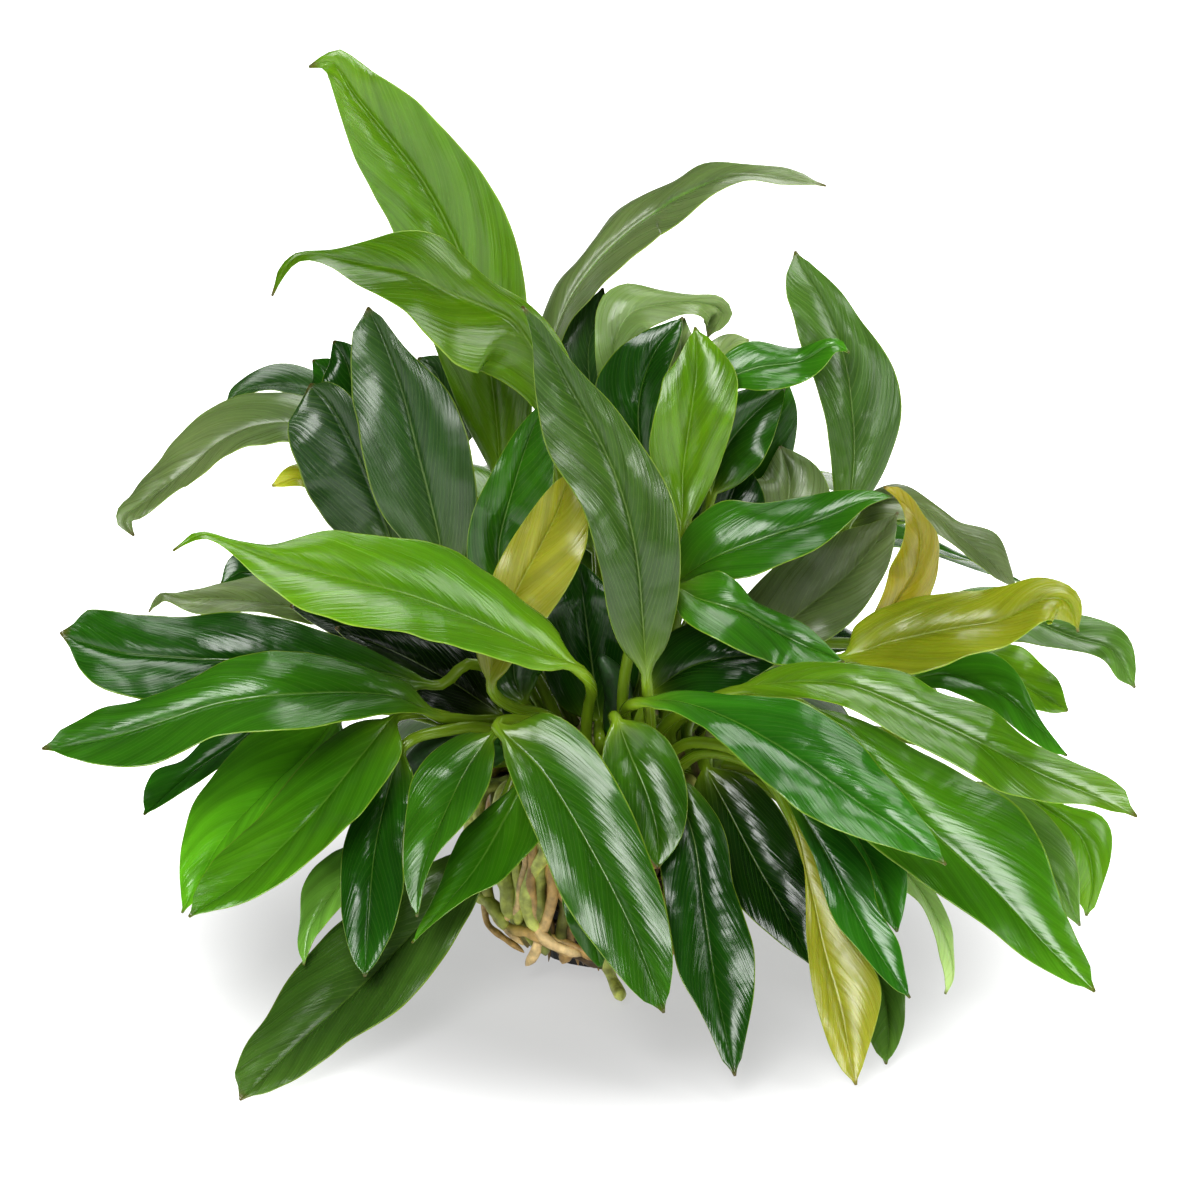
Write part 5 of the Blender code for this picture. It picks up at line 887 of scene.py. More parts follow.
def blade_grid(leaf, seed, course, looks, along, across):
    """The blade's middle surface at fractions along and across it (-1 to 1), with its upward direction."""
    blade = course[PETIOLE_STEPS:]
    _, side, up = (part[PETIOLE_STEPS:] for part in frames_of(course, looks))
    at = np.asarray(along) * BLADE_STEPS
    index = np.arange(BLADE_STEPS + 1)
    left, right = (np.interp(at, index, reach)[:, None] for reach in side_widths(leaf, blade, side, up))
    middle, side, up = (read_at(at, index, rows) for rows in (blade, side, up))
    side, up = unit(side), unit(up)
    fold = math.radians(leaf.fold)
    rng = random.Random(seed)
    turn_left = rng.uniform(0, math.tau)
    turn_right = rng.uniform(0, math.tau)
    u = np.asarray(across)[None, :]
    s = np.asarray(along)[:, None]
    turn = np.where(u < 0, turn_left, turn_right)
    reach = np.where(u < 0, left, right)
    rise = reach * math.sin(fold) * (np.abs(u) - 0.35)
    broad = np.clip(reach / RIPPLED_HALF_WIDTH, 0, 1)
    wave = leaf.wave * u**2 * np.sin(math.tau * leaf.ripples * s + turn) * broad
    out = reach * math.cos(fold) * u
    points = middle[:, None] + side[:, None] * out[..., None] + up[:, None] * (rise + wave)[..., None]
    return points, side, up, (left + right)[:, 0] / 2


def settle(leaves, courses, looks):
    """Moves the leaves nearer or farther along the view's rays, smoothly from foot to tip, until they clear.

    The front leaves keep the order in which the list names them, so what covers what stays as laid out.
    """
    count = len(leaves)
    steps = PETIOLE_STEPS + BLADE_STEPS + 1
    fronts = sum(isinstance(leaf, Leaf) for leaf in leaves)
    courses = [course.copy() for course in courses]
    for _ in range(SETTLE_ROUNDS):
        pixels, depths, stations, blades = [], [], [], []
        for i, leaf in enumerate(leaves):
            grid, *_ = blade_grid(leaf, i, courses[i], looks[i], SAMPLES_ALONG, SAMPLES_ACROSS)
            blade_rows = PETIOLE_STEPS + np.rint(SAMPLES_ALONG * BLADE_STEPS).astype(int)
            blade_rows = np.repeat(blade_rows, len(SAMPLES_ACROSS))
            stalk_rows = np.arange(PETIOLE_CLEAR_FROM, PETIOLE_STEPS + 1)
            stalk = courses[i][stalk_rows]
            points = np.vstack((stalk, grid.reshape(-1, 3)))
            pixels.append(pixels_of(points))
            depths.append(depth_of(points))
            stations.append(i * steps + np.concatenate((stalk_rows, blade_rows)))
            blades.append(np.arange(len(points)) >= len(stalk))
        pairs = close_pairs(leaves, pixels, depths, blades, fronts)
        pixels, depths = np.vstack(pixels), np.concatenate(depths)
        stations = np.concatenate(stations)
        rays = ray_of(pixels)
        fraction = (stations % steps) / (steps - 1)
        offsets = relax(pairs, depths, stations, rays, fraction, count, steps)
        for i in range(count):
            course = courses[i]
            courses[i] = course + offsets[i][:, None] * ray_of(pixels_of(course))
        courses = untangle(leaves, courses)
    return courses


def close_pairs(leaves, pixels, depths, blades, fronts):
    """Pairs of samples that lie over each other in the view, the nearer first, with the gap each needs."""
    starts = np.concatenate(([0], np.cumsum([len(found) for found in pixels])))
    low = np.array([found.min(axis=0) for found in pixels])
    high = np.array([found.max(axis=0) for found in pixels])
    reach = max(LEAF_APART, PETIOLE_APART) * VIEW_FOCAL_PIXELS / VIEW_DISTANCE
    first, second, needed = [], [], []
    for i in range(len(leaves)):
        for j in range(i + 1, len(leaves)):
            same_shoot = leaves[i].shoot and leaves[i].shoot == leaves[j].shoot
            if (low[i] > high[j] + reach).any() or (low[j] > high[i] + reach).any():
                continue
            apart = np.linalg.norm(pixels[i][:, None] - pixels[j][None], axis=2)
            rows, columns = np.nonzero(apart < reach)
            if not len(rows):
                continue
            lateral = apart[rows, columns] * VIEW_DISTANCE / VIEW_FOCAL_PIXELS
            behind = depths[j][columns] - depths[i][rows]
            for blade_i in (False, True):
                for blade_j in (False, True):
                    chosen = (blades[i][rows] == blade_i) & (blades[j][columns] == blade_j)
                    if not chosen.any() or same_shoot and not (blade_i and blade_j):
                        continue
                    both = blade_i and blade_j
                    mean = behind[chosen].mean()
                    mixed = blade_i != blade_j
                    listed = j < fronts and (both or mixed and abs(mean) < ORDER_DOUBT)
                    nearer = listed or mean > 0
                    room = LEAF_APART if both else PETIOLE_APART
                    gap = np.sqrt(np.clip(room**2 - lateral[chosen] ** 2, 0, None))
                    a = starts[i] + rows[chosen]
                    b = starts[j] + columns[chosen]
                    first.append(a if nearer else b)
                    second.append(b if nearer else a)
                    needed.append(gap)
    return np.concatenate(first), np.concatenate(second), np.concatenate(needed)


def relax(pairs, depths, stations, rays, fraction, count, steps):
    """The depth that each midline point moves by, smooth along each leaf and nothing at its foot."""
    near, far, needed = pairs
    s = np.arange(steps)
    spread = np.exp(-(((s[:, None] - s[None]) / RELAX_SPREAD) ** 2) / 2)
    free = np.clip((s - 1) / (0.8 * PETIOLE_STEPS), 0, 1)
    offsets = np.zeros((count, steps))
    for _ in range(RELAX_ROUNDS):
        moved = depths + offsets.reshape(-1)[stations]
        short = needed - (moved[far] - moved[near])
        bad = short > 0
        back = np.zeros(count * steps)
        front = np.zeros(count * steps)
        half = np.minimum(short[bad], MOST_MOVE) / 2
        np.maximum.at(back, stations[far[bad]], half)
        np.maximum.at(front, stations[near[bad]], half)
        points = EYE + moved[:, None] * rays
        under = FLOOR_GAP + 1 * MM - points[:, 2]
        low = (under > 0) & (fraction > FLOOR_FROM)
        np.maximum.at(front, stations[low], under[low] / -rays[low, 2])
        radius = np.linalg.norm(points[:, :2], axis=1)
        ball = ROOT_BALL_BASE + (ROOT_BALL_TOP - ROOT_BALL_BASE) * np.clip(points[:, 2] / POT_HEIGHT, 0, 1)
        ball = np.where(points[:, 2] > ROOT_BALL_HEIGHT, CROWN_RADIUS, ball)
        into = ball + BALL_ROOM - radius
        inside = (into > 0) & (points[:, 2] < CROWN_HEIGHT) & (fraction > BALL_FROM)
        into = np.clip(into, 0, MOST_BALL_MOVE)
        fore = inside & (points[:, 1] < 0)
        rear = inside & (points[:, 1] >= 0)
        np.maximum.at(front, stations[fore], into[fore])
        np.maximum.at(back, stations[rear], into[rear])
        push = (back - front).reshape(count, steps)
        shared = np.maximum((push != 0) @ spread, 1)
        offsets += (push @ spread) / shared * free
    return offsets


def untangle(leaves, courses):
    """Bends the petioles aside until they pass each other and the rhizome, with their ends kept in place."""
    count = PETIOLE_STEPS + 1
    points = np.array([course[:count] for course in courses])
    shoot = np.array([first_of(leaf.shoot or leaf.name, leaves) for leaf in leaves])
    owner = np.repeat(shoot, count)
    station = np.arange(count)
    spread = np.exp(-(((station[:, None] - station[None]) / UNTANGLE_SPREAD) ** 2) / 2)
    spread /= spread.sum(axis=1, keepdims=True)
    free = np.clip(np.minimum(station, count - 1 - station) / HELD_ENDS, 0, 1)[:, None]
    flat = points.reshape(-1, 3)
    near = np.linalg.norm(flat[:, None] - flat[None], axis=2) < 4 * PETIOLE_APART
    first, second = np.nonzero(np.triu(near & (owner[:, None] != owner[None])))
    rows = np.arange(len(flat))
    for _ in range(UNTANGLE_ROUNDS):
        flat = points.reshape(-1, 3)
        apart = flat[first] - flat[second]
        distance = np.linalg.norm(apart, axis=1) + 1e-9
        short = np.clip(PETIOLE_APART + PETIOLE_ROOM - distance, 0, None)
        moves = apart * (0.5 * short / distance)[:, None]
        push = np.zeros_like(flat)
        np.add.at(push, first, moves)
        np.add.at(push, second, -moves)
        size = np.linalg.norm(push, axis=1, keepdims=True)
        push = (push * np.minimum(1, MOST_BEND / np.maximum(size, 1e-9))).reshape(points.shape)
        from_axis = flat[:, None] - AXIS_POINTS[None]
        gap = np.linalg.norm(from_axis, axis=2)
        nearest = gap.argmin(axis=1)
        reach = gap[rows, nearest].reshape(points.shape[:2])
        along = np.linalg.norm(points - points[:, :1], axis=2)
        wanted = BRANCH_RADIUS + 2 * CLEARANCE + np.minimum(along * 0.9, PETIOLE_RADIUS + 0.6 * MM)
        off_axis = unit(from_axis[rows, nearest]).reshape(points.shape)
        lift = np.clip(wanted - reach, 0, None)[..., None] * off_axis
        points = points + (np.einsum("ij,kjm->kim", spread, push) + lift) * free
    return [np.vstack((found, course[count:])) for found, course in zip(points, courses)]


def first_of(name, leaves):
    """The number of the first leaf of this shoot, or of this name."""
    return next(i for i, leaf in enumerate(leaves) if name in (leaf.shoot, leaf.name))


def wall_radius(height):
    """The pot's outer radius at a height."""
    return POT_BASE_RADIUS + POT_SLOPE * height


def turn_of(point):
    return math.atan2(point[1], point[0])


def root_path(rng, index):
    """A root from the rhizome over the pot's lip and down outside its wall, drifting round it as it goes."""
    turn = math.tau * (index + rng.uniform(0.2, 0.8)) / ROOT_COUNT
    radius = rng.uniform(*ROOT_RADII)
    layer = rng.choice(ROOT_LAYERS) * MM
    drift = rng.uniform(-ROOT_DRIFT, ROOT_DRIFT)
    end = rng.choice(ROOT_ENDS) * MM + radius
    nearest = min(AXES, key=lambda axis: abs(math.remainder(turn_of(axis[-1]) - turn, math.tau)))
    start = read_along(nearest, [rng.uniform(*ROOT_STARTS)])[0]
    over_lip = POT_LIP_RADIUS + radius + LIP_GAP + layer * 0.4
    path = over_the_lip(start, turn, over_lip, radius)
    for k in range(1, ROOT_STOPS + 1):
        down = k / ROOT_STOPS
        height = path[2][2] - 5 * MM + (end - path[2][2] + 5 * MM) * down
        swing = turn + drift * down + rng.uniform(-0.07, 0.07)
        out = wall_radius(height) + radius + WALL_GAP + layer
        if height > POT_HEIGHT - 12 * MM:
            out = max(out, over_lip)
        path.append(around(out, swing, height))
    return path, radius


def over_the_lip(start, turn, reach, radius):
    """A root's first points: from the rhizome, over the rim, to this far from the pot's axis."""
    lip = around(reach, turn, POT_HEIGHT + radius * 0.4 + 1.5 * MM)
    start = start - ROOT_START_DROP * UP
    rise = (start + lip) / 2
    rise[2] = POT_HEIGHT + radius + 2.6 * MM
    return [start, rise, lip]


def fine_root_path(rng, index):
    """A thin root: over the rim, then down the root mass with a drift round it, ending anywhere."""
    turn = math.tau * index / FINE_ROOT_COUNT + rng.uniform(-0.2, 0.2)
    radius = rng.uniform(*FINE_ROOT_RADII)
    layer = rng.uniform(*FINE_ROOT_LAYERS) * MM
    drift = rng.uniform(-FINE_ROOT_DRIFT, FINE_ROOT_DRIFT)
    end = rng.choice(FINE_ROOT_ENDS) * MM + radius
    start = around(FINE_ROOT_START * BRANCH_LENGTH, turn, POT_HEIGHT + 5 * MM)
    path = over_the_lip(start, turn, POT_LIP_RADIUS + radius + 0.4 * MM + layer * 0.6, radius)
    for k in range(1, FINE_ROOT_STOPS + 1):
        down = k / FINE_ROOT_STOPS
        height = path[2][2] * (1 - down) + end * down
        swing = turn + drift * down + rng.uniform(-0.12, 0.12)
        out = wall_radius(height) + radius + layer + rng.uniform(-0.3, 1.2) * MM
        path.append(around(out, swing, max(height, radius + FLOOR_CLEAR)))
    return path, radius


# The leaves' fine surface: rows along the blade and the stalk, columns across each half, and its relief.
ROW_SPACING = 1.9 * MM
FEWEST_ROWS = 26
MOST_ROWS = 78
STALK_ROWS = 14
HALF_COLUMNS = (0.0, 0.03, 0.08, 0.17, 0.29, 0.42, 0.55, 0.68, 0.80, 0.90, 0.965, 1.0)
ACROSS = np.array([-u for u in HALF_COLUMNS[:0:-1]] + list(HALF_COLUMNS))
CAMBER = 0.10
QUILT_HEIGHT = 0.10 * MM
QUILT_SPACING = 5.2 * MM
RIPPLE_HEIGHT = 0.30 * MM
RIPPLE_LENGTHS = (14, 34)
RIPPLE_COUNT = 7
RELIEF_HALF_WIDTH = 8 * MM
GROOVE = 0.22 * MM
VEIN_SLOPE = 1.9
VEIN_ARC = 1.4
MARGIN_FROM = 0.975
FINE_EDGE = 0.28 * MM
UV_PER_METRE = 100

STALK_COLOUR = np.array((0.150, 0.240, 0.012))
MARGIN_COLOUR = np.array((0.260, 0.360, 0.040))
MIDRIB_COLOUR = np.array((0.230, 0.330, 0.070))
UNDER_COLOUR = np.array((0.110, 0.190, 0.060))
TIP_BROWN = np.array((0.090, 0.055, 0.015))


class Finish(NamedTuple):
    """How a colour class of leaves looks: two greens that it varies between, its gloss and its veins."""

    base: tuple
    light: tuple
    roughness: float
    veins: float
    glow: float


FINISHES = {
    "dark": Finish((0.005, 0.034, 0.002), (0.016, 0.078, 0.004), 0.15, 0.35, 0.05),
    "mid": Finish((0.015, 0.070, 0.003), (0.032, 0.122, 0.005), 0.17, 0.40, 0.08),
    "fresh": Finish((0.026, 0.104, 0.003), (0.058, 0.178, 0.006), 0.17, 0.40, 0.10),
    "bright": Finish((0.066, 0.180, 0.004), (0.125, 0.270, 0.007), 0.20, 0.40, 0.15),
    "lime": Finish((0.100, 0.230, 0.008), (0.170, 0.320, 0.020), 0.26, 0.55, 0.20),
    "olive": Finish((0.190, 0.240, 0.006), (0.330, 0.370, 0.020), 0.25, 0.45, 0.20),
    "gold": Finish((0.230, 0.205, 0.004), (0.380, 0.330, 0.014), 0.26, 0.35, 0.20),
    "yellow": Finish((0.270, 0.290, 0.010), (0.430, 0.430, 0.045), 0.26, 0.35, 0.20),
    "grey": Finish((0.016, 0.054, 0.010), (0.036, 0.088, 0.020), 0.22, 0.60, 0.04),
    "soft": Finish((0.030, 0.074, 0.010), (0.058, 0.124, 0.018), 0.20, 0.60, 0.06),
    # The pale finish: the colour of pale leaves, and on dark glossy leaves a painted sheen, the grey veil of
    # their gloss painted into their colour.
    "pale": Finish((0.110, 0.180, 0.050), (0.230, 0.310, 0.110), 0.28, 0.60, 0.10),
}


def mixed(first, second, share):
    share = np.asarray(share)[..., None]
    return first * (1 - share) + second * share


def eased(value, low, high):
    t = np.clip((value - low) / (high - low), 0, 1)
    return t * t * (3 - 2 * t)


def ripples(rng, s, x):
    """A smooth uneven surface from a few sines, in units of its own height."""
    total = np.zeros_like(s + x)
    for _ in range(RIPPLE_COUNT):
        length = rng.uniform(*RIPPLE_LENGTHS) * MM
        lean = rng.uniform(-1.2, 1.2)
        total += np.sin(math.tau * (s + lean * x) / length + rng.uniform(0, math.tau))
    return total / math.sqrt(RIPPLE_COUNT)


def blade_colours(rng, leaf, s, u, under, stalk):
    """The colour at each point: stalk, midrib, margin and tip, and the paler underside."""
    finish = FINISHES[finish_of(leaf)]
    patch = 0.5 + 0.35 * np.sin(math.tau * (1.3 * s + rng.uniform(0, 1))) * rng.uniform(0.3, 1)
    patch = np.clip(patch + rng.uniform(-0.3, 0.3) + 0.35 * eased(s, 0.75, 1.0), 0, 1)
    colour = mixed(np.array(finish.base), np.array(finish.light), patch)
    # leaf.light: the leaf's own tone, and painted light and shade where the lamps light it too little or too
    # much.
    colour = colour * rng.uniform(0.9, 1.1) * leaf.light
    colour = np.where(under[..., None], 0.55 * colour + 0.45 * UNDER_COLOUR, colour)
    colour = mixed(colour, MIDRIB_COLOUR, (1 - eased(np.abs(u), 0.0, 0.03)) * (0.36 - 0.32 * s))
    colour = mixed(colour, MARGIN_COLOUR, eased(np.abs(u), MARGIN_FROM, 1.0) * 0.6)
    colour = mixed(colour, STALK_COLOUR, np.exp(-16 * s))
    colour = mixed(colour, TIP_BROWN, eased(s, 0.975, 0.995) * 0.8)
    return mixed(colour, STALK_COLOUR, stalk)


def finish_of(leaf):
    return leaf.finish or leaf.colour


def lateral_of(along, x, u):
    """Where a point lies between the side veins, which run out from the midrib and bend to the tip."""
    return along - x * (VEIN_SLOPE + VEIN_ARC * u)


def blade_relief(rng, along, half):
    """How far the upper skin stands off its plain surface: quilting between the veins, ripples and camber."""
    u = np.abs(ACROSS)[None, :]
    along = along[:, None]
    half = half[:, None]
    quilt = QUILT_HEIGHT * np.sin(math.tau * lateral_of(along, half * u, u) / QUILT_SPACING)
    quilt = quilt * eased(u, 0.05, 0.3) * (1 - eased(u, 0.75, 1))
    bumps = RIPPLE_HEIGHT * ripples(rng, along, half * ACROSS[None, :]) * (0.25 + 0.75 * u)
    camber = half * CAMBER * (np.sin(math.pi * u**0.8) - 0.3)
    return quilt + bumps + camber


def thicknesses(s, inside):
    """How far a blade reaches above and below its middle surface: stem, midrib, groove and thin edge."""
    u = np.abs(ACROSS)[None, :]
    stem = np.exp(-PETIOLE_FADE * s)[:, None]
    ridge = MIDRIB * (1 - MIDRIB_FADE * s)[:, None] + (PETIOLE_RADIUS - MIDRIB) * stem
    round_part = np.sqrt(np.clip(1 - u**2, 0, 1))
    edge = FINE_EDGE * (0.35 + 0.65 * round_part)
    above = edge + (PETIOLE_RADIUS - edge) * stem * round_part
    above = above - GROOVE * (1 - stem) * (1 - eased(u, 0, 0.09)) * inside
    below = edge + np.maximum(ridge - edge, 0) * (stem * round_part + (1 - stem) * (1 - u) ** 6)
    return above[..., None], below[..., None], np.maximum(FINE_EDGE, PETIOLE_RADIUS * round_part)[..., None]


def fine_leaf(leaf, seed, course, looks):
    """A leaf as one closed surface: rings of points from foot to tip, over the top and back underneath.

    Each ring comes with its place from foot to tip, its place along the blade and its half-width.
    """
    rng = random.Random(1000 + seed)
    _, side, up = frames_of(course, looks)
    length = lengths_along(course[PETIOLE_STEPS:])[-1]
    s = np.linspace(0, 1, int(np.clip(length / ROW_SPACING, FEWEST_ROWS, MOST_ROWS)) + 1)
    grid, _, blade_up, half = blade_grid(leaf, seed, course, looks, s, ACROSS)
    blade_up = blade_up[:, None]
    inside = np.clip(half / RELIEF_HALF_WIDTH, 0, 1)[:, None]
    grid = grid + blade_up * (blade_relief(rng, s * length, half) * inside)[..., None]
    above, below, thick = thicknesses(s, inside)
    fractions = np.linspace(0, 1, STALK_ROWS, endpoint=False)
    stalk_at = fractions * PETIOLE_STEPS
    steps = np.arange(PETIOLE_STEPS + 1)
    parts = (rows[: PETIOLE_STEPS + 1] for rows in (side, up, course))
    stalk_side, stalk_up, middle = (read_at(stalk_at, steps, part)[:, None] for part in parts)
    stalk = middle + unit(stalk_side) * (PETIOLE_RADIUS * ACROSS)[None, :, None]
    thick = unit(stalk_up) * thick
    top = np.concatenate((stalk + thick, grid + blade_up * above))
    low = np.concatenate((stalk - thick, grid - blade_up * below))
    rings = np.concatenate((top, low[:, ::-1]), axis=1)
    at = np.concatenate((-(1 - fractions) * 0.3, s))
    across = np.concatenate((ACROSS, ACROSS[::-1]))
    under = np.arange(len(across)) >= len(ACROSS)
    is_stalk = (np.arange(len(at)) < STALK_ROWS)[:, None].astype(float)
    colours = blade_colours(rng, leaf, np.clip(at, 0, 1)[:, None], across[None], under[None], is_stalk)
    along = np.concatenate((fractions * 0, s * length))
    halves = np.concatenate((np.full(STALK_ROWS, PETIOLE_RADIUS), half))
    return rings, colours, along, halves, across, at


def ring_faces(index):
    """The quads between neighbouring rings of points, numbered as in this table."""
    after = np.roll(index, -1, axis=1)
    return np.stack((index[:-1], after[:-1], after[1:], index[1:]), axis=-1).reshape(-1, 4).tolist()


def leaf_mesh(name, parts, seed):
    """One mesh from the rings, with the UV maps "blade" (across, along) and "veins" (by the side veins)."""
    rings, colours, along, halves, across, at = parts
    rows, size = rings.shape[:2]
    index = np.arange(rows * size).reshape(rows, size)
    caps = [index[0, ::-1].tolist(), index[-1].tolist()]
    mesh = bpy.data.meshes.new(name)
    mesh.from_pydata(rings.reshape(-1, 3).tolist(), [], ring_faces(index) + caps)
    paint(mesh, colours.reshape(-1, 3), "blade_colour")
    row, column = corner_places(rows, size)
    u = across[column % size]
    right = column_side(column, size)
    x = halves[row] * np.abs(u)
    lateral = lateral_of(along[row], x, np.abs(u))
    set_uv(mesh, "blade", 0.5 + 0.5 * u, at[row])
    set_uv(mesh, "veins", lateral * UV_PER_METRE + 3.7 * seed + right * 1.9, x * UV_PER_METRE)
    mesh.validate(clean_customdata=False)
    mesh.shade_smooth()
    return mesh


def corner_places(rows, size):
    """The row and column of each corner of each face, in the order that the faces were made."""
    near = np.arange(rows - 1)[:, None] + np.zeros(size, int)[None]
    column = np.zeros(rows - 1, int)[:, None] + np.arange(size)[None]
    row = np.stack((near, near, near + 1, near + 1), axis=-1).reshape(-1)
    across = np.stack((column, column + 1, column + 1, column), axis=-1).reshape(-1)
    start = np.arange(size)[::-1]
    row = np.concatenate((row, np.zeros(size, int), np.full(size, rows - 1)))
    return row, np.concatenate((across, start, np.arange(size)))


def column_side(column, size):
    """Whether a corner lies on the right half, counted face by face so that the halves part at the midrib."""
    half = size // 2
    face = np.repeat(column[:-2 * size].reshape(-1, 4).min(axis=1), 4)
    face = np.concatenate((face, column[-2 * size :]))
    middle = half // 2
    return np.where(face < half, face >= middle, face < half + middle).astype(float)


def set_uv(mesh, name, u, v):
    layer = mesh.uv_layers.new(name=name)
    layer.data.foreach_set("uv", np.stack((u, v), axis=-1).astype(np.float32).ravel())


def paint(mesh, colours, name):
    """Stores a colour for each point."""
    colour = mesh.attributes.new(name, "FLOAT_COLOR", "POINT")
    values = np.ones((len(mesh.vertices), 4), np.float32)
    values[:, :3] = colours
    colour.data.foreach_set("color", values.ravel())


ROOT_TAN = np.array((0.460, 0.300, 0.105))
# Pale cream of root tips, and also a painted highlight: the lighter tan where light falls on the roots.
ROOT_PALE_AND_HIGHLIGHT = np.array((0.660, 0.490, 0.240))
ROOT_OLIVE = np.array((0.360, 0.400, 0.090))
# Dark brown of the rhizome's leaf scars, and painted shade in the gaps deep in the root mass.
ROOT_DARK_AND_SHADE = np.array((0.110, 0.072, 0.030))
ROOT_LIME = np.array((0.520, 0.570, 0.150))
# Dark green of the rolled leaves, which also stands in for the shade in the crown's gaps: painted shade.
YOUNG_LEAF_SHADE_TINT = np.array((0.010, 0.045, 0.004))

BRANCH_ROWS = 48
BRANCH_SIDES = 28
SCAR_SPACING = 4.6 * MM
FOOT_ROWS = 8
FOOT_SIDES = 20
YOUNG_ROWS = 40
YOUNG_SIDES = 24


class RootKind(NamedTuple):
    """How roots of a kind are drawn: their mesh, how they wander, how long their tips are, their colours."""

    rows: int
    sides: int
    wander: float
    wave: float
    tip: float
    tints: tuple


THICK_ROOT = RootKind(
    60, 12, 0.5 * MM, 22 * MM, 4 * MM,
    ((ROOT_TAN, ROOT_PALE_AND_HIGHLIGHT), (ROOT_TAN, ROOT_OLIVE), (ROOT_OLIVE, ROOT_OLIVE * 1.3), (ROOT_PALE_AND_HIGHLIGHT, ROOT_TAN)),
)
# The thin roots are partly painted dark: painted shade in the root mass between the thick roots.
THIN_ROOT = RootKind(
    44, 7, 1.1 * MM, 16 * MM, 6 * MM,
    ((ROOT_TAN, ROOT_DARK_AND_SHADE), (ROOT_TAN * 0.7, ROOT_TAN), (ROOT_DARK_AND_SHADE, ROOT_OLIVE), (ROOT_DARK_AND_SHADE, ROOT_TAN)),
)


class SeenRoot(NamedTuple):
    """A root that the front view shows below the leaves.

    pixels are its course in that view, out its distance from the pot's axis, first and last its colours.
    """

    pixels: tuple
    out: float
    radius: float
    first: tuple
    last: tuple


# The thick roots, which the solid has too, and then the finer ones among them.
SEEN_ROOTS = (
    SeenRoot(((543, 850), (537, 880), (530, 912), (537, 936)), 49 * MM, 3.0 * MM, ROOT_LIME, ROOT_LIME),
    SeenRoot(((562, 852), (578, 890), (592, 925), (600, 953)), 48 * MM, 2.6 * MM, ROOT_TAN, ROOT_PALE_AND_HIGHLIGHT),
    SeenRoot(((520, 868), (516, 900), (525, 930), (545, 950)), 47 * MM, 2.3 * MM,
             ROOT_LIME * 0.8, ROOT_OLIVE),
    SeenRoot(((484, 880), (492, 905), (505, 925), (540, 937), (572, 958)), 52 * MM, 2.0 * MM,
             ROOT_OLIVE, ROOT_TAN),
    SeenRoot(((552, 870), (549, 915), (538, 942), (527, 966)), 51 * MM, 2.0 * MM, ROOT_TAN, ROOT_PALE_AND_HIGHLIGHT),
    SeenRoot(((590, 880), (604, 925), (607, 955), (613, 978), (621, 1002)), 47 * MM, 2.2 * MM,
             ROOT_LIME, ROOT_LIME * 0.9),
    SeenRoot(((545, 850), (533, 872), (528, 895), (530, 918), (536, 934)), 53 * MM, 2.5 * MM,
             ROOT_LIME, ROOT_LIME),
    SeenRoot(((500, 868), (507, 888), (510, 903), (513, 920)), 52 * MM, 3.3 * MM, ROOT_LIME, ROOT_OLIVE),
    SeenRoot(((478, 893), (490, 904), (502, 918), (506, 932)), 53 * MM, 2.5 * MM, ROOT_LIME, ROOT_OLIVE),
    SeenRoot(((518, 872), (521, 900), (516, 925)), 51 * MM, 2.3 * MM, ROOT_OLIVE, ROOT_LIME),
    SeenRoot(((524, 872), (517, 905), (506, 926), (522, 944)), 52.5 * MM, 1.4 * MM, ROOT_PALE_AND_HIGHLIGHT, ROOT_PALE_AND_HIGHLIGHT),
    SeenRoot(((536, 925), (552, 944), (580, 955)), 52 * MM, 1.9 * MM, ROOT_TAN, ROOT_PALE_AND_HIGHLIGHT),
    SeenRoot(((552, 872), (570, 902), (594, 948)), 48 * MM, 2.2 * MM, ROOT_TAN, ROOT_PALE_AND_HIGHLIGHT * 0.8),
    SeenRoot(((541, 925), (545, 944), (547, 956)), 49 * MM, 3.0 * MM, ROOT_OLIVE, ROOT_OLIVE * 0.6),
    SeenRoot(((600, 900), (612, 930), (618, 950)), 46 * MM, 2.0 * MM, ROOT_TAN, ROOT_TAN),
    SeenRoot(((548, 930), (572, 948), (604, 960)), 46 * MM, 1.8 * MM, ROOT_OLIVE, ROOT_TAN),
    SeenRoot(((575, 905), (592, 935), (600, 960)), 45 * MM, 1.6 * MM, ROOT_TAN, ROOT_OLIVE),
    SeenRoot(((486, 915), (500, 936), (524, 952)), 50 * MM, 1.2 * MM, ROOT_PALE_AND_HIGHLIGHT, ROOT_TAN),
    # The next three are painted dark: painted shade deep among the roots.
    SeenRoot(((560, 878), (564, 915), (560, 948)), 45 * MM, 2.2 * MM, ROOT_DARK_AND_SHADE, ROOT_OLIVE * 0.4),
    SeenRoot(((574, 905), (584, 938), (608, 962)), 45 * MM, 2.0 * MM, ROOT_DARK_AND_SHADE * 1.5, ROOT_TAN * 0.6),
    SeenRoot(((552, 938), (580, 958), (618, 963)), 45 * MM, 1.7 * MM, ROOT_TAN * 0.6, ROOT_DARK_AND_SHADE),
)


class YoungLeaf(NamedTuple):
    """A leaf still rolled up: its pixels from foot to tip in the front view, its y and its radius."""

    path: tuple
    y: float
    radius: float


YOUNG_LEAVES = (
    YoungLeaf(((500, 742), (455, 744), (400, 772)), -30 * MM, 6.5 * MM),
    YoungLeaf(((505, 752), (470, 762), (432, 800)), -34 * MM, 6.0 * MM),
    YoungLeaf(((520, 740), (512, 690), (500, 640)), -18 * MM, 5.0 * MM),
    YoungLeaf(((610, 735), (618, 690), (600, 655)), -20 * MM, 5.0 * MM),
)


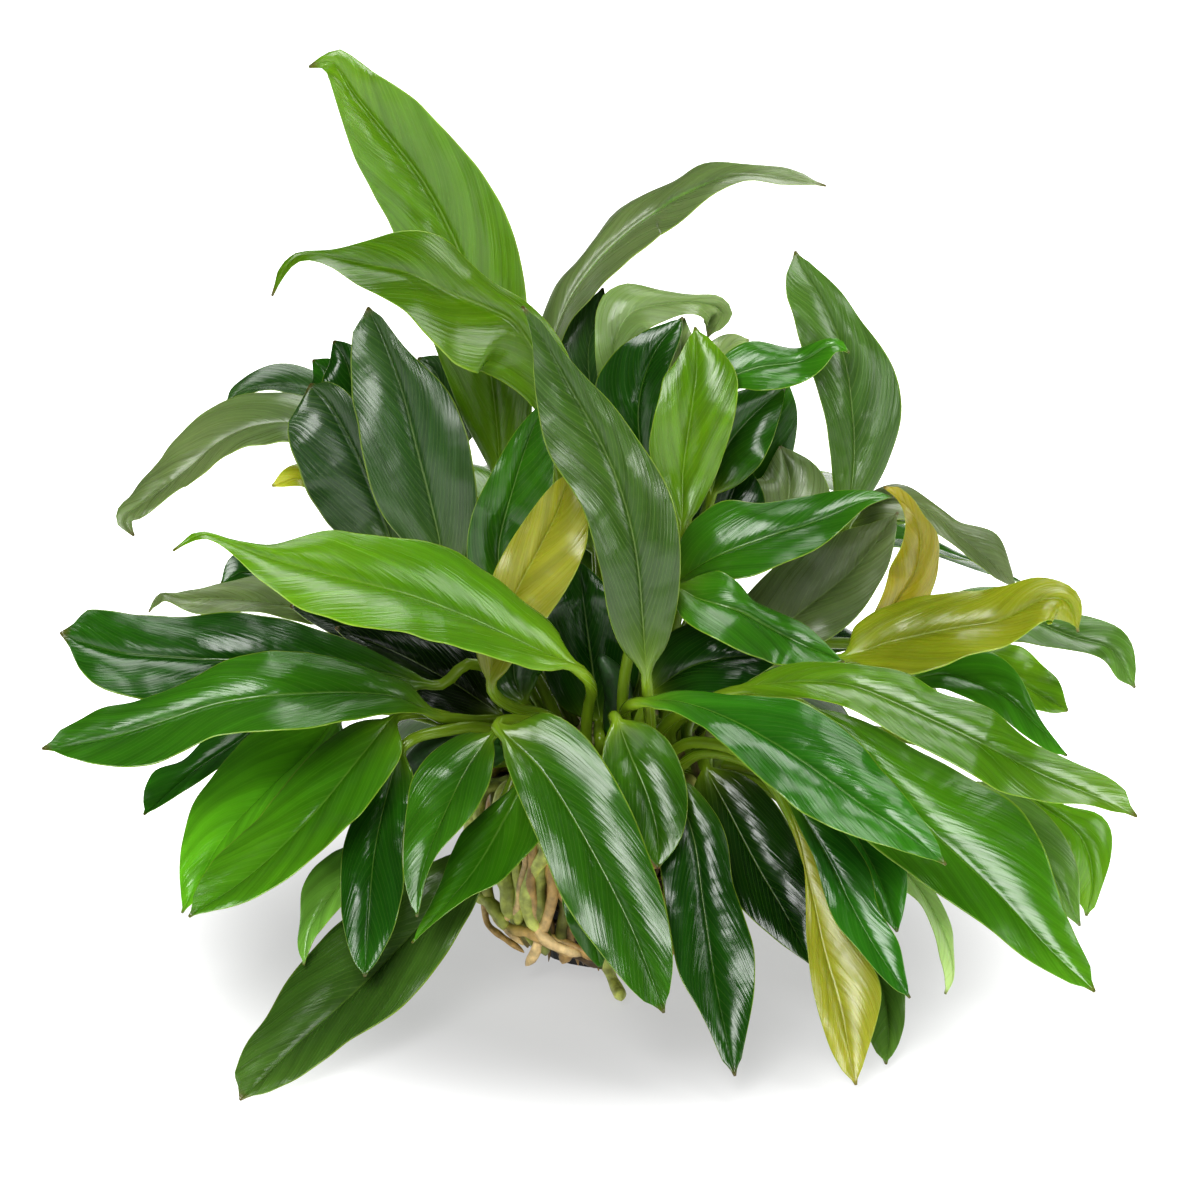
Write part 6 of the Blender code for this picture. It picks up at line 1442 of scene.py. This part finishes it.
def seen_root_path(root):
    """A seen root from the rhizome over the rim and through its pixels, bending out at the floor."""
    lowest = 0.4 * MM + root.radius
    points = []
    for pixel in root.pixels:
        ray = ray_of(pixel)
        flat = ray[0] ** 2 + ray[1] ** 2
        along = EYE[0] * ray[0] + EYE[1] * ray[1]
        missing = EYE[0] ** 2 + EYE[1] ** 2 - root.out**2
        reach = (-along - math.sqrt(max(along**2 - flat * missing, 0))) / flat
        point = EYE + reach * ray
        if point[2] < lowest:
            point = EYE + (lowest - EYE[2]) / ray[2] * ray
        points.append(point)
    start = min((axis[-2] for axis in AXES), key=lambda end: np.linalg.norm(end[:2] - points[0][:2]))
    reach = max(POT_LIP_RADIUS + root.radius + LIP_GAP, root.out - 1 * MM)
    return over_the_lip(start, turn_of(points[0]), reach, root.radius) + points


def tube_rings(points, radii, sides, looks=UP):
    """Rings of points round a line, one at each of its points."""
    tangent = unit(np.gradient(points, axis=0))
    side = unit(np.cross(tangent[0], looks + 0.01 * VIEW_RIGHT))
    turns = math.tau * np.arange(sides) / sides
    rings = []
    for point, direction, radius in zip(points, tangent, radii):
        side = unit(side - (side @ direction) * direction)
        other = np.cross(direction, side)
        rings.append(point + radius * (np.cos(turns)[:, None] * side + np.sin(turns)[:, None] * other))
    return np.array(rings)


def show_tubes(name, tubes, skin, node):
    """One piece from several tubes, closed at both ends, each with its rings and the colour of each ring."""
    points, faces, tints = [], [], []
    start = 0
    for rings, tint in tubes:
        rows, sides = rings.shape[:2]
        index = start + np.arange(rows * sides).reshape(rows, sides)
        faces += ring_faces(index) + [index[0, ::-1].tolist(), index[-1].tolist()]
        points.append(rings.reshape(-1, 3))
        tints.append(np.repeat(tint, sides, axis=0))
        start += rows * sides
    mesh = bpy.data.meshes.new(name)
    mesh.from_pydata(np.concatenate(points).tolist(), [], faces)
    paint(mesh, np.concatenate(tints), "root_colour")
    mesh.shade_smooth()
    mesh.materials.append(skin)
    show(name, mesh, node)


def wandering(rng, curve, reach, length):
    """The curve with slow sideways wanderings, nothing at its start."""
    at = lengths_along(curve)
    free = eased(at, 0, 12 * MM)
    moved = curve.copy()
    for k in range(3):
        turn = rng.uniform(0, math.tau)
        moved[:, k] += reach * free * np.sin(math.tau * at / (length * rng.uniform(0.7, 1.4)) + turn)
    return moved


def wave_along(rng, at, shortest, longest):
    """A sine along a length, its wave between these lengths in millimetres."""
    return np.sin(math.tau * at / (rng.uniform(shortest, longest) * MM) + rng.uniform(0, math.tau))


def knobbly(rng, at, radius, tip):
    """A root's radius along its length: slightly uneven, and tapering over its last stretch."""
    uneven = sum(wave_along(rng, at, 7, 19) for _ in range(3))
    taper = np.sqrt(np.clip((at[-1] - at) / tip, 0, 1))
    return radius * (1 + 0.055 * uneven) * np.maximum(taper, 0.12)


def root_tint(rng, at, kinds):
    """A root's colour along its length, between two of the root colours."""
    first, second = rng.choice(kinds)
    return mixed(first, second, 0.5 + 0.5 * wave_along(rng, at, 30, 70)) * rng.uniform(0.75, 1.2)


def root_tube(rng, path, radius, kind, ends=None):
    """A root's rings and the colour of each, from its first to its last colour where they are given."""
    curve = read_along(smooth_curve(path)[0], np.linspace(0, 1, kind.rows))
    curve = wandering(rng, curve, kind.wander, kind.wave)
    at = lengths_along(curve)
    radii = knobbly(rng, at, radius, kind.tip)
    tint = mixed(*ends, eased(at / at[-1], 0.5, 0.9)) if ends else root_tint(rng, at, kind.tints)
    curve[:, 2] = np.maximum(curve[:, 2], radius + FLOOR_CLEAR)
    return tube_rings(curve, radii, kind.sides), tint


def build_roots(skin):
    """The thick roots where their solids lie, and the finer ones that fill the mass between them."""
    rng = random.Random(5)
    roots = [(*root_path(rng, k), THICK_ROOT) for k in range(ROOT_COUNT)]
    roots += [(seen_root_path(root), root.radius, THICK_ROOT, root[-2:]) for root in SEEN_ROOTS]
    rng = random.Random(21)
    tubes = [root_tube(rng, *root) for root in roots]
    tubes += [root_tube(rng, *fine_root_path(rng, k), THIN_ROOT) for k in range(FINE_ROOT_COUNT)]
    show_tubes("roots_fine", tubes, skin, "rhizome_and_roots")


def build_young_leaves(skin):
    """The rolled leaves deep in the crown: spindles, dark green, paler at the foot, which also fill the
    crown's gaps with painted shade.
    """
    share = np.linspace(0, 1, YOUNG_ROWS)
    round_off = np.sqrt(np.clip(np.sin(math.pi * (0.04 + 0.955 * share)), 0, 1))
    tint = mixed(YOUNG_LEAF_SHADE_TINT * 2.5, YOUNG_LEAF_SHADE_TINT, eased(share, 0, 0.3))
    tubes = []
    for leaf in YOUNG_LEAVES:
        curve = read_along(smooth_curve([place(pixel, leaf.y) for pixel in leaf.path])[0], share)
        tubes.append((tube_rings(curve, leaf.radius * round_off, YOUNG_SIDES), tint))
    show_tubes("young_leaves", tubes, skin, "rhizome_and_roots")


def build_rhizome():
    """The rhizome's branches, ringed by old leaf scars."""
    tubes = []
    turns = np.linspace(0.15, 1.5, 9)
    round_end = np.concatenate((np.ones(BRANCH_ROWS), np.cos(turns)))
    for axis in AXES:
        points = read_along(axis, np.linspace(0, 1, BRANCH_ROWS))
        end = unit(points[-1] - points[-2]) * BRANCH_RADIUS
        points = np.vstack([points] + [points[-1] + math.sin(turn) * end for turn in turns])
        at = lengths_along(points)
        scars = 1 - 0.05 * np.abs(np.sin(math.pi * at / SCAR_SPACING)) ** 6
        tint = mixed(ROOT_OLIVE * 0.7, ROOT_DARK_AND_SHADE, 0.5 + 0.5 * np.cos(math.tau * at / SCAR_SPACING))
        tubes.append((tube_rings(points, BRANCH_RADIUS * round_end * scars, BRANCH_SIDES), tint))
    show_tubes("rhizome_fine", tubes, build_root_skin("rhizome_skin"), "rhizome_and_roots")


def build_leaves(foot_skin):
    """The fine leaves, each in the place of its solid or of its part of a shoot's solid."""
    leaves, courses, looks, shoots = lay_out()
    courses = settle(leaves, courses, looks)
    skins = {name: build_leaf_skin("leaf_" + name, finish) for name, finish in FINISHES.items()}
    for node, (foot, away, members) in shoots.items():
        single = len(members) == 1
        node = "leaf_" + node if single else node
        for i in members:
            leaf = leaves[i]
            mesh = leaf_mesh(leaf.name, fine_leaf(leaf, i, courses[i], looks[i]), i)
            mesh.materials.append(skins[finish_of(leaf)])
            show(("leaf_" if single else "blade_") + leaf.name + "_fine", mesh, node)
        if not single:
            reach = np.linspace(0, 1, FOOT_ROWS)[:, None]
            points = foot + away * (SHOOT_HEIGHT + FOOT_GAP) * reach - away * FOOT_GAP
            radii = SHOOT_RADIUS * (1.05 - 0.35 * reach[:, 0] ** 2)
            tube = tube_rings(points, radii, FOOT_SIDES, VIEW_RIGHT), np.tile(STALK_COLOUR, (FOOT_ROWS, 1))
            show_tubes(node + "_foot", [tube], foot_skin, node)


def show(name, mesh, node):
    """Puts a piece in the scene, on the one body, in the place of a node."""
    piece = bpy.data.objects.new(name, mesh)
    bpy.context.scene.collection.objects.link(piece)
    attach(piece, "root")
    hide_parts(node)


# Noise values lie between these for the most part.
NOISE_ENDS = (0.3, 0.7)
WHITE = (1, 1, 1, 1)

# The scale and the detail of a noise.
ROOT_MOTTLE = (260, 4)
ROOT_WRINKLES = (700, 3)
ROOT_MOTTLE_SHADES = (0.55, 1.35)
ROOT_WRINKLE_HEIGHT = 0.3 * MM
ROOT_SHADING = {
    "Roughness": 0.48,
    "Subsurface Weight": 0.12,
    "Subsurface Radius": (1.0, 0.6, 0.3),
    "Subsurface Scale": 1.5 * MM,
}

# A streak's scales across and along the side veins, its detail, and its lowest and highest value.
BROAD_STREAK = (0.9, 0.30, 2, 0.82, 1.20)
FINE_STREAK = (5.0, 0.8, 2, 0.94, 1.07)
SWELL = (2.6, 1.1, 2, 0.0, 1.0)
RIDGES = (14.0, 1.6, 3, 0.0, 1.0)
GLOSS_STREAK = (3.0, 1.2, 3)
GLOSSIER = 0.05
DULLER = 0.10
SWELL_HEIGHT = 0.14 * MM
RIDGE_HEIGHT = 0.025 * MM
VEIN_DEPTH = 0.035 * MM
LEAF_BUMPS = 0.5
VEIN_WAVES = {"Scale": 0.72, "Distortion": 1.6, "Detail": 2, "Detail Scale": 0.7}
VEIN_LINE = (0.90, 1.0)
VEIN_SHARE = 0.6
VEIN_COLOUR = (0.06, 0.09, 0.02, 1)
LEAF_SHADING = {
    "IOR": 1.47,
    "Specular IOR Level": 0.42,
    "Subsurface Radius": (0.3, 1.0, 0.1),
    "Subsurface Scale": 1.2 * MM,
}


def new_skin(name):
    """A new material, with its nodes and its shader."""
    material = bpy.data.materials.new(name)
    material.use_nodes = True
    return material, material.node_tree, material.node_tree.nodes["Principled BSDF"]


def feed(tree, node, inputs):
    """Gives a node's inputs their values, or links them where the value is another node's output."""
    for name, value in inputs.items():
        if isinstance(value, bpy.types.NodeSocket):
            tree.links.new(value, node.inputs[name])
        else:
            node.inputs[name].default_value = value


def add_node(tree, kind, output, inputs, **settings):
    """The named output of a new node with these inputs and settings."""
    node = tree.nodes.new("ShaderNode" + kind)
    for name, value in settings.items():
        setattr(node, name, value)
    feed(tree, node, inputs)
    return node.outputs[output]


def noise(tree, place_on, scale, detail):
    return add_node(tree, "TexNoise", "Fac", {"Vector": place_on, "Scale": scale, "Detail": detail})


def ranged(tree, value, ends, results, shape="LINEAR"):
    """A value carried over from between these ends to between these results."""
    inputs = dict(zip(("Value", "From Min", "From Max", "To Min", "To Max"), (value, *ends, *results)))
    return add_node(tree, "MapRange", "Result", inputs, interpolation_type=shape)


def scaled(tree, colour, share):
    return add_node(tree, "VectorMath", "Vector", {0: colour, "Scale": share}, operation="SCALE")


def bump(tree, height, distance, strength, over=None, invert=False):
    """The surface direction over bumps of this height, on top of other bumps where they are given."""
    inputs = {"Height": height, "Distance": distance, "Strength": strength}
    if over is not None:
        inputs["Normal"] = over
    return add_node(tree, "Bump", "Normal", inputs, invert=invert)


def build_root_skin(name):
    """Root skin: the colour at each point, mottled, with fine wrinkles."""
    material, tree, shader = new_skin(name)
    colour = add_node(tree, "Attribute", "Color", {}, attribute_name="root_colour")
    place_on = add_node(tree, "TexCoord", "Object", {})
    mottle = ranged(tree, noise(tree, place_on, *ROOT_MOTTLE), NOISE_ENDS, ROOT_MOTTLE_SHADES)
    bumps = bump(tree, noise(tree, place_on, *ROOT_WRINKLES), ROOT_WRINKLE_HEIGHT, 0.6)
    feed(tree, shader, {"Base Color": scaled(tree, colour, mottle), "Normal": bumps, **ROOT_SHADING})
    return material


def build_leaf_skin(name, finish):
    """A leaf's material: the colour at each point, with streaks and side veins, a soft gloss and ripples."""
    material, tree, shader = new_skin(name)
    colour = add_node(tree, "Attribute", "Color", {}, attribute_name="blade_colour")
    veins = add_node(tree, "UVMap", "UV", {}, uv_map="veins")

    def streak(across, along, detail, low, high):
        stretched = add_node(tree, "Mapping", "Vector", {"Vector": veins, "Scale": (across, along, 1)})
        return ranged(tree, noise(tree, stretched, 1, detail), NOISE_ENDS, (low, high))

    streaks = {0: streak(*BROAD_STREAK), 1: streak(*FINE_STREAK)}
    shade = add_node(tree, "Math", "Value", streaks, operation="MULTIPLY")
    waves = {"Vector": veins, **VEIN_WAVES}
    wave = add_node(tree, "TexWave", "Fac", waves, wave_type="BANDS", bands_direction="X")
    line = ranged(tree, wave, VEIN_LINE, (0.0, VEIN_SHARE * finish.veins))
    colours = {"Fac": line, "Color1": scaled(tree, colour, shade), "Color2": VEIN_COLOUR}
    swell = bump(tree, streak(*SWELL), SWELL_HEIGHT, LEAF_BUMPS)
    ridges = bump(tree, streak(*RIDGES), RIDGE_HEIGHT, LEAF_BUMPS, swell)
    feed(tree, shader, {
        "Base Color": add_node(tree, "MixRGB", "Color", colours, blend_type="SCREEN"),
        "Roughness": streak(*GLOSS_STREAK, finish.roughness - GLOSSIER, finish.roughness + DULLER),
        "Normal": bump(tree, line, VEIN_DEPTH, LEAF_BUMPS, ridges, invert=True),
        "Subsurface Weight": finish.glow,
        **LEAF_SHADING,
    })
    return material


class Mottled(NamedTuple):
    """A plain mottled material: two colours, the scale of its spots, its roughness and its fine bumps."""

    name: str
    dark: tuple
    light: tuple
    scale: float
    roughness: float
    height: float


POT_PLASTIC = Mottled("pot_plastic_skin", (0.010, 0.010, 0.010), (0.020, 0.020, 0.019), 500, 0.42, 0.05 * MM)
WOOL = Mottled("medium_wool_skin", (0.030, 0.020, 0.012), (0.150, 0.105, 0.060), 420, 0.95, 1.2 * MM)


def mottled_skin(name, dark, light, scale, roughness, height):
    material, tree, shader = new_skin(name)
    mottle = noise(tree, add_node(tree, "TexCoord", "Object", {}), scale, 6)
    ramp = tree.nodes.new("ShaderNodeValToRGB")
    feed(tree, ramp, {"Fac": mottle})
    for element, position, colour in zip(ramp.color_ramp.elements, (0.35, 0.68), (dark, light)):
        element.position = position
        element.color = (*colour, 1)
    bumps = bump(tree, mottle, height, 0.7)
    feed(tree, shader, {"Base Color": ramp.outputs["Color"], "Normal": bumps, "Roughness": roughness})
    return material


def dress_pot():
    """The pot and its plug keep their solids and get materials."""
    for node, look in (("net_pot", POT_PLASTIC), ("growing_medium", WOOL)):
        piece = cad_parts[node]
        piece.data.materials.clear()
        piece.data.materials.append(mottled_skin(*look))


FLOOR_SIZE = 14
FLOOR_WHITE = 0.80
# Painted shadow under the plant: the floor's colour and glow are lower near it, within these radii.
FLOOR_PAINTED_SHADOW = 0.15
FLOOR_PAINTED_SHADOW_RADII = (0.11, 0.24)
FLOOR_GLOW_RADII = (0.09, 0.23)
FLOOR_GLOW_IN_SHADOW = 0.44


def build_floor():
    """A white floor that glows, with a painted shadow: darker, and glowing less, near the plant, so it fades
    softly.
    """
    half = FLOOR_SIZE / 2
    mesh = bpy.data.meshes.new("floor")
    square = [(-half, -half, 0), (half, -half, 0), (half, half, 0), (-half, half, 0)]
    mesh.from_pydata(square, [], [(0, 1, 2, 3)])
    piece = bpy.data.objects.new("floor", mesh)
    material, tree, shader = new_skin("floor")
    place_on = add_node(tree, "TexCoord", "Object", {})
    reach = add_node(tree, "VectorMath", "Value", {0: place_on}, operation="LENGTH")
    feed(tree, shader, {
        "Base Color": ranged(tree, reach, FLOOR_PAINTED_SHADOW_RADII, (FLOOR_PAINTED_SHADOW, FLOOR_WHITE), "SMOOTHSTEP"),
        "Emission Strength": ranged(tree, reach, FLOOR_GLOW_RADII, (FLOOR_GLOW_IN_SHADOW, 1.0), "SMOOTHSTEP"),
        "Emission Color": WHITE,
        "Roughness": 0.6,
        "Specular IOR Level": 0.15,
    })
    mesh.materials.append(material)
    bpy.context.scene.collection.objects.link(piece)


class Softbox(NamedTuple):
    """An area light: where it stands, the square it shines from and how bright it is."""

    name: str
    place: tuple
    size: float
    energy: float


SOFTBOXES = (
    Softbox("key", (-0.28, -1.02, 1.02), 0.60, 16),
    Softbox("overhead", (0.25, -0.10, 1.45), 0.50, 5),
    Softbox("overhead_back", (0.20, 0.75, 1.00), 0.70, 7),
    Softbox("side_right", (1.10, -0.25, 0.75), 0.50, 5),
    Softbox("camera_side", (0.40, -1.35, 0.55), 0.35, 2.5),
)
LIGHTS_AIM = (0.0, 0.0, 0.12)
WORLD_STRENGTH = 0.07
HORIZON_HEIGHTS = (0.04, 0.13)
SENSOR_WIDTH = 36


def stand(name, data, place_at, looks_along):
    """Puts a lamp or a camera in the scene, turned to look along this direction."""
    thing = bpy.data.objects.new(name, data)
    thing.location = place_at
    thing.rotation_euler = looks_along.to_track_quat("-Z", "Y").to_euler()
    bpy.context.scene.collection.objects.link(thing)
    return thing


def build_lights():
    """The softboxes, and a dim room that is white along the horizon, where the floor ends."""
    for box in SOFTBOXES:
        lamp = bpy.data.lights.new(box.name, "AREA")
        lamp.size = box.size
        lamp.energy = box.energy
        stand(box.name, lamp, box.place, Vector(LIGHTS_AIM) - Vector(box.place))
    world = bpy.data.worlds.new("studio")
    world.use_nodes = True
    tree = world.node_tree
    height = add_node(tree, "SeparateXYZ", "Z", {"Vector": add_node(tree, "TexCoord", "Generated", {})})
    strength = ranged(tree, height, HORIZON_HEIGHTS, (1.0, WORLD_STRENGTH), "SMOOTHSTEP")
    feed(tree, tree.nodes["Background"], {"Color": WHITE, "Strength": strength})
    bpy.context.scene.world = world
    bpy.context.scene.view_settings.view_transform = "Standard"
    bpy.context.scene.view_settings.look = "Medium High Contrast"


def build_camera():
    """The camera stands where the front view is seen from."""
    data = bpy.data.cameras.new("camera")
    data.sensor_width = SENSOR_WIDTH
    data.lens = SENSOR_WIDTH * VIEW_FOCAL_PIXELS / (2 * PICTURE_MIDDLE)
    bpy.context.scene.camera = stand("camera", data, EYE, Vector(VIEW_FORWARD))


def main():
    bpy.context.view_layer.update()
    build_camera()
    build_lights()
    build_floor()
    dress_pot()
    build_rhizome()
    root_skin = build_root_skin("root_skin")
    build_roots(root_skin)
    build_young_leaves(root_skin)
    build_leaves(root_skin)


main()
